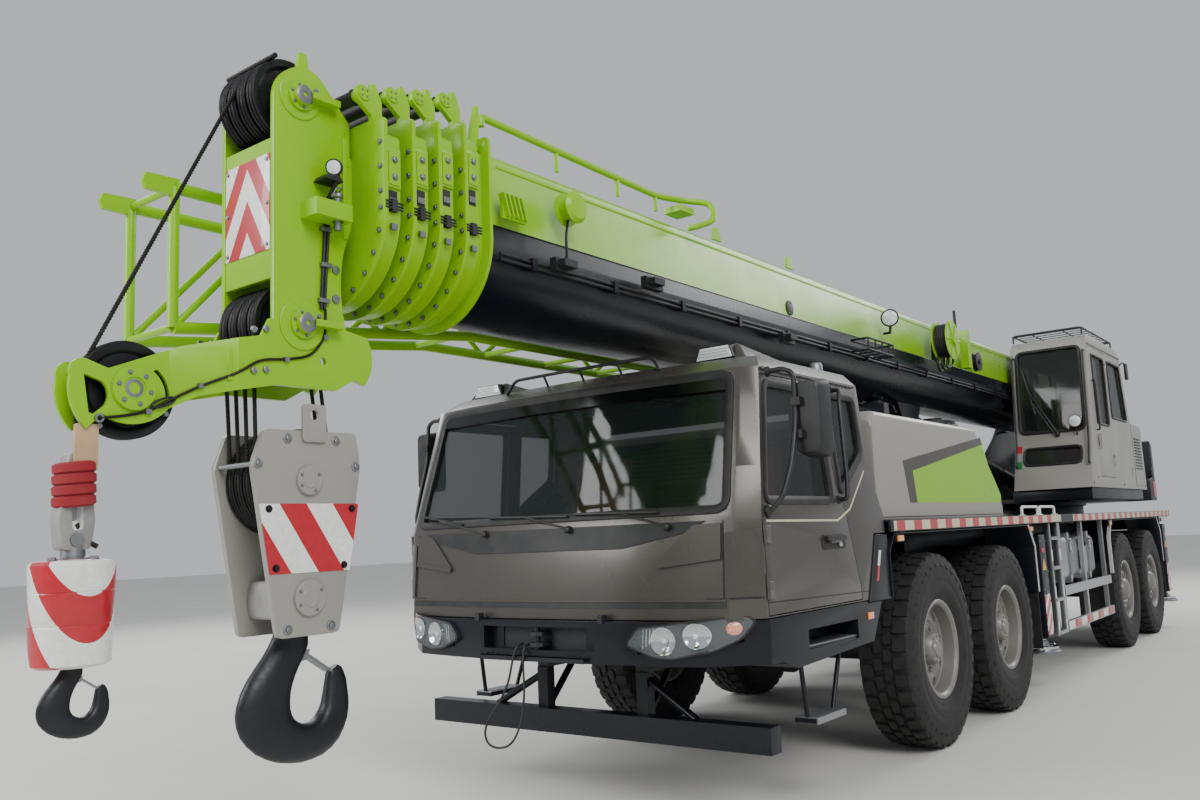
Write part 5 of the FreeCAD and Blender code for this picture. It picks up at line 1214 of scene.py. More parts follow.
def buildDeckEdge():
    form = bmesh.new()
    for s in (1, -1):
        for start, end in ((0.79, -3.42), (-3.9, -9.4)):
            sideBox(form, s, end, start, 1.3745, 1.3765, 1.513, 1.577)
            count = int((start - end) / 0.305)
            square = bmesh.new()
            sideBox(square, s, start - 0.19, start - 0.05, 1.375, 1.3775, 1.514, 1.576)
            addMesh(form, repeatMesh(square, "redReflector", count, (-0.305, 0.0, 0.0)), 1)
        for x in (0.67, -2.39, -5.63, -8.9):
            sideBox(form, s, x - 0.055, x + 0.055, 1.345, 1.362, 1.438, 1.485, 3)
            sideBox(form, s, x - 0.048, x + 0.048, 1.36, 1.371, 1.444, 1.479, 2)
    makePiece("carrier-deck_edge_tape_and_markers", form, ("creamTape", "redReflector", "amberLens",
                                                           "blackPlastic"), "carrier")

    form = bmesh.new()
    for s in (1, -1):
        for x0, x1 in ((-2.39, -2.905), (-2.975, -3.49)):
            hoop = [(x0, s * 1.3, 1.581), (x0, s * 1.3, 1.66), (x1, s * 1.3, 1.66), (x1, s * 1.3, 1.581)]
            addBar(form, roundPath(hoop, 0.05, 5), 0.013, 12)
            for x in (x0, x1):
                addLathe(form, (x, s * 1.3, 1.583), "z", [(0.0, 0.03), (0.006, 0.03), (0.007, 0.02)], 16)
        # ladder under the deck edge, with white reflectors on its stiles
        for x in (-3.12, -3.415):
            sideBox(form, s, x - 0.02, x + 0.02, 1.29, 1.335, 0.445, 1.506, 1)
            for z in (0.465, 0.795, 1.14):
                sideBox(form, s, x - 0.018, x + 0.018, 1.334, 1.338, z, z + 0.11, 2)
        for z in (0.455, 0.76, 1.06, 1.34):
            sideBox(form, s, -3.415, -3.12, 1.275, 1.345, z, z + 0.028, 1)
            for k in range(8):
                sideBox(form, s, -3.4 + 0.034 * k, -3.386 + 0.034 * k, 1.28, 1.34, z + 0.027, z + 0.032, 1)
    makePiece("carrier-deck_rails_and_ladders", form, ("whitePaint", "brushedAluminium", "whiteReflector"),
              "carrier", bevel=0.0025)


def buildFenderParts():
    form = bmesh.new()
    for s in (1, -1):
        # pale bent edges, rubber flaps behind the wheels
        for line in ([(-2.335, 1.5), (-2.3, 1.5), (-2.455, 1.3), (-2.455, 0.9), (-2.492, 0.9),
                      (-2.492, 1.312)],
                     [(-5.56, 0.9), (-5.523, 0.9), (-5.523, 1.312), (-5.665, 1.5), (-5.7, 1.5), (-5.56, 1.3)],
                     [(-8.535, 1.5), (-8.5, 1.5), (-8.68, 1.3), (-8.68, 0.9), (-8.717, 0.9),
                      (-8.717, 1.312)]):
            sidePlate(form, s, line, 1.33, 1.364)
        for x in (-2.47, -5.545, -8.698):
            sideBox(form, s, x - 0.006, x + 0.006, 0.965, 1.35, 0.4, 1.02, 1)
            for y in (1.02, 1.15, 1.28):
                sideBox(form, s, x - 0.012, x + 0.012, y - 0.018, y + 0.018, 0.955, 0.991, 2)
    makePiece("carrier-fender_edges_and_flaps", form, ("paleGreyEnamel", "blackRubber", "galvanisedSteel"),
              "carrier")


def buildTankParts():
    form = bmesh.new()
    for s in (1, -1):
        for x in (-4.88, -4.06):
            # rubber-lined strap over each hoop, with its tension bolt
            sidePlate(form, s, [(x - 0.036, 0.96), (x + 0.036, 0.96), (x + 0.036, 1.32), (x - 0.036, 1.32)],
                      1.269, 1.2745)
            addBar(form, [(x, s * 1.285, 1.18), (x, s * 1.285, 1.33)], 0.008, 8, 1)
            for z in (1.19, 1.3):
                sideBox(form, s, x - 0.018, x + 0.018, 1.272, 1.296, z, z + 0.022, 1)
        addLathe(form, (-4.63, s * 1.255, 1.29), (0.0, s * 1.0, 0.35), [(-0.02, 0.062), (0.02, 0.062),
                                                                        (0.024, 0.056), (0.042, 0.056),
                                                                        (0.048, 0.048), (0.048, 0.0)], 28, 2)
        for k in range(8):
            a = k * math.pi / 4
            addLathe(form, (-4.63 + 0.057 * math.cos(a), s * 1.272, 1.297 + 0.054 * math.sin(a)),
                     (0.0, s * 1.0, 0.35), [(0.0, 0.008), (0.024, 0.008)], 8, 2)
        # sight glass and drain plug
        sidePlate(form, s, roundedRectangle(-4.5, -4.46, 1.0, 1.2, 0.018, 3), 1.259, 1.268, 2)
        # tape on the lower guard rail: white and red by turns
        for k in range(8):
            sideBox(form, s, -3.7 - 0.245 * k, -3.49 - 0.245 * k, 1.3395, 1.342, 0.468, 0.542, 3 + k % 2)
    makePiece("carrier-tank_straps_and_guard_tape", form, ("galvanisedSteel", "chromedSteel", "blackPlastic",
                                                           "whiteReflector", "redReflector"), "carrier",
              bevel=0.002)


outriggers = (("front_left", -2.715, 1), ("front_right", -2.985, -1), ("rear_left", -8.965, 1),
              ("rear_right", -9.235, -1))


def buildOutriggerParts():
    for place, x, s in outriggers:
        form = bmesh.new()
        sideBox(form, s, x - 0.084, x + 0.084, 1.361, 1.365, 0.5, 0.86)
        sideBox(form, s, x - 0.092, x + 0.092, 1.36, 1.363, 0.492, 0.868, 1)
        # blank yellow warning triangle, red reflector, hose unions on top of the housing
        sidePlate(form, s, [(x - 0.06, 1.08), (x + 0.06, 1.08), (x, 1.184)], 1.361, 1.3635, 2)
        sidePlate(form, s, roundedRectangle(x - 0.05, x + 0.05, 1.24, 1.28, 0.008, 3), 1.361, 1.366, 3)
        for shift in (-0.045, 0.045):
            addLathe(form, (x + shift, s * 1.262, 1.4), "z", [(0.0, 0.02), (0.02, 0.02), (0.022, 0.012),
                                                              (0.045, 0.012)], 14, 4)
        bolts(form, [(x + a, s * 1.3625, z) for a in (-0.08, 0.08) for z in (0.91, 1.06, 1.34)], (0, s, 0),
              0.009, 4)
        # lower gland of the housing
        addLathe(form, (x, s * 1.262, 0.48), "z", [(0.001, 0.092), (-0.014, 0.092), (-0.018, 0.084),
                                                   (-0.018, 0.0535)], 32, 1, "open")
        makePiece("outrigger_%s-cover_and_signs" % place, form, ("jackBand", "blackIron", "yellowPaint",
                                                                 "redReflector", "galvanisedSteel"),
                  "outrigger_" + place)
        form = bmesh.new()
        addLathe(form, (x, s * 1.262, 0.335), "z", [(0.0005, 0.0), (0.0005, 0.166), (0.01, 0.172),
                                                    (0.022, 0.172), (0.026, 0.16), (0.052, 0.146),
                                                    (0.061, 0.1), (0.066, 0.07), (0.11, 0.062),
                                                    (0.116, 0.054)], 44)
        for turn in (0, 1):
            # carrying handles of round bar
            side = 1 - 2 * turn
            path = [(x + side * 0.15, s * 1.262 - 0.07, 0.372), (x + side * 0.215, s * 1.262 - 0.07, 0.4),
                    (x + side * 0.215, s * 1.262 + 0.07, 0.4), (x + side * 0.15, s * 1.262 + 0.07, 0.372)]
            addBar(form, roundPath(path, 0.035, 5), 0.008, 10, 1)
        makePiece("jack_%s-foot" % place, form, ("galvanisedSteel", "chromedSteel"), "jack_" + place)


def buildRestPads():
    form = bmesh.new()
    for y0, y1 in ((-0.17, -0.02), (0.02, 0.17)):
        addBox(form, (-2.155, y0, 2.7135), (-2.045, y1, 2.7385))
    makePiece("carrier-boom_rest_pads", form, "blackRubber", "carrier", bevel=0.004)


def buildHoodParts():
    form = bmesh.new()
    lime = [(0.14, 1.7), (-1.805, 1.7), (-1.815, 1.765), (-1.64, 1.93), (-1.545, 2.01), (-1.43, 2.185),
            (0.18, 1.925)]
    dark = [(0.275, 1.7), (0.14, 1.7), (0.18, 1.925), (-1.43, 2.185), (-1.392, 2.242), (0.355, 1.992)]
    for s in (1, -1):
        sidePlate(form, s, lime, 1.2995, 1.3012)
        sidePlate(form, s, dark, 1.2995, 1.3012, 1)
        sideBox(form, s, -1.8, 0.81, 1.3, 1.3012, 1.6, 1.606, 2)
    # front slats of the radiator and top grille panels
    for k in range(14):
        addBox(form, (0.849, -1.05, 1.7 + 0.036 * k), (0.862, 1.05, 1.712 + 0.036 * k), 3)
    for y0, y1 in ((-1.05, -0.55), (0.55, 1.05)):
        slat = bmesh.new()
        addBox(slat, (-0.9, y0, 2.3155), (-0.882, y1, 2.3235))
        addMesh(form, repeatMesh(slat, "blackPlastic", 34, (0.036, 0.0, 0.0)), 3)
        addBox(form, (-0.925, y0 - 0.02, 2.315), (0.33, y1 + 0.02, 2.317), 2)
    makePiece("carrier-hood_stripes_and_louvres", form, ("limeEnamel", "brownEnamel", "blackRubber",
                                                         "blackPlastic", "chromedSteel"), "carrier")

    form = bmesh.new()
    # guard cage round the muffler, made of bent wire
    for z in (1.66, 1.86, 2.06, 2.26, 2.44):
        ring = [(-2.15 + 0.222 * math.cos(a), 0.64 + 0.222 * math.sin(a), z) for a in (k * math.pi / 16
                                                                                       for k in range(33))]
        addBar(form, ring, 0.005, 6)
    for k in range(24):
        a = k * math.pi / 12
        addBar(form, [(-2.15 + 0.222 * math.cos(a), 0.64 + 0.222 * math.sin(a), 1.64),
                      (-2.15 + 0.222 * math.cos(a), 0.64 + 0.222 * math.sin(a), 2.455)], 0.004, 6)
    addLathe(form, (-2.15, 0.64, 2.47), "z", [(0.0, 0.206), (0.012, 0.204), (0.02, 0.19), (0.022, 0.092)], 40,
             1)
    addLathe(form, (-2.15, 0.64, 2.509), "z", [(0.0, 0.092), (0.008, 0.092), (0.008, 0.08), (-0.03, 0.08)],
             32, 1, "open")
    makePiece("carrier-muffler_cage", form, ("galvanisedSteel", "blackIron"), "carrier")


def buildRunningGear():
    form = bmesh.new()
    axleXs = (0.0, -1.596, -6.312, -7.922)
    for x in axleXs:
        for s in (1, -1):
            # brake chamber on the axle, with its clamp ring and line
            addLathe(form, (x - 0.2, s * 0.7, 0.672), (1.0, 0.0, 0.0),
                     [(-0.1, 0.04), (-0.092, 0.082), (-0.012, 0.086), (-0.01, 0.094), (0.01, 0.094),
                      (0.012, 0.086), (0.06, 0.078), (0.075, 0.03), (0.12, 0.016)], 28)
            addBar(form, roundPath([(x - 0.3, s * 0.7, 0.672), (x - 0.38, s * 0.68, 0.7),
                                    (x - 0.38, s * 0.56, 0.98)], 0.05, 5), 0.008, 8, 1)
    # propeller shafts between the axle bowls
    for a, b in ((-0.23, -1.36), (-1.83, -6.08), (-6.54, -7.69)):
        addLathe(form, (a, 0.0, 0.672), (-1.0, 0.0, 0.0),
                 [(0.0, 0.07), (0.02, 0.07), (0.022, 0.048), (0.11, 0.046), (0.15, 0.052),
                  (a - b - 0.15, 0.052), (a - b - 0.11, 0.046), (a - b - 0.022, 0.048), (a - b - 0.02, 0.07),
                  (a - b, 0.07)], 28)
    makePiece("carrier-brakes_and_shafts", form, ("forgedIron", "blackRubber"), "carrier")


buildDeckEdge()
buildFenderParts()
buildTankParts()
buildOutriggerParts()
buildRestPads()
buildHoodParts()
buildRunningGear()
for node, surface, width in (("engine_hood", "warmGreyEnamel", 0.008), ("deck", "deckEnamel", 0.004),
                             ("chassis_frame", "navyEnamel", 0.006), ("fenders", "navyEnamel", 0.003),
                             ("outrigger_boxes", "navyEnamel", 0.006), ("side_tanks", "brushedAluminium",
                                                                        0.005)):
    softenNode(node, "carrier", surface, width)
for place, x, s in outriggers:
    softenNode("outrigger_" + place, "outrigger_" + place, "navyEnamel", 0.007)
print("carrier ready")

# ---- superstructure: operator's cab, winches, counterweight and what rides on the boom's side

def cabFrontX(z):
    return -5.48 - 0.16 * (z - 2.45) / 1.17 if z > 2.45 else -5.25 - 0.23 * (z - 1.88) / 0.57


def closedBar(form, points, radius, corner, sides=10, index=0, steps=5):
    middle = tuple((a + b) / 2 for a, b in zip(points[0], points[1]))
    addBar(form, roundPath([middle, *points[1:], points[0], middle], corner, steps), radius, sides, index)


opDoorWindow = [(-5.85, 2.64), (-5.85, 3.48), (-6.48, 3.48), (-6.48, 2.64)]
opRearWindow = [(-6.68, 2.76), (-6.68, 3.48), (-7.38, 3.48), (-7.56, 2.76)]


def buildOperatorCab():
    form = bmesh.new()
    for y0, y1, z0, z1, size in ((0.515, 1.23, 2.56, 3.56, 0.02), (0.555, 1.19, 2.17, 2.37, 0.016)):
        loop = [(cabFrontX(z) + 0.003, y, z) for y, z in ((y0, z0), (y1, z0), (y1, z1), (y0, z1))]
        closedBar(form, loop, size, 0.07)
    for y in (1.3, 0.444):
        closedBar(form, [(x, y, z) for x, z in opRearWindow], 0.014, 0.06)
    closedBar(form, [(x, 0.444, z) for x, z in opDoorWindow], 0.014, 0.06)
    # black tubes before the screen and the roof guard
    for y in (0.478, 1.278):
        rail = [(cabFrontX(3.5) + 0.004, y, 3.5), (cabFrontX(3.5) + 0.06, y, 3.5),
                (cabFrontX(2.45) + 0.06, y, 2.45), (cabFrontX(2.16) + 0.06, y, 2.16),
                (cabFrontX(2.16) + 0.004, y, 2.16)]
        addBar(form, roundPath(rail), 0.012, 10, 1)
    corners = [(-5.7, 0.48, 3.79), (-5.7, 1.265, 3.79), (-7.25, 1.265, 3.79), (-7.25, 0.48, 3.79)]
    closedBar(form, corners, 0.013, 0.06, 10, 1)
    for x, y, z in corners:
        addBar(form, [(x, y, 3.6985 if x > -7 else 3.695), (x, y, z)], 0.011, 8, 1)
    slat = bmesh.new()
    addBox(slat, (-5.79, 0.485, 3.786), (-5.778, 1.26, 3.796))
    addMesh(form, repeatMesh(slat, "blackPlastic", 10, (-0.15, 0.0, 0.0)), 1)
    for y in (0.7, 1.05):
        addBox(form, (-7.25, y - 0.006, 3.776), (-5.7, y + 0.006, 3.787), 1)
    # screen wiper with two arms
    def screen(y, z, lift):
        return (cabFrontX(z) + lift, y, z)
    addLathe(form, screen(0.93, 2.52, 0.0), "x", [(0.0, 0.03), (0.03, 0.026), (0.044, 0.012), (0.044, 0.0)],
             16, 1)
    addBar(form, [screen(0.945, 2.525, 0.035), screen(0.7, 2.96, 0.045), screen(0.64, 3.06, 0.034)], 0.011, 8,
           1)
    addBar(form, [screen(0.915, 2.515, 0.035), screen(0.68, 2.92, 0.04)], 0.009, 8, 1)
    addBar(form, [screen(0.575, 3.33, 0.022), screen(0.64, 3.06, 0.026), screen(0.7, 2.79, 0.022)], 0.012, 8,
           1)
    # round work lamp low on the screen's left corner
    addLathe(form, (cabFrontX(2.655) + 0.05, 1.15, 2.655), "x", [(-0.03, 0.03), (0.0, 0.06), (0.04, 0.074),
                                                                 (0.052, 0.076), (0.056, 0.07)], 30, 1)
    addLathe(form, (cabFrontX(2.655) + 0.05, 1.15, 2.655), "x", [(0.054, 0.068), (0.066, 0.05), (0.07, 0.0)],
             30, 2, "open")
    addBar(form, [(cabFrontX(2.5) + 0.004, 1.15, 2.5), (cabFrontX(2.5) + 0.045, 1.15, 2.54),
                  (cabFrontX(2.6) + 0.045, 1.15, 2.62)], 0.008, 8, 1)
    # blank red and green labels on the lower front
    for z, kind in ((2.33, 3), (2.14, 4)):
        a, b = cabFrontX(z), cabFrontX(z + 0.085)
        addFaces(form, [at(a + 0.003, 0.462, z), at(a + 0.003, 0.528, z), at(b + 0.003, 0.528, z + 0.085),
                        at(b + 0.003, 0.462, z + 0.085)], [(0, 1, 2, 3)], kind)
    # louvres and a filler flap on the rear housing, gutter over the door, panel seam
    louvre = bmesh.new()
    addPrism(louvre, [(-7.9, 2.15), (-8.3, 2.15), (-8.3, 2.164), (-7.9, 2.164)], "y", 1.296, 1.309)
    addMesh(form, repeatMesh(louvre, "blackPlastic", 11, (0.0, 0.0, 0.04)), 1)
    addPrism(form, roundedRectangle(-7.72, -7.6, 2.06, 2.18, 0.015, 3), "y", 1.299, 1.307, 5)
    addBox(form, (-7.5, 1.298, 3.59), (-5.7, 1.316, 3.606), 5)
    addBox(form, (-7.805, 1.299, 1.9), (-7.799, 1.302, 2.74))
    for x, z in ((-5.35, 1.93), (-5.6, 2.0), (-7.0, 1.93), (-8.38, 1.93)):
        addLathe(form, (x, 1.3, z), "y", [(0.0, 0.012), (0.006, 0.01), (0.006, 0.0)], 12)
    # rear view mirror on its stalk
    addBar(form, roundPath([(-7.5, 1.29, 3.5), (-7.56, 1.33, 3.56), (-7.7, 1.33, 3.54)], 0.04), 0.009, 8, 1)
    addPrism(form, roundedRectangle(-7.8, -7.69, 3.34, 3.56, 0.03), "y", 1.315, 1.345, 1)
    makePiece("superstructure-operator_cab_trim", form, ("blackRubber", "blackPlastic", "lampGlass",
                                                         "redPaint", "greenPaint", "warmGreyEnamel"),
              "superstructure")

    form = bmesh.new()
    closedBar(form, [(x, 1.3, z) for x, z in opDoorWindow], 0.014, 0.06)
    addBar(form, roundPath([(-5.8, 1.3, 2.56), (-5.8, 1.332, 2.56), (-5.79, 1.332, 3.15), (-5.79, 1.3, 3.15)],
                           0.025), 0.01, 10, 1)
    addPrism(form, roundedRectangle(-5.9, -5.81, 2.37, 2.48, 0.012, 3), "y", 1.299, 1.306, 1)
    makePiece("operator_door-seal_and_grab_tube", form, ("blackRubber", "blackPlastic"), "operator_door")


def buildWinchRopes():
    form = bmesh.new()
    for x, z, drum in ((-9.09, 2.33, 0.215), (-8.72, 2.08, 0.17)):
        pitch, radius = 0.0205, 0.01
        profile = []
        for k in range(28):
            centre = -0.2875 + pitch * k
            profile += [(centre + radius * math.cos(a), drum + 0.03 + radius * math.sin(a))
                        for a in (math.pi * (4 - j) / 4 for j in range(5))]
        profile = [(-0.299, drum - 0.002)] + profile + [(0.299, drum - 0.002)]
        addLathe(form, (x, 0.0, z), "y", profile, 56, 0, "open")
        # bolts on both flanges of the drum
        for side in (-1, 1):
            bolts(form, [(x + 0.13 * math.cos(a), side * 0.326, z + 0.13 * math.sin(a))
                         for a in (k * math.pi / 4 for k in range(8))], (0, side, 0), 0.012, 1)
    makePiece("superstructure-winch_rope_layers", form, ("wireRope", "galvanisedSteel"), "superstructure")


def buildCounterweight():
    form = bmesh.new()
    for s in (1, -1):
        addBox(form, (-9.7545, s * 0.82, 1.79), (-9.7495, s * 1.185, 2.52))
        addLathe(form, (-9.56, s * 1.1985, 2.16), "y", [(0.0, 0.07), (s * 0.006, 0.07), (s * 0.01, 0.052)],
                 28, 1)
        sidePlate(form, s, [(-9.745, 1.79), (-9.56, 1.79), (-9.56, 2.02), (-9.745, 2.02)], 1.1995, 1.203, 2)
        for y in (0.45, 0.85):
            addBar(form, roundPath([(-9.69, s * y - 0.06, 2.585), (-9.69, s * y - 0.06, 2.66),
                                    (-9.69, s * y + 0.06, 2.66), (-9.69, s * y + 0.06, 2.585)], 0.04, 5),
                   0.014, 10, 1)
    for z in (2.01, 2.28):
        addBox(form, (-9.752, -1.198, z), (-9.7495, 1.198, z + 0.008), 1)
    makePiece("superstructure-counterweight_bands", form, ("weightBand", "blackIron", "redReflector"),
              "superstructure")


def buildDerrickParts():
    along = Vector((3.7, 0.0, 0.59)).normalized()
    foot = Vector((-6.6, 0.0, 2.0))
    form = bmesh.new()
    gland = foot + along * 3.49
    addLathe(form, tuple(gland - along * 0.075), tuple(along), [(0.0, 0.166), (0.004, 0.176), (0.06, 0.176),
             (0.07, 0.166), (0.082, 0.15), (0.084, 0.111)], 44, 0, "open")
    for distance in (0.7, 1.9, 2.9):
        addLathe(form, tuple(foot + along * distance), tuple(along), [(0.0, 0.166), (0.0, 0.175),
                                                                      (0.05, 0.175), (0.05, 0.166)], 40, 0,
                 "open")
    # supply line clamped along the barrel
    lift = Vector((-along.z, 0.0, along.x)) * 0.01
    line = [foot + along * d + lift + Vector((0, 0.188, 0)) for d in (0.5, 3.3)]
    ends = [line[0] + Vector((0, -0.04, 0)), line[0], line[1], line[1] + Vector((0, -0.04, 0))]
    addBar(form, roundPath([tuple(p) for p in ends], 0.04), 0.014, 10, 1)
    makePiece("derrick_barrel-gland_and_line", form, ("blackIron", "galvanisedSteel"), "derrick_barrel")


def buildBoomFittings():
    form = bmesh.new()
    # hose drum: lime flanges, black coils, carried on a bracket
    centre = (-2.96, 0.44, 3.38)
    addLathe(form, centre, "y", [(0.0, 0.05), (0.045, 0.05), (0.045, 0.2), (0.052, 0.205), (0.058, 0.2),
                                 (0.058, 0.08)], 48, 0, "open")
    coil = [(0.058, 0.08)]
    for k in range(7):
        coil += [(0.068 + 0.018 * k + 0.009 * math.cos(a), 0.165 + 0.009 * math.sin(a))
                 for a in (math.pi * (4 - j) / 4 for j in range(5))]
    addLathe(form, centre, "y", coil + [(0.188, 0.08)], 48, 1, "open")
    addLathe(form, centre, "y", [(0.188, 0.07), (0.188, 0.2), (0.194, 0.205), (0.2, 0.2), (0.2, 0.06),
                                 (0.23, 0.055), (0.232, 0.0)], 48, 0, "open")
    for k in range(6):
        a = k * math.pi / 3
        spoke = [(centre[0] + 0.06 * math.cos(a), 0.642, centre[2] + 0.06 * math.sin(a)),
                 (centre[0] + 0.19 * math.cos(a), 0.642, centre[2] + 0.19 * math.sin(a))]
        addBar(form, spoke, 0.008, 8)
    addPrism(form, [(-3.06, 3.19), (-2.86, 3.19), (-2.89, 3.38), (-3.03, 3.38)], "y", 0.438, 0.452, 2)
    for k in range(3):
        loop = [(-2.9 - 0.02 * k, 0.5 + 0.045 * k, 3.26), (-2.83, 0.505 + 0.045 * k, 3.13 - 0.02 * k),
                (-2.93, 0.5 + 0.045 * k, 3.06 + 0.02 * k), (-3.06, 0.5 + 0.045 * k, 3.15),
                (-3.06, 0.5 + 0.045 * k, 3.27)]
        addBar(form, roundPath(loop, 0.08, 5), 0.011, 10, 1)
    # guide sheave, lime flange and post behind the drum
    addLathe(form, (-4.12, 0.44, 3.3), "y", [(0.0, 0.03), (0.03, 0.03), (0.034, 0.105), (0.046, 0.105),
                                             (0.054, 0.085), (0.066, 0.085), (0.074, 0.105), (0.086, 0.105),
                                             (0.09, 0.03), (0.104, 0.026), (0.104, 0.0)], 40, 1)
    addPrism(form, [(-3.9, 3.2), (-3.78, 3.2), (-3.8, 3.62), (-3.88, 3.62)], "y", 0.438, 0.52)
    addBar(form, [(-3.56, 0.48, 3.38), (-3.56, 0.48, 3.8)], 0.016, 10, 2)
    addBox(form, (-3.6, 0.438, 3.4), (-3.52, 0.49, 3.46), 2)
    # round lamp on its bracket
    addLathe(form, (-1.64, 0.52, 3.43), (1.0, 0.25, -0.12), [(-0.05, 0.035), (-0.02, 0.068), (0.03, 0.08),
                                                             (0.038, 0.082), (0.04, 0.074)], 30, 2)
    addLathe(form, (-1.64, 0.52, 3.43), (1.0, 0.25, -0.12), [(0.038, 0.072), (0.048, 0.05), (0.052, 0.0)], 30,
             3, "open")
    addBar(form, [(-1.66, 0.438, 3.3), (-1.66, 0.5, 3.3), (-1.66, 0.51, 3.37)], 0.012, 8, 2)
    # dark basket for slings, of bar and flat
    low, high, inner, outer = 3.04, 3.14, 0.44, 0.6
    for z in (low, high):
        closedBar(form, [(-0.9, inner, z), (-0.9, outer, z), (-1.45, outer, z), (-1.45, inner, z)], 0.01,
                  0.03, 8, 2, 3)
    for x in (-0.9, -1.05, -1.2, -1.35, -1.45):
        addBar(form, [(x, inner, low), (x, outer, low), (x, outer, high)], 0.007, 8, 2)
    makePiece("boom-hose_drum_lamp_and_basket", form, ("limeEnamel", "blackRubber", "blackIron", "lampGlass"),
              "boom")


def buildBoomTopRail():
    form = bmesh.new()
    rail = [(3.43, 0.3, 3.79), (3.43, 0.3, 3.845), (1.76, 0.3, 3.81), (1.5, 0.34, 3.83), (1.39, 0.5, 3.8),
            (1.42, 0.54, 3.66), (1.56, 0.47, 3.6), (1.6, 0.436, 3.59)]
    addBar(form, roundPath(rail, 0.07, 5), 0.021, 12)
    for x in (2.8, 2.2, 1.78):
        addBar(form, [(x, 0.3, 3.7), (x, 0.3, 3.82)], 0.014)
    addBox(form, (1.52, 0.3, 3.7), (1.68, 0.44, 3.742))
    # small cable drum with its lead, ribbed bracket, dark valve brackets
    addLathe(form, (2.92, 0.436, 3.4), "y", [(0.0, 0.075), (0.016, 0.098), (0.022, 0.098), (0.022, 0.062),
                                             (0.09, 0.062), (0.09, 0.092), (0.098, 0.092), (0.118, 0.07),
                                             (0.122, 0.0)])
    addBar(form, roundPath([(2.92, 0.47, 3.34), (2.95, 0.475, 3.24), (2.93, 0.46, 3.12), (2.95, 0.442, 3.09)],
                           0.04), 0.008, 8, 1)
    for k in range(5):
        x = 3.27 + 0.034 * k
        addPrism(form, [(x, 3.25), (x + 0.012, 3.25), (x + 0.05, 3.37), (x + 0.038, 3.37)], "y", 0.436, 0.48)
    addBox(form, (3.26, 0.436, 3.24), (3.44, 0.452, 3.38))
    for x, z in ((2.08, 3.12), (2.95, 3.07), (0.3, 3.0)):
        addBox(form, (x - 0.09, 0.425, z - 0.04), (x + 0.09, 0.47, z + 0.035), 2)
        addBox(form, (x - 0.04, 0.465, z - 0.02), (x + 0.07, 0.52, z + 0.02), 2)
        bolts(form, [(x - 0.07, 0.47, z), (x + 0.078, 0.47, z)], (0, 1, 0), 0.009, 2)
    # hoisting eyes and a limit stop on the top
    for x in (0.9, -0.25):
        addPrism(form, [(x - 0.06, 3.695), (x + 0.06, 3.695), (x + 0.03, 3.79), (x - 0.03, 3.79)], "y", 0.225,
                 0.245)
    makePiece("boom-top_rail_and_drum", form, ("limeEnamel", "blackRubber", "blackIron"), "boom")


def inside(outline, u, v):
    count = 0
    for a, b in zip(outline, outline[1:] + outline[:1]):
        if (a[1] > v) != (b[1] > v) and u < a[0] + (v - a[1]) * (b[0] - a[0]) / (b[1] - a[1]):
            count += 1
    return count % 2 == 1


def glazeDoor(nodeName, body, surface, outline, width):
    # the door's own form, its pane in glass
    item = softenNode(nodeName, body, surface, width)
    middleU = sum(p[0] for p in outline) / len(outline)
    middleV = sum(p[1] for p in outline) / len(outline)
    shrunk = [(u + (middleU - u) * 0.06, v + (middleV - v) * 0.06) for u, v in outline]
    item.data.materials.append(finishes["cabGlass"])
    for face in item.data.polygons:
        if inside(shrunk, face.center.x - axleOne, face.center.z) and abs(face.normal.y) > 0.7:
            face.material_index = 1


buildOperatorCab()
buildWinchRopes()
buildCounterweight()
buildDerrickParts()
buildBoomFittings()
buildBoomTopRail()
glazeDoor("door_left", "door_left", "bronzeEnamel", doorWindow, 0.005)
glazeDoor("door_right", "door_right", "bronzeEnamel", doorWindow, 0.005)
glazeDoor("operator_door", "operator_door", "warmGreyEnamel", opDoorWindow, 0.005)
for node, surface in (("operator_cab", "warmGreyEnamel"), ("turntable", "navyEnamel"),
                      ("counterweight", "deckEnamel")):
    softenNode(node, "superstructure", surface, 0.008)
for node, surface in (("derrick_barrel", "navyEnamel"),):
    softenNode(node, node, surface, 0.004)
print("superstructure ready")

# ---- boom: tubes and collars from the CAD form, with pads, bolts, rollers and cable runs

boomSize = {"axisZ": 3.12, "topZ": 3.61, "half": 0.38, "pitch": 0.045, "collars": (3.7, 3.88, 4.05, 4.225),
            "bodies": ("boom", "section_1", "section_2", "section_3")}


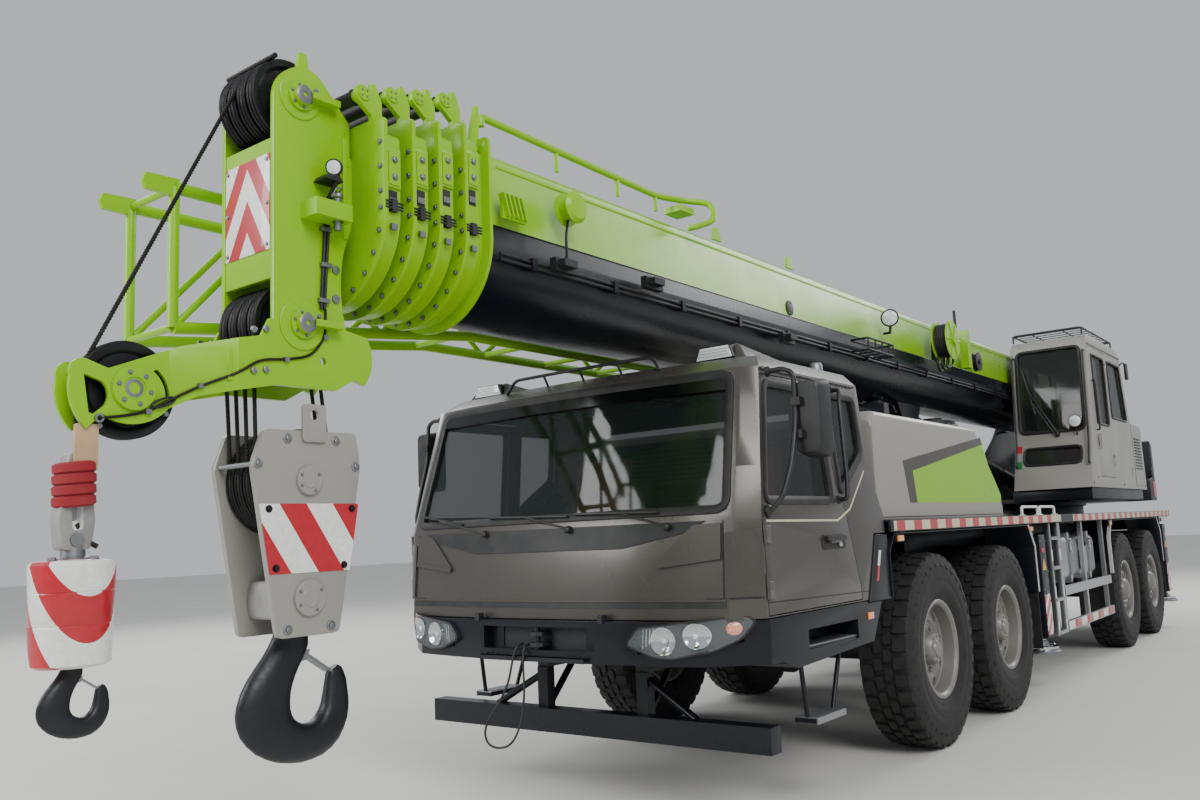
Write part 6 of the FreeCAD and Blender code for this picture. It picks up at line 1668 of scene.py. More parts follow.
def buildCollars():
    for k, (front, body) in enumerate(zip(boomSize["collars"], boomSize["bodies"])):
        top = boomSize["topZ"] - boomSize["pitch"] * k
        form = bmesh.new()
        # bolt circle of the front flange, along the U
        places = []
        for step in range(13):
            turn = math.radians(180 + 15 * step)
            places.append((front + 0.0005, 0.413 * math.cos(turn),
                           boomSize["axisZ"] + 0.413 * math.sin(turn)))
        for z in (3.2, 3.32, 3.44):
            places += [(front + 0.0005, s * 0.413, z) for s in (1, -1)]
        bolts(form, places, "x", 0.011, 1)
        for s in (1, -1):
            # slide pad cover, its bolts, and under it a flat black sheet for the slot: painted shade of the
            # slot's opening
            addPrism(form, [(front - 0.097, top - 0.238), (front - 0.03, top - 0.238),
                            (front - 0.03, top - 0.076), (front - 0.097, top - 0.076)], "y", s * 0.4335,
                     s * 0.4395)
            bolts(form, [(front - 0.063, s * 0.4395, top - 0.115), (front - 0.063, s * 0.4395, top - 0.2)],
                  Vector((0, s, 0)), 0.013, 1)
            addPrism(form, [(front - 0.09, top - 0.345), (front - 0.034, top - 0.345),
                            (front - 0.034, top - 0.262), (front - 0.09, top - 0.262)], "y", s * 0.4215,
                     s * 0.4235, index=2)
            addBox(form, (front - 0.084, s * 0.4235, top - 0.33), (front - 0.04, s * 0.43, top - 0.3), 1)
            # grease nipple block lower on the band
            addBox(form, (front - 0.08, s * 0.4215, 3.02), (front - 0.045, s * 0.436, 3.05), 1)
            # roller's end cover with bolts
            rollerX, rollerZ = front + 0.048, top + 0.205
            for b in range(4):
                turn = math.pi / 4 + b * math.pi / 2
                addLathe(form, (rollerX + 0.02 * math.cos(turn), s * 0.366, rollerZ + 0.02 * math.sin(turn)),
                         Vector((0, s, 0)), [(0.0, 0.005), (0.004, 0.005)], 6, 1)
        # rubber sleeve of the roller between two discs
        addLathe(form, (front + 0.048, -0.3, top + 0.205), "y",
                 [(0.0, 0.03), (0.002, 0.04), (0.012, 0.04), (0.014, 0.034), (0.586, 0.034), (0.588, 0.04),
                  (0.598, 0.04), (0.6, 0.03)], 24, 2)
        # cable clip with three leads on the left edge of the collar
        addBox(form, (front - 0.074, 0.4215, 3.105), (front - 0.04, 0.447, 3.165), 2)
        for lead in range(3):
            addBar(form, [(front - 0.11, 0.44, 3.12 + lead * 0.015), (front - 0.004, 0.44,
                                                                      3.12 + lead * 0.015)], 0.0055, 8, 2)
        makePiece("%s-collar_fittings" % body, form, ("limeEnamel", "galvanisedSteel", "blackRubber"), body)


def buildBoomSides():
    form = bmesh.new()
    half = boomSize["half"]
    for s in (1, -1):
        # weld bead along the colour seam, and the tube's long lap joint
        addBar(form, [(-7.9, s * (half + 0.0005), 3.215), (3.48, s * (half + 0.0005), 3.215)], 0.004, 6)
        addBox(form, (-7.6, s * half, 3.54), (3.4, s * (half + 0.004), 3.552), 1)
        # inspection cover
        addLathe(form, (0.083, s * half, 3.284), Vector((0, s, 0)), [(0.0, 0.062), (0.005, 0.062),
                                                                     (0.007, 0.054)], 28, 2)
        bolts(form, [(0.083 + 0.05 * math.cos(a), s * (half + 0.006), 3.284 + 0.05 * math.sin(a))
                     for a in (0.5, 2.1, 3.7, 5.2)], Vector((0, s, 0)), 0.005, 3)
    # cable tray and two hoses under the lime edge on the left side
    hose = [(-7.4, half + 0.03, 3.02), (-4.9, half + 0.026, 3.05), (-0.2, half + 0.024, 3.06),
            (3.42, half + 0.024, 3.06)]
    for drop in (0.0, 0.03):
        addBar(form, [(x, y, z - drop) for x, y, z in hose], 0.01, 8, 4)
    for k in range(15):
        x = -7.2 + k * 0.74
        z = 3.02 + 0.03 * min(1.0, max(0.0, (x + 7.4) / 2.5)) + 0.01 * min(1.0, max(0.0, (x + 4.9) / 4.7))
        addBox(form, (x - 0.02, half - 0.001, z - 0.05), (x + 0.02, half + 0.042, z + 0.018), 1)
    makePiece("boom-side_fittings", form, ("charcoalEnamel", "boomEnamel", "blackPlastic", "galvanisedSteel",
                                           "blackRubber"), "boom")


def buildJibMounts():
    # brackets that carry the stowed jib on the boom's right side
    form = bmesh.new()
    for x in (-3.6, 1.1, 3.1):
        addPrism(form, [(x - 0.09, 2.99), (x + 0.09, 2.99), (x + 0.07, 3.15), (x - 0.07, 3.15)], "y", -0.56,
                 -0.378)
        addBar(form, [(x, -0.38, 3.4), (x, -0.56, 3.345)], 0.022)
        addLathe(form, (x, -0.592, 3.345), "y", [(0.0, 0.04), (0.06, 0.04)], 18, 1)
    makePiece("boom-jib_brackets", form, ("navyEnamel", "galvanisedSteel"), "boom", bevel=0.004)


buildCollars()
buildBoomSides()
buildJibMounts()
for nodeName, bodyName in (("boom_base", "boom"), ("boom_section_1", "section_1"),
                           ("boom_section_2", "section_2"), ("boom_section_3", "section_3")):
    softenNode(nodeName, bodyName, "boomEnamel", 0.004)
print("boom ready")

# ---- boom head: sheaves with rope, pin keepers, marker board, lamp, hoses and the nose's rigging

headSize = {"half": 0.205, "topSheave": (4.525, 3.625), "lowSheave": (4.515, 2.555), "sheaveR": 0.2,
            "rows": (-0.111, -0.037, 0.037, 0.111), "nose": (5.21, 2.22)}


def addSheave(form, x, z, y, radius, width=0.056, bore=0.045, index=0, ropeIndex=1, rope=True):
    # cast sheave: round groove, thin web and hub, with the rope lying in the groove
    h = width / 2
    ring = [(-h, bore), (-h, bore + 0.035), (-0.01, bore + 0.045), (-0.01, radius - 0.05),
            (-h + 0.004, radius - 0.034), (-h, radius - 0.006), (-h + 0.005, radius),
            (-0.0145, radius - 0.004), (-0.011, radius - 0.018), (-0.006, radius - 0.023),
            (0.006, radius - 0.023), (0.011, radius - 0.018), (0.0145, radius - 0.004), (h - 0.005, radius),
            (h, radius - 0.006), (h - 0.004, radius - 0.034), (0.01, radius - 0.05), (0.01, bore + 0.045),
            (h, bore + 0.035), (h, bore)]
    addLathe(form, (x, y, z), "y", ring, 48, index, "loop")
    if rope:
        r = radius - 0.011
        coil = [(0.01 * math.cos(a), r + 0.01 * math.sin(a)) for a in (2 * math.pi * k / 8 for k in range(8))]
        addLathe(form, (x, y, z), "y", coil, 48, ropeIndex, "loop")


def buildSheaves():
    form = bmesh.new()
    for x, z in (headSize["topSheave"], headSize["lowSheave"]):
        for y in headSize["rows"]:
            addSheave(form, x, z, y, headSize["sheaveR"])
        for y in (-0.15, -0.074, 0.0, 0.074, 0.15):
            addLathe(form, (x, y - 0.006, z), "y", [(0.0, 0.075), (0.012, 0.075)], 24, 2)
    addSheave(form, *headSize["nose"], 0.0, 0.2, 0.054, 0.04)
    makePiece("head_sheaves-wound", form, ("sheaveIron", "wireRope", "limeEnamel"), "head",
              replaced="head_sheaves")


def buildHeadFittings():
    half = headSize["half"]
    form = bmesh.new()
    lime, steel, black, board, lens, rope = 0, 1, 2, 3, 4, 5
    addBox(form, (4.6555, -0.172, 2.885), (4.66, 0.172, 3.33), board)
    bolts(form, [(4.66, s * 0.155, z) for s in (1, -1) for z in (2.91, 3.1, 3.305)], "x", 0.008, steel)
    # rope guard bars ahead of the sheave stacks
    for x, z in ((4.64, 3.795), (4.69, 2.43)):
        addLathe(form, (x, -0.19, z), "y", [(0.0, 0.012), (0.38, 0.012)], 12, rope)
    for x, z in (headSize["topSheave"], headSize["lowSheave"]):
        for s in (1, -1):
            # pin end with keeper plate and two bolts
            side = Vector((0, s, 0))
            addLathe(form, (x, s * (half + 0.045), z), side, [(-0.02, 0.043), (0.003, 0.043), (0.006, 0.036),
                                                              (0.006, 0.012), (-0.004, 0.012), (-0.004, 0.0)],
                     28, steel)
            addPrism(form, [(x - 0.085, z + 0.028), (x + 0.01, z + 0.028), (x + 0.01, z + 0.052),
                            (x - 0.085, z + 0.052)], "y", s * (half + 0.01), s * (half + 0.034), index=lime)
            bolts(form, [(x - 0.068, s * (half + 0.034), z + 0.04), (x - 0.01, s * (half + 0.034), z + 0.04)],
                  side, 0.01, steel)
            ring = [(x + 0.053 * math.cos(a), s * (half + 0.022), z + 0.053 * math.sin(a))
                    for a in (math.pi * k / 3 + 0.3 for k in range(6))]
            bolts(form, ring, side, 0.006, steel)
    for s in (1, -1):
        side = Vector((0, s, 0))
        # pins of the jib's box tubes, with spring clips
        addLathe(form, (4.37, s * 0.28, 3.005), "z", [(0.0, 0.014), (0.0, 0.017), (0.15, 0.017),
                                                      (0.158, 0.026), (0.172, 0.026), (0.176, 0.018)], 16,
                 steel)
        addBar(form, [(4.37, s * 0.28, 3.18), (4.37, s * 0.315, 3.2), (4.405, s * 0.318, 3.19),
                      (4.42, s * 0.3, 3.15)], 0.004, 6, steel)
        # doubler plate with its bolts around the low pin
        addLathe(form, (4.515, s * (half - 0.001), 2.555), side, [(0.0, 0.118), (0.007, 0.118),
                                                                  (0.009, 0.112)], 40, lime)
        addLathe(form, (4.525, s * (half - 0.001), 3.625), side, [(0.0, 0.108), (0.007, 0.108),
                                                                  (0.009, 0.102)], 40, lime)
        # edge doubler down the plate's rear
        addPrism(form, [(4.262, 3.0), (4.285, 3.0), (4.285, 3.5), (4.262, 3.5)], "y", s * half,
                 s * (half + 0.008), index=lime)
        for z in (2.7, 2.84):
            addLathe(form, (4.33, s * half, z), side, [(0.0, 0.02), (0.01, 0.02), (0.01, 0.0)], 16, steel)
    # work lamp on its bracket
    addPrism(form, [(4.35, 3.235), (4.45, 3.235), (4.43, 3.262), (4.37, 3.262)], "y", 0.204, 0.3, black)
    addLathe(form, (4.39, 0.285, 3.302), Vector((0.75, 0.55, -0.25)),
             [(-0.055, 0.014), (-0.048, 0.026), (-0.01, 0.038), (0.012, 0.04), (0.016, 0.036)], 28, black)
    addLathe(form, (4.39, 0.285, 3.302), Vector((0.75, 0.55, -0.25)), [(0.008, 0.034), (0.017, 0.032),
                                                                       (0.02, 0.0)], 28, lens)
    # hoses from the lamp down the plate, clamped
    for shift in (0.0, 0.018):
        path = [(4.372, 0.292, 3.27), (4.372 + shift, 0.25, 3.18), (4.374 + shift, half + 0.012, 3.15),
                (4.376 + shift, half + 0.01, 2.99), (4.384 + shift, half + 0.01, 2.88),
                (4.392 + shift, half + 0.01, 2.76), (4.398 + shift, half + 0.01, 2.64)]
        addBar(form, roundPath(path), 0.008, 8, black)
    for x, z in ((4.384, 3.14), (4.386, 3.02), (4.386, 2.85), (4.398, 2.68)):
        addBox(form, (x - 0.024, half - 0.001, z - 0.01), (x + 0.032, half + 0.022, z + 0.01), steel)
    makePiece("head-fittings", form, ("limeEnamel", "galvanisedSteel", "blackRubber", "chevronBoard",
                                      "lampGlass", "wireRope"), "head", bevel=0.002)


def buildNose():
    x, z = headSize["nose"]
    form = bmesh.new()
    lime, steel, black, rope = range(4)
    for s in (1, -1):
        side = Vector((0, s, 0))
        face = 0.078
        addLathe(form, (x, s * face, z), side, [(-0.004, 0.09), (0.004, 0.088), (0.006, 0.08), (0.006, 0.046),
                                                (-0.006, 0.042), (-0.006, 0.0)], 40, lime)
        bolts(form, [(x + 0.066 * math.cos(a), s * (face + 0.006), z + 0.066 * math.sin(a))
                     for a in (math.pi * k / 3 + 0.2 for k in range(6))], side, 0.008, steel)
        addLathe(form, (x, s * (face - 0.006), z), side, [(0.0, 0.04), (0.006, 0.038), (0.008, 0.024),
                                                          (0.002, 0.022), (0.002, 0.0)], 28, steel)
        # splice bolts on the splayed part
        for bx, bz in ((4.7, 2.51), (4.76, 2.5), (4.7, 2.33), (4.76, 2.32)):
            addLathe(form, (bx, s * 0.205, bz), side, [(0.0, 0.016), (0.01, 0.016), (0.012, 0.012)], 6, steel)
    # thin anti-two-block cable clipped along the lower edge of the left plate, up to the head's hoses
    cable = [(5.345, 0.073, 2.092), (5.25, 0.073, 2.106), (5.15, 0.073, 2.13), (5.06, 0.074, 2.185),
             (4.96, 0.136, 2.245), (4.83, 0.213, 2.305), (4.73, 0.212, 2.372), (4.6, 0.212, 2.385),
             (4.47, 0.212, 2.415), (4.392, 0.212, 2.51), (4.392, 0.214, 2.64)]
    addBar(form, roundPath(cable), 0.006, 8, rope)
    addLathe(form, cable[0], "y", [(-0.005, 0.01), (-0.005, 0.018), (0.005, 0.018), (0.005, 0.01)], 18, steel,
             "loop")
    for cx, cy, cz in (cable[2], cable[4], cable[7], cable[9]):
        addBox(form, (cx - 0.012, cy - 0.01, cz - 0.01), (cx + 0.012, cy + 0.009, cz + 0.01), steel)
    # spare loop of the same cable, tied to it
    spare = [(5.09 + 0.05 * math.cos(a), 0.0795, 2.172 + 0.016 * math.sin(a) - 0.35 * 0.05 * math.cos(a))
             for a in (2 * math.pi * k / 16 for k in range(17))]
    addBar(form, spare, 0.005, 6, black)
    # rope guide bars under and over the nose sheave
    for gx, gz in ((5.395, 2.29), (5.33, 2.065), (5.06, 2.13)):
        addLathe(form, (gx, -0.05, gz), "y", [(0.0, 0.01), (0.1, 0.01)], 12, steel)
    makePiece("nose-fittings", form, ("limeEnamel", "galvanisedSteel", "blackRubber", "wireRope"), "head")


buildSheaves()
buildHeadFittings()
buildNose()
softenNode("boom_head", "head", "limeEnamel", 0.005)
print("head ready")

# ---- hook blocks and hooks

blockSize = {"x": 4.45, "half": 0.16, "cheek": 0.03, "sheaveZ": 1.86, "sheaveR": 0.235}


def outerTangent(centreA, reachA, centreB, reachB, side=1):
    # ends of the straight rope that touches both circles on their front (1) or rear (-1) side
    dx, dz = centreA[0] - centreB[0], centreA[1] - centreB[1]
    turn = -math.atan2(dx, dz) - side * math.asin((reachA - reachB) / math.hypot(dx, dz))
    nx, nz = side * math.cos(turn), side * math.sin(turn)
    return (centreA[0] + reachA * nx, centreA[1] + reachA * nz), (centreB[0] + reachB * nx,
                                                                  centreB[1] + reachB * nz)


def buildMainBlock():
    form = bmesh.new()
    paint, band, steel, black, rope, cast = range(6)
    half, inner = blockSize["half"], blockSize["half"] - blockSize["cheek"]
    outline = [(4.677, 2.082), (4.182, 2.086), (4.16, 1.925), (4.286, 1.18), (4.609, 1.18), (4.735, 1.925)]
    plates = bmesh.new()
    for s in (1, -1):
        addPrism(plates, roundedOutline(outline, 0.03), "y", s * inner, s * half, index=paint)
    hole = bmesh.new()
    addLathe(hole, (4.426, 0.1, 2.155), "y", [(0.0, 0.022), (0.15, 0.022)], 24)
    lug = bmesh.new()
    addPrism(lug, roundedOutline([(4.36, 2.032), (4.488, 2.032), (4.488, 2.204), (4.36, 2.204)], 0.02, 3),
             "y", half, half + 0.015, paint)
    absorb(plates, carve(lug, hole))
    softEdges(plates, 0.005)
    absorb(form, plates)
    for s in (1, -1):
        side = Vector((0, s, 0))
        # reflective band, bolted on
        addPrism(form, [(4.702, 1.757), (4.176, 1.757), (4.23, 1.455), (4.65, 1.455)], "y", s * half,
                 s * (half + 0.0035), index=band)
        bolts(form, [(4.655, s * (half + 0.003), 1.735), (4.215, s * (half + 0.003), 1.735),
                     (4.62, s * (half + 0.003), 1.48), (4.262, s * (half + 0.003), 1.48)], side, 0.013, black)
        # bosses of the sheave pin and the hook's crosshead, with keeper plates
        for z, radius in ((blockSize["sheaveZ"], 0.066), (1.345, 0.08)):
            addLathe(form, (blockSize["x"], s * half, z), side,
                     [(-0.004, radius), (0.014, radius), (0.018, radius - 0.004), (0.018, radius * 0.55),
                      (0.022, radius * 0.5), (0.022, 0.0)], 40, paint)
            bolts(form, [(blockSize["x"] + radius * 0.78 * math.cos(a), s * (half + 0.018),
                          z + radius * 0.78 * math.sin(a)) for a in (0.5, 2.6, 4.2, 5.8)], side, 0.006, steel)
        # corner rods
        for x, z in ((4.19, 1.93), (4.708, 1.93), (4.56, 2.045), (4.3, 2.045), (4.56, 1.215), (4.335, 1.215)):
            addLathe(form, (x, s * half, z), side, [(-0.002, 0.022), (0.004, 0.022), (0.006, 0.018)], 20,
                     steel)
            addLathe(form, (x, s * half, z), side, [(0.004, 0.014), (0.014, 0.014), (0.016, 0.011)], 6, steel)
    for x, z in ((4.19, 1.93), (4.708, 1.93), (4.56, 2.045), (4.3, 2.045)):
        addLathe(form, (x, -inner - 0.002, z), "y", [(0.0, 0.012), (inner * 2 + 0.004, 0.012)], 16, steel)
    # light casting that carries the hook, open at its sides
    body = bmesh.new()
    addPrism(body, roundedOutline([(4.34, 1.255), (4.56, 1.255), (4.575, 1.34), (4.56, 1.425), (4.34, 1.425),
                                   (4.325, 1.34)], 0.02, 3), "y", -inner - 0.001, inner + 0.001, cast)
    bore = bmesh.new()
    addLathe(bore, (blockSize["x"], 0.0, 1.2), "z", [(0.0, 0.048), (0.185, 0.048)])
    absorb(form, carve(body, bore))
    for y in (-0.098, -0.033, 0.033, 0.098):
        addSheave(form, blockSize["x"], blockSize["sheaveZ"], y, blockSize["sheaveR"], 0.052, 0.05, black,
                  rope)
    for y in (-0.128, -0.066, 0.0, 0.066, 0.128):
        addLathe(form, (blockSize["x"], y - 0.005, blockSize["sheaveZ"]), "y", [(0.0, 0.07), (0.01, 0.07)],
                 24, paint)
    reach = -0.0125
    for side, rows in ((1, (0, 1, 2, 3)), (-1, (1, 2))):
        top, low = outerTangent((4.515, 2.555), 0.2 + reach, (blockSize["x"], blockSize["sheaveZ"]),
                                0.235 + reach, side)
        for k in rows:
            yLow, yTop = (-0.098, -0.033, 0.033, 0.098)[k], headSize["rows"][k]
            addTwistedRope(form, (low[0], yLow, low[1]), (top[0], yTop, top[1]), 0.0105, rope)
    makePiece("main_block-plates_and_ropes", form, ("warmGreyEnamel", "hazardBand", "galvanisedSteel",
                                                    "sheaveIron", "wireRope", "castGrey"), "main_block",
              replaced="main_block")


def addTwistedRope(form, low, high, radius, index=0, strands=6, lay=0.09):
    # laid wire rope: a star-shaped section that turns once per lay length
    a, b = Vector(low), Vector(high)
    way = (b - a).normalized()
    side = way.orthogonal().normalized()
    other = way.cross(side)
    count = max(2, int((b - a).length / lay * 6))
    rings = []
    for k in range(count + 1):
        middle = a + (b - a) * k / count
        turn = 2 * math.pi * (b - a).length * k / count / lay
        ring = []
        for i in range(strands * 2):
            angle = turn + math.pi * i / strands
            r = radius * (1.0 if i % 2 == 0 else 0.8)
            ray = side * math.cos(angle) + other * math.sin(angle)
            ring.append(form.verts.new(at(*(middle + ray * r))))
        rings.append(ring)
    for ringA, ringB in zip(rings, rings[1:]):
        for i in range(strands * 2):
            form.faces.new((ringA[i], ringA[(i + 1) % len(ringA)], ringB[(i + 1) % len(ringB)],
                            ringB[i])).material_index = index
    form.faces.new(rings[0][::-1]).material_index = index
    form.faces.new(rings[-1]).material_index = index


# outer x, z, inner x, z, half thickness of the forged hook, from the shank to the point
hookSections = [(4.497, 1.25, 4.403, 1.25, 0.046), (4.521, 1.179, 4.351, 1.162, 0.052),
                (4.578, 1.092, 4.36, 1.105, 0.055), (4.652, 1.002, 4.398, 1.045, 0.06),
                (4.7, 0.9, 4.432, 0.975, 0.063), (4.7, 0.815, 4.447, 0.905, 0.065),
                (4.652, 0.732, 4.438, 0.835, 0.066), (4.555, 0.66, 4.398, 0.795, 0.066),
                (4.445, 0.625, 4.345, 0.783, 0.064), (4.33, 0.62, 4.305, 0.795, 0.06),
                (4.224, 0.652, 4.282, 0.82, 0.054), (4.152, 0.728, 4.268, 0.845, 0.048),
                (4.122, 0.82, 4.26, 0.875, 0.042), (4.127, 0.908, 4.251, 0.922, 0.036),
                (4.146, 0.987, 4.243, 0.965, 0.029), (4.183, 1.022, 4.234, 0.998, 0.02)]


def buildHook(name, body, shift, scale, shankTop, shankR, replaced):
    def place(x, y, z):
        return at(shift[0] + (x - 4.45) * scale, y * scale, shift[1] + (z - 0.787) * scale)
    form = bmesh.new()
    sides = 20
    rings = []
    for outX, outZ, inX, inZ, half in hookSections:
        middle = ((outX + inX) / 2, (outZ + inZ) / 2)
        reach = ((outX - inX) / 2, (outZ - inZ) / 2)
        ring = []
        for k in range(sides):
            a = 2 * math.pi * k / sides
            # egg-shaped section, widest near the inner side of the bend
            wide = 1.0 - 0.18 * math.cos(a)
            c = math.copysign(abs(math.cos(a)) ** 0.85, math.cos(a))
            ring.append(form.verts.new(place(middle[0] + reach[0] * c, half * wide * math.sin(a),
                                             middle[1] + reach[1] * c)))
        rings.append(ring)
    for ringA, ringB in zip(rings, rings[1:]):
        for k in range(sides):
            form.faces.new((ringA[k], ringB[k], ringB[(k + 1) % sides], ringA[(k + 1) % sides]))
    form.faces.new(rings[0])
    form.faces.new(rings[-1][::-1])
    bmesh.ops.recalc_face_normals(form, faces=form.faces)
    bmesh.ops.subdivide_edges(form, edges=form.edges[:], cuts=1, use_grid_fill=True, smooth=0.6)
    low = shift[1] + (1.235 - 0.787) * scale
    addLathe(form, (shift[0], 0.0, low), "z", [(0.0, shankR), (shankTop - low, shankR)], 28)
    # safety latch: bent sheet from the shank to the point, with its spring
    latch = bmesh.new()
    for p, q in (((4.372, 1.092), (4.232, 0.998)),):
        way = Vector((q[0] - p[0], 0, q[1] - p[1])).normalized()
        across = Vector((-way.z, 0, way.x)) * 0.006
        for y0, y1 in ((-0.03, 0.03),):
            corners = [(p[0] + across.x, p[1] + across.z), (q[0] + across.x, q[1] + across.z),
                       (q[0] - across.x, q[1] - across.z), (p[0] - across.x, p[1] - across.z)]
            points = [place(x, y0, z) for x, z in corners] + [place(x, y1, z) for x, z in corners]
            addFaces(latch, points, [(3, 2, 1, 0), (4, 5, 6, 7), (0, 1, 5, 4), (1, 2, 6, 5), (2, 3, 7, 6),
                                     (3, 0, 4, 7)], 1)
    for s in (1, -1):
        ear = [(4.355, 1.11), (4.405, 1.11), (4.405, 1.06), (4.372, 1.066)]
        points = [place(x, s * 0.03, z) for x, z in ear] + [place(x, s * 0.036, z) for x, z in ear]
        addFaces(latch, points, [(3, 2, 1, 0), (4, 5, 6, 7), (0, 1, 5, 4), (1, 2, 6, 5), (2, 3, 7, 6),
                                 (3, 0, 4, 7)], 1)
    absorb(form, latch)
    makePiece(name, form, ("forgedIron", "galvanisedSteel"), body, replaced=replaced)


def buildAuxBlock():
    form = bmesh.new()
    x = 5.3973
    steel, rope, cast, red, tan, band = range(1, 7)
    # ball weight in three cast discs
    addLathe(form, (x, 0.0, 1.16), "z", [(0.0, 0.034), (0.0, 0.12), (0.012, 0.1405), (0.15, 0.145),
                                         (0.154, 0.1425), (0.158, 0.145), (0.272, 0.1485), (0.276, 0.146),
                                         (0.28, 0.149), (0.376, 0.1515), (0.39, 0.14), (0.396, 0.07),
                                         (0.396, 0.045)], 48, band)
    bolts(form, [(x + 0.1 * math.cos(a), 0.1 * math.sin(a), 1.552) for a in (0.4, 1.97, 3.54, 5.11)], "z",
          0.014, steel)
    # swivel and neck
    addLathe(form, (x, 0.0, 1.548), "z", [(0.0, 0.06), (0.014, 0.06), (0.018, 0.044), (0.06, 0.042),
                                          (0.066, 0.03), (0.09, 0.03)], 32, steel)
    # wedge socket: cast body with an oblong slot, wedge and rope
    outline = [(x - 0.05, 1.59), (x + 0.06, 1.59), (x + 0.072, 1.7), (x + 0.038, 1.96), (x - 0.034, 1.96),
               (x - 0.066, 1.7)]
    body = bmesh.new()
    addPrism(body, roundedOutline(outline, 0.02, 3), "y", -0.038, 0.038, cast)
    slot = bmesh.new()
    addPrism(slot, roundedOutline([(x - 0.018, 1.665), (x + 0.022, 1.665), (x + 0.024, 1.84),
                                   (x - 0.014, 1.84)], 0.018), "y", -0.06, 0.06)
    socket = carve(body, slot)
    softEdges(socket, 0.006)
    absorb(form, socket)
    addLathe(form, (x + 0.004, -0.046, 1.628), "y", [(0.0, 0.018), (0.0, 0.026), (0.092, 0.026),
                                                     (0.092, 0.018)], 20, steel)
    addPrism(form, roundedOutline([(x - 0.006, 1.7), (x + 0.016, 1.7), (x + 0.02, 1.9), (x - 0.006, 1.9)],
                                  0.008, 3), "y", -0.014, 0.014, steel)
    addTwistedRope(form, (x, 0.0, 1.78), (x, 0.0, 2.22), 0.0105, rope)
    # short dead end of the rope, tied back with a clip
    addBar(form, roundPath([(x - 0.012, 0.0, 1.69), (x - 0.044, 0.022, 1.62), (x - 0.07, 0.045, 1.6)], 0.03),
           0.01, 8, rope)
    # fibre plate tied beside the socket, and a red cloth wound round it
    addPrism(form, roundedRectangle(x - 0.062, x + 0.028, 1.89, 2.07, 0.01, 3), "y", 0.04, 0.052, tan)
    for k in range(4):
        addLathe(form, (x, 0.0, 1.755 + 0.042 * k), (0.1, 0.05 - 0.02 * k, 1.0),
                 [(0.0, 0.066), (0.008, 0.078), (0.036, 0.078), (0.044, 0.066)], 22, red, "loop")
    makePiece("aux_block-weight_and_socket", form, ("whitePaint", "galvanisedSteel", "wireRope", "castGrey",
                                                    "redCloth", "tanPlate", "auxBand"), "aux_block",
              replaced="aux_block")


def buildHeadRope():
    # hoist rope from the upper sheave over the nose sheave, at the head's middle
    upper, nose = headSize["topSheave"], headSize["nose"]
    start, end = outerTangent(upper, headSize["sheaveR"] - 0.012, nose, 0.188)
    form = bmesh.new()
    addTwistedRope(form, (start[0], 0.0, start[1]), (end[0], 0.0, end[1]), 0.0105)
    makePiece("head-hoist_rope", form, "wireRope", "head")


buildMainBlock()
buildHeadRope()
buildHook("main_hook-forged", "main_hook", (4.45, 0.787), 1.0, 1.378, 0.046, "main_hook")
buildHook("aux_hook-forged", "aux_hook", (5.3973, 0.972), 0.46, 1.258, 0.022, "aux_hook")
buildAuxBlock()
print("hooks ready")

# ---- seats: sewn pads swollen by a short cloth simulation, on plain bases

padRules = {"pressure": 4.0, "frames": 20, "cap": 0.024, "voxel": 0.012, "gap": 0.01}


def padForm(profile, low, high):
    # profile: x, z corners of the pad seen from the side; slightly smaller than the space it fills
    middle = sum((Vector(p) for p in profile), Vector((0.0, 0.0))) / len(profile)
    inward = [Vector(p) + (middle - Vector(p)).normalized() * padRules["gap"] for p in profile]
    form = bmesh.new()
    outline = roundedOutline([tuple(p) for p in inward], 0.035)
    addPrism(form, outline, "y", low + padRules["gap"], high - padRules["gap"])
    softEdges(form, 0.018, 3, 30.0)
    bmesh.ops.recalc_face_normals(form, faces=form.faces)
    return form


def swell(item):
    # remeshed evenly, blown up a little, no point moved further than the cap
    remesh = item.modifiers.new("even", "REMESH")
    remesh.mode = "VOXEL"
    remesh.voxel_size = padRules["voxel"]
    graph = bpy.context.evaluated_depsgraph_get()
    even = bpy.data.meshes.new_from_object(item.evaluated_get(graph))
    item.modifiers.remove(remesh)
    item.data = even
    before = [v.co.copy() for v in even.vertices]
    cloth = item.modifiers.new("swell", "CLOTH")
    settings = cloth.settings
    settings.quality = 4
    settings.mass = 0.3
    settings.tension_stiffness = 30.0
    settings.compression_stiffness = 30.0
    settings.bending_stiffness = 0.4
    settings.use_pressure = True
    settings.uniform_pressure_force = padRules["pressure"]
    settings.effector_weights.gravity = 0.0
    cloth.point_cache.frame_start = 1
    cloth.point_cache.frame_end = padRules["frames"]
    scene = bpy.context.scene
    for number in range(1, padRules["frames"] + 1):
        scene.frame_set(number)
    graph = bpy.context.evaluated_depsgraph_get()
    blown = bpy.data.meshes.new_from_object(item.evaluated_get(graph))
    item.modifiers.remove(cloth)
    for vert, start in zip(blown.vertices, before):
        move = vert.co - start
        if move.length > padRules["cap"]:
            vert.co = start + move.normalized() * padRules["cap"]
    item.data = blown
    scene.frame_set(1)


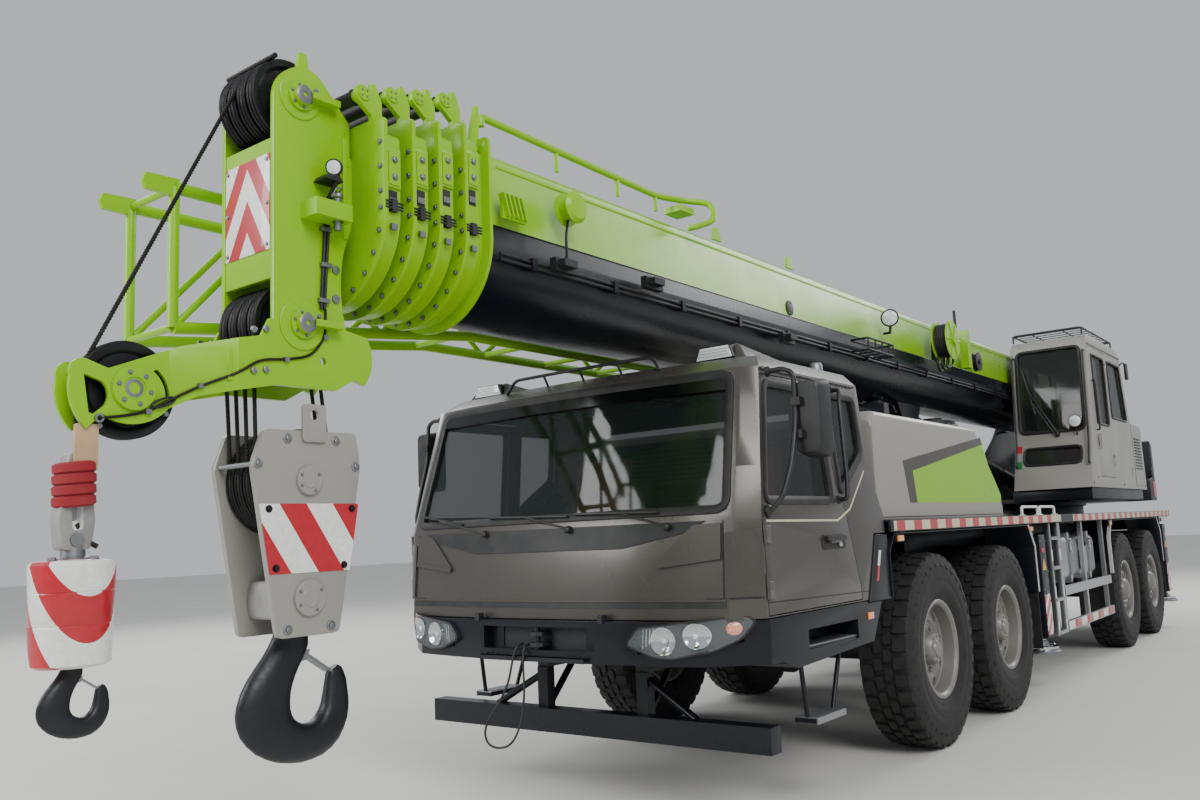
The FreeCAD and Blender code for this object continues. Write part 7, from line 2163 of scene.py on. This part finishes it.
def makePad(name, profile, low, high, body, surface, replaced):
    form = padForm(profile, low, high)
    mesh = bpy.data.meshes.new(name)
    form.to_mesh(mesh)
    form.free()
    item = bpy.data.objects.new(name, mesh)
    bpy.context.scene.collection.objects.link(item)
    swell(item)
    side = Vector((profile[2][0] - profile[1][0], profile[2][1] - profile[1][1])).normalized()
    outward = Vector((side.y, 0.0, -side.x))
    middle = at(sum(p[0] for p in profile) / 4, 0, sum(p[1] for p in profile) / 4)
    # two sewn channels along the pad, 5 mm deep
    for vert in item.data.vertices:
        share = (vert.co.y - low) / (high - low)
        for seam in (0.24, 0.76):
            near = max(0.0, 1.0 - abs(share - seam) * (high - low) / 0.016)
            front = 1.0 if (vert.co - middle).dot(outward) > 0 else -1.0
            vert.co -= outward * 0.005 * near * near * front
    item.data.materials.clear()
    item.data.materials.append(finishes[surface])
    item.data.shade_smooth()
    smooth = item.modifiers.new("round", "SUBSURF")
    smooth.levels = 1
    smooth.render_levels = 1
    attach(item, body)
    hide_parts(replaced)
    return item


def buildSeats():
    for label, x, y, low, half, body, replaced in (("driver", 1.56, 0.62, 1.145, 0.26, "carrier", "seats"),
                                                   ("passenger", 1.56, -0.62, 1.145, 0.26, "carrier",
                                                    "seats"), ("operator", -6.7, 0.8725, 1.92, 0.25,
                                                               "superstructure", "operator_seat")):
        rise = 0.18 if body == "carrier" else 0.33
        form = bmesh.new()
        # pedestal with a bellows, tray and side lever
        addBox(form, (x - 0.17, y - half * 0.66, low), (x + 0.19, y + half * 0.66, low + rise * 0.25))
        for k in range(4):
            z = low + rise * (0.25 + 0.15 * k)
            inset = 0.02 if k % 2 else 0.0
            addBox(form, (x - 0.15 + inset, y - half * 0.58 + inset, z),
                   (x + 0.17 - inset, y + half * 0.58 - inset, z + rise * 0.15))
        addBox(form, (x - 0.22, y - half * 0.84, low + rise * 0.85), (x + 0.23, y + half * 0.84, low + rise))
        addBar(form, [(x + 0.05, y + half * 0.84, low + rise * 0.92), (x + 0.18, y + half * 0.96,
                                                                       low + rise * 0.96)], 0.008, 8, 1)
        makePiece("seat_%s-base" % label, form, ("blackPlastic", "chromedSteel"), body, replaced=replaced,
                  bevel=0.006)
        back = low + rise + (0.11 if body == "carrier" else 0.12)
        lean = 0.71 if body == "carrier" else 0.7
        makePad("seat_%s-cushion" % label, [(x - 0.245, low + rise), (x + 0.265, low + rise),
                                            (x + 0.265, low + rise + 0.118), (x - 0.245, low + rise + 0.108)],
                y - half + 0.005, y + half - 0.005, body, "redCloth", replaced)
        makePad("seat_%s-back" % label, [(x - 0.25, back + 0.008), (x - 0.115, back + 0.008),
                                         (x - 0.235, back + lean), (x - 0.355, back + lean)], y - half + 0.01,
                y + half - 0.01, body, "redCloth", replaced)


buildSeats()
print("seats ready")
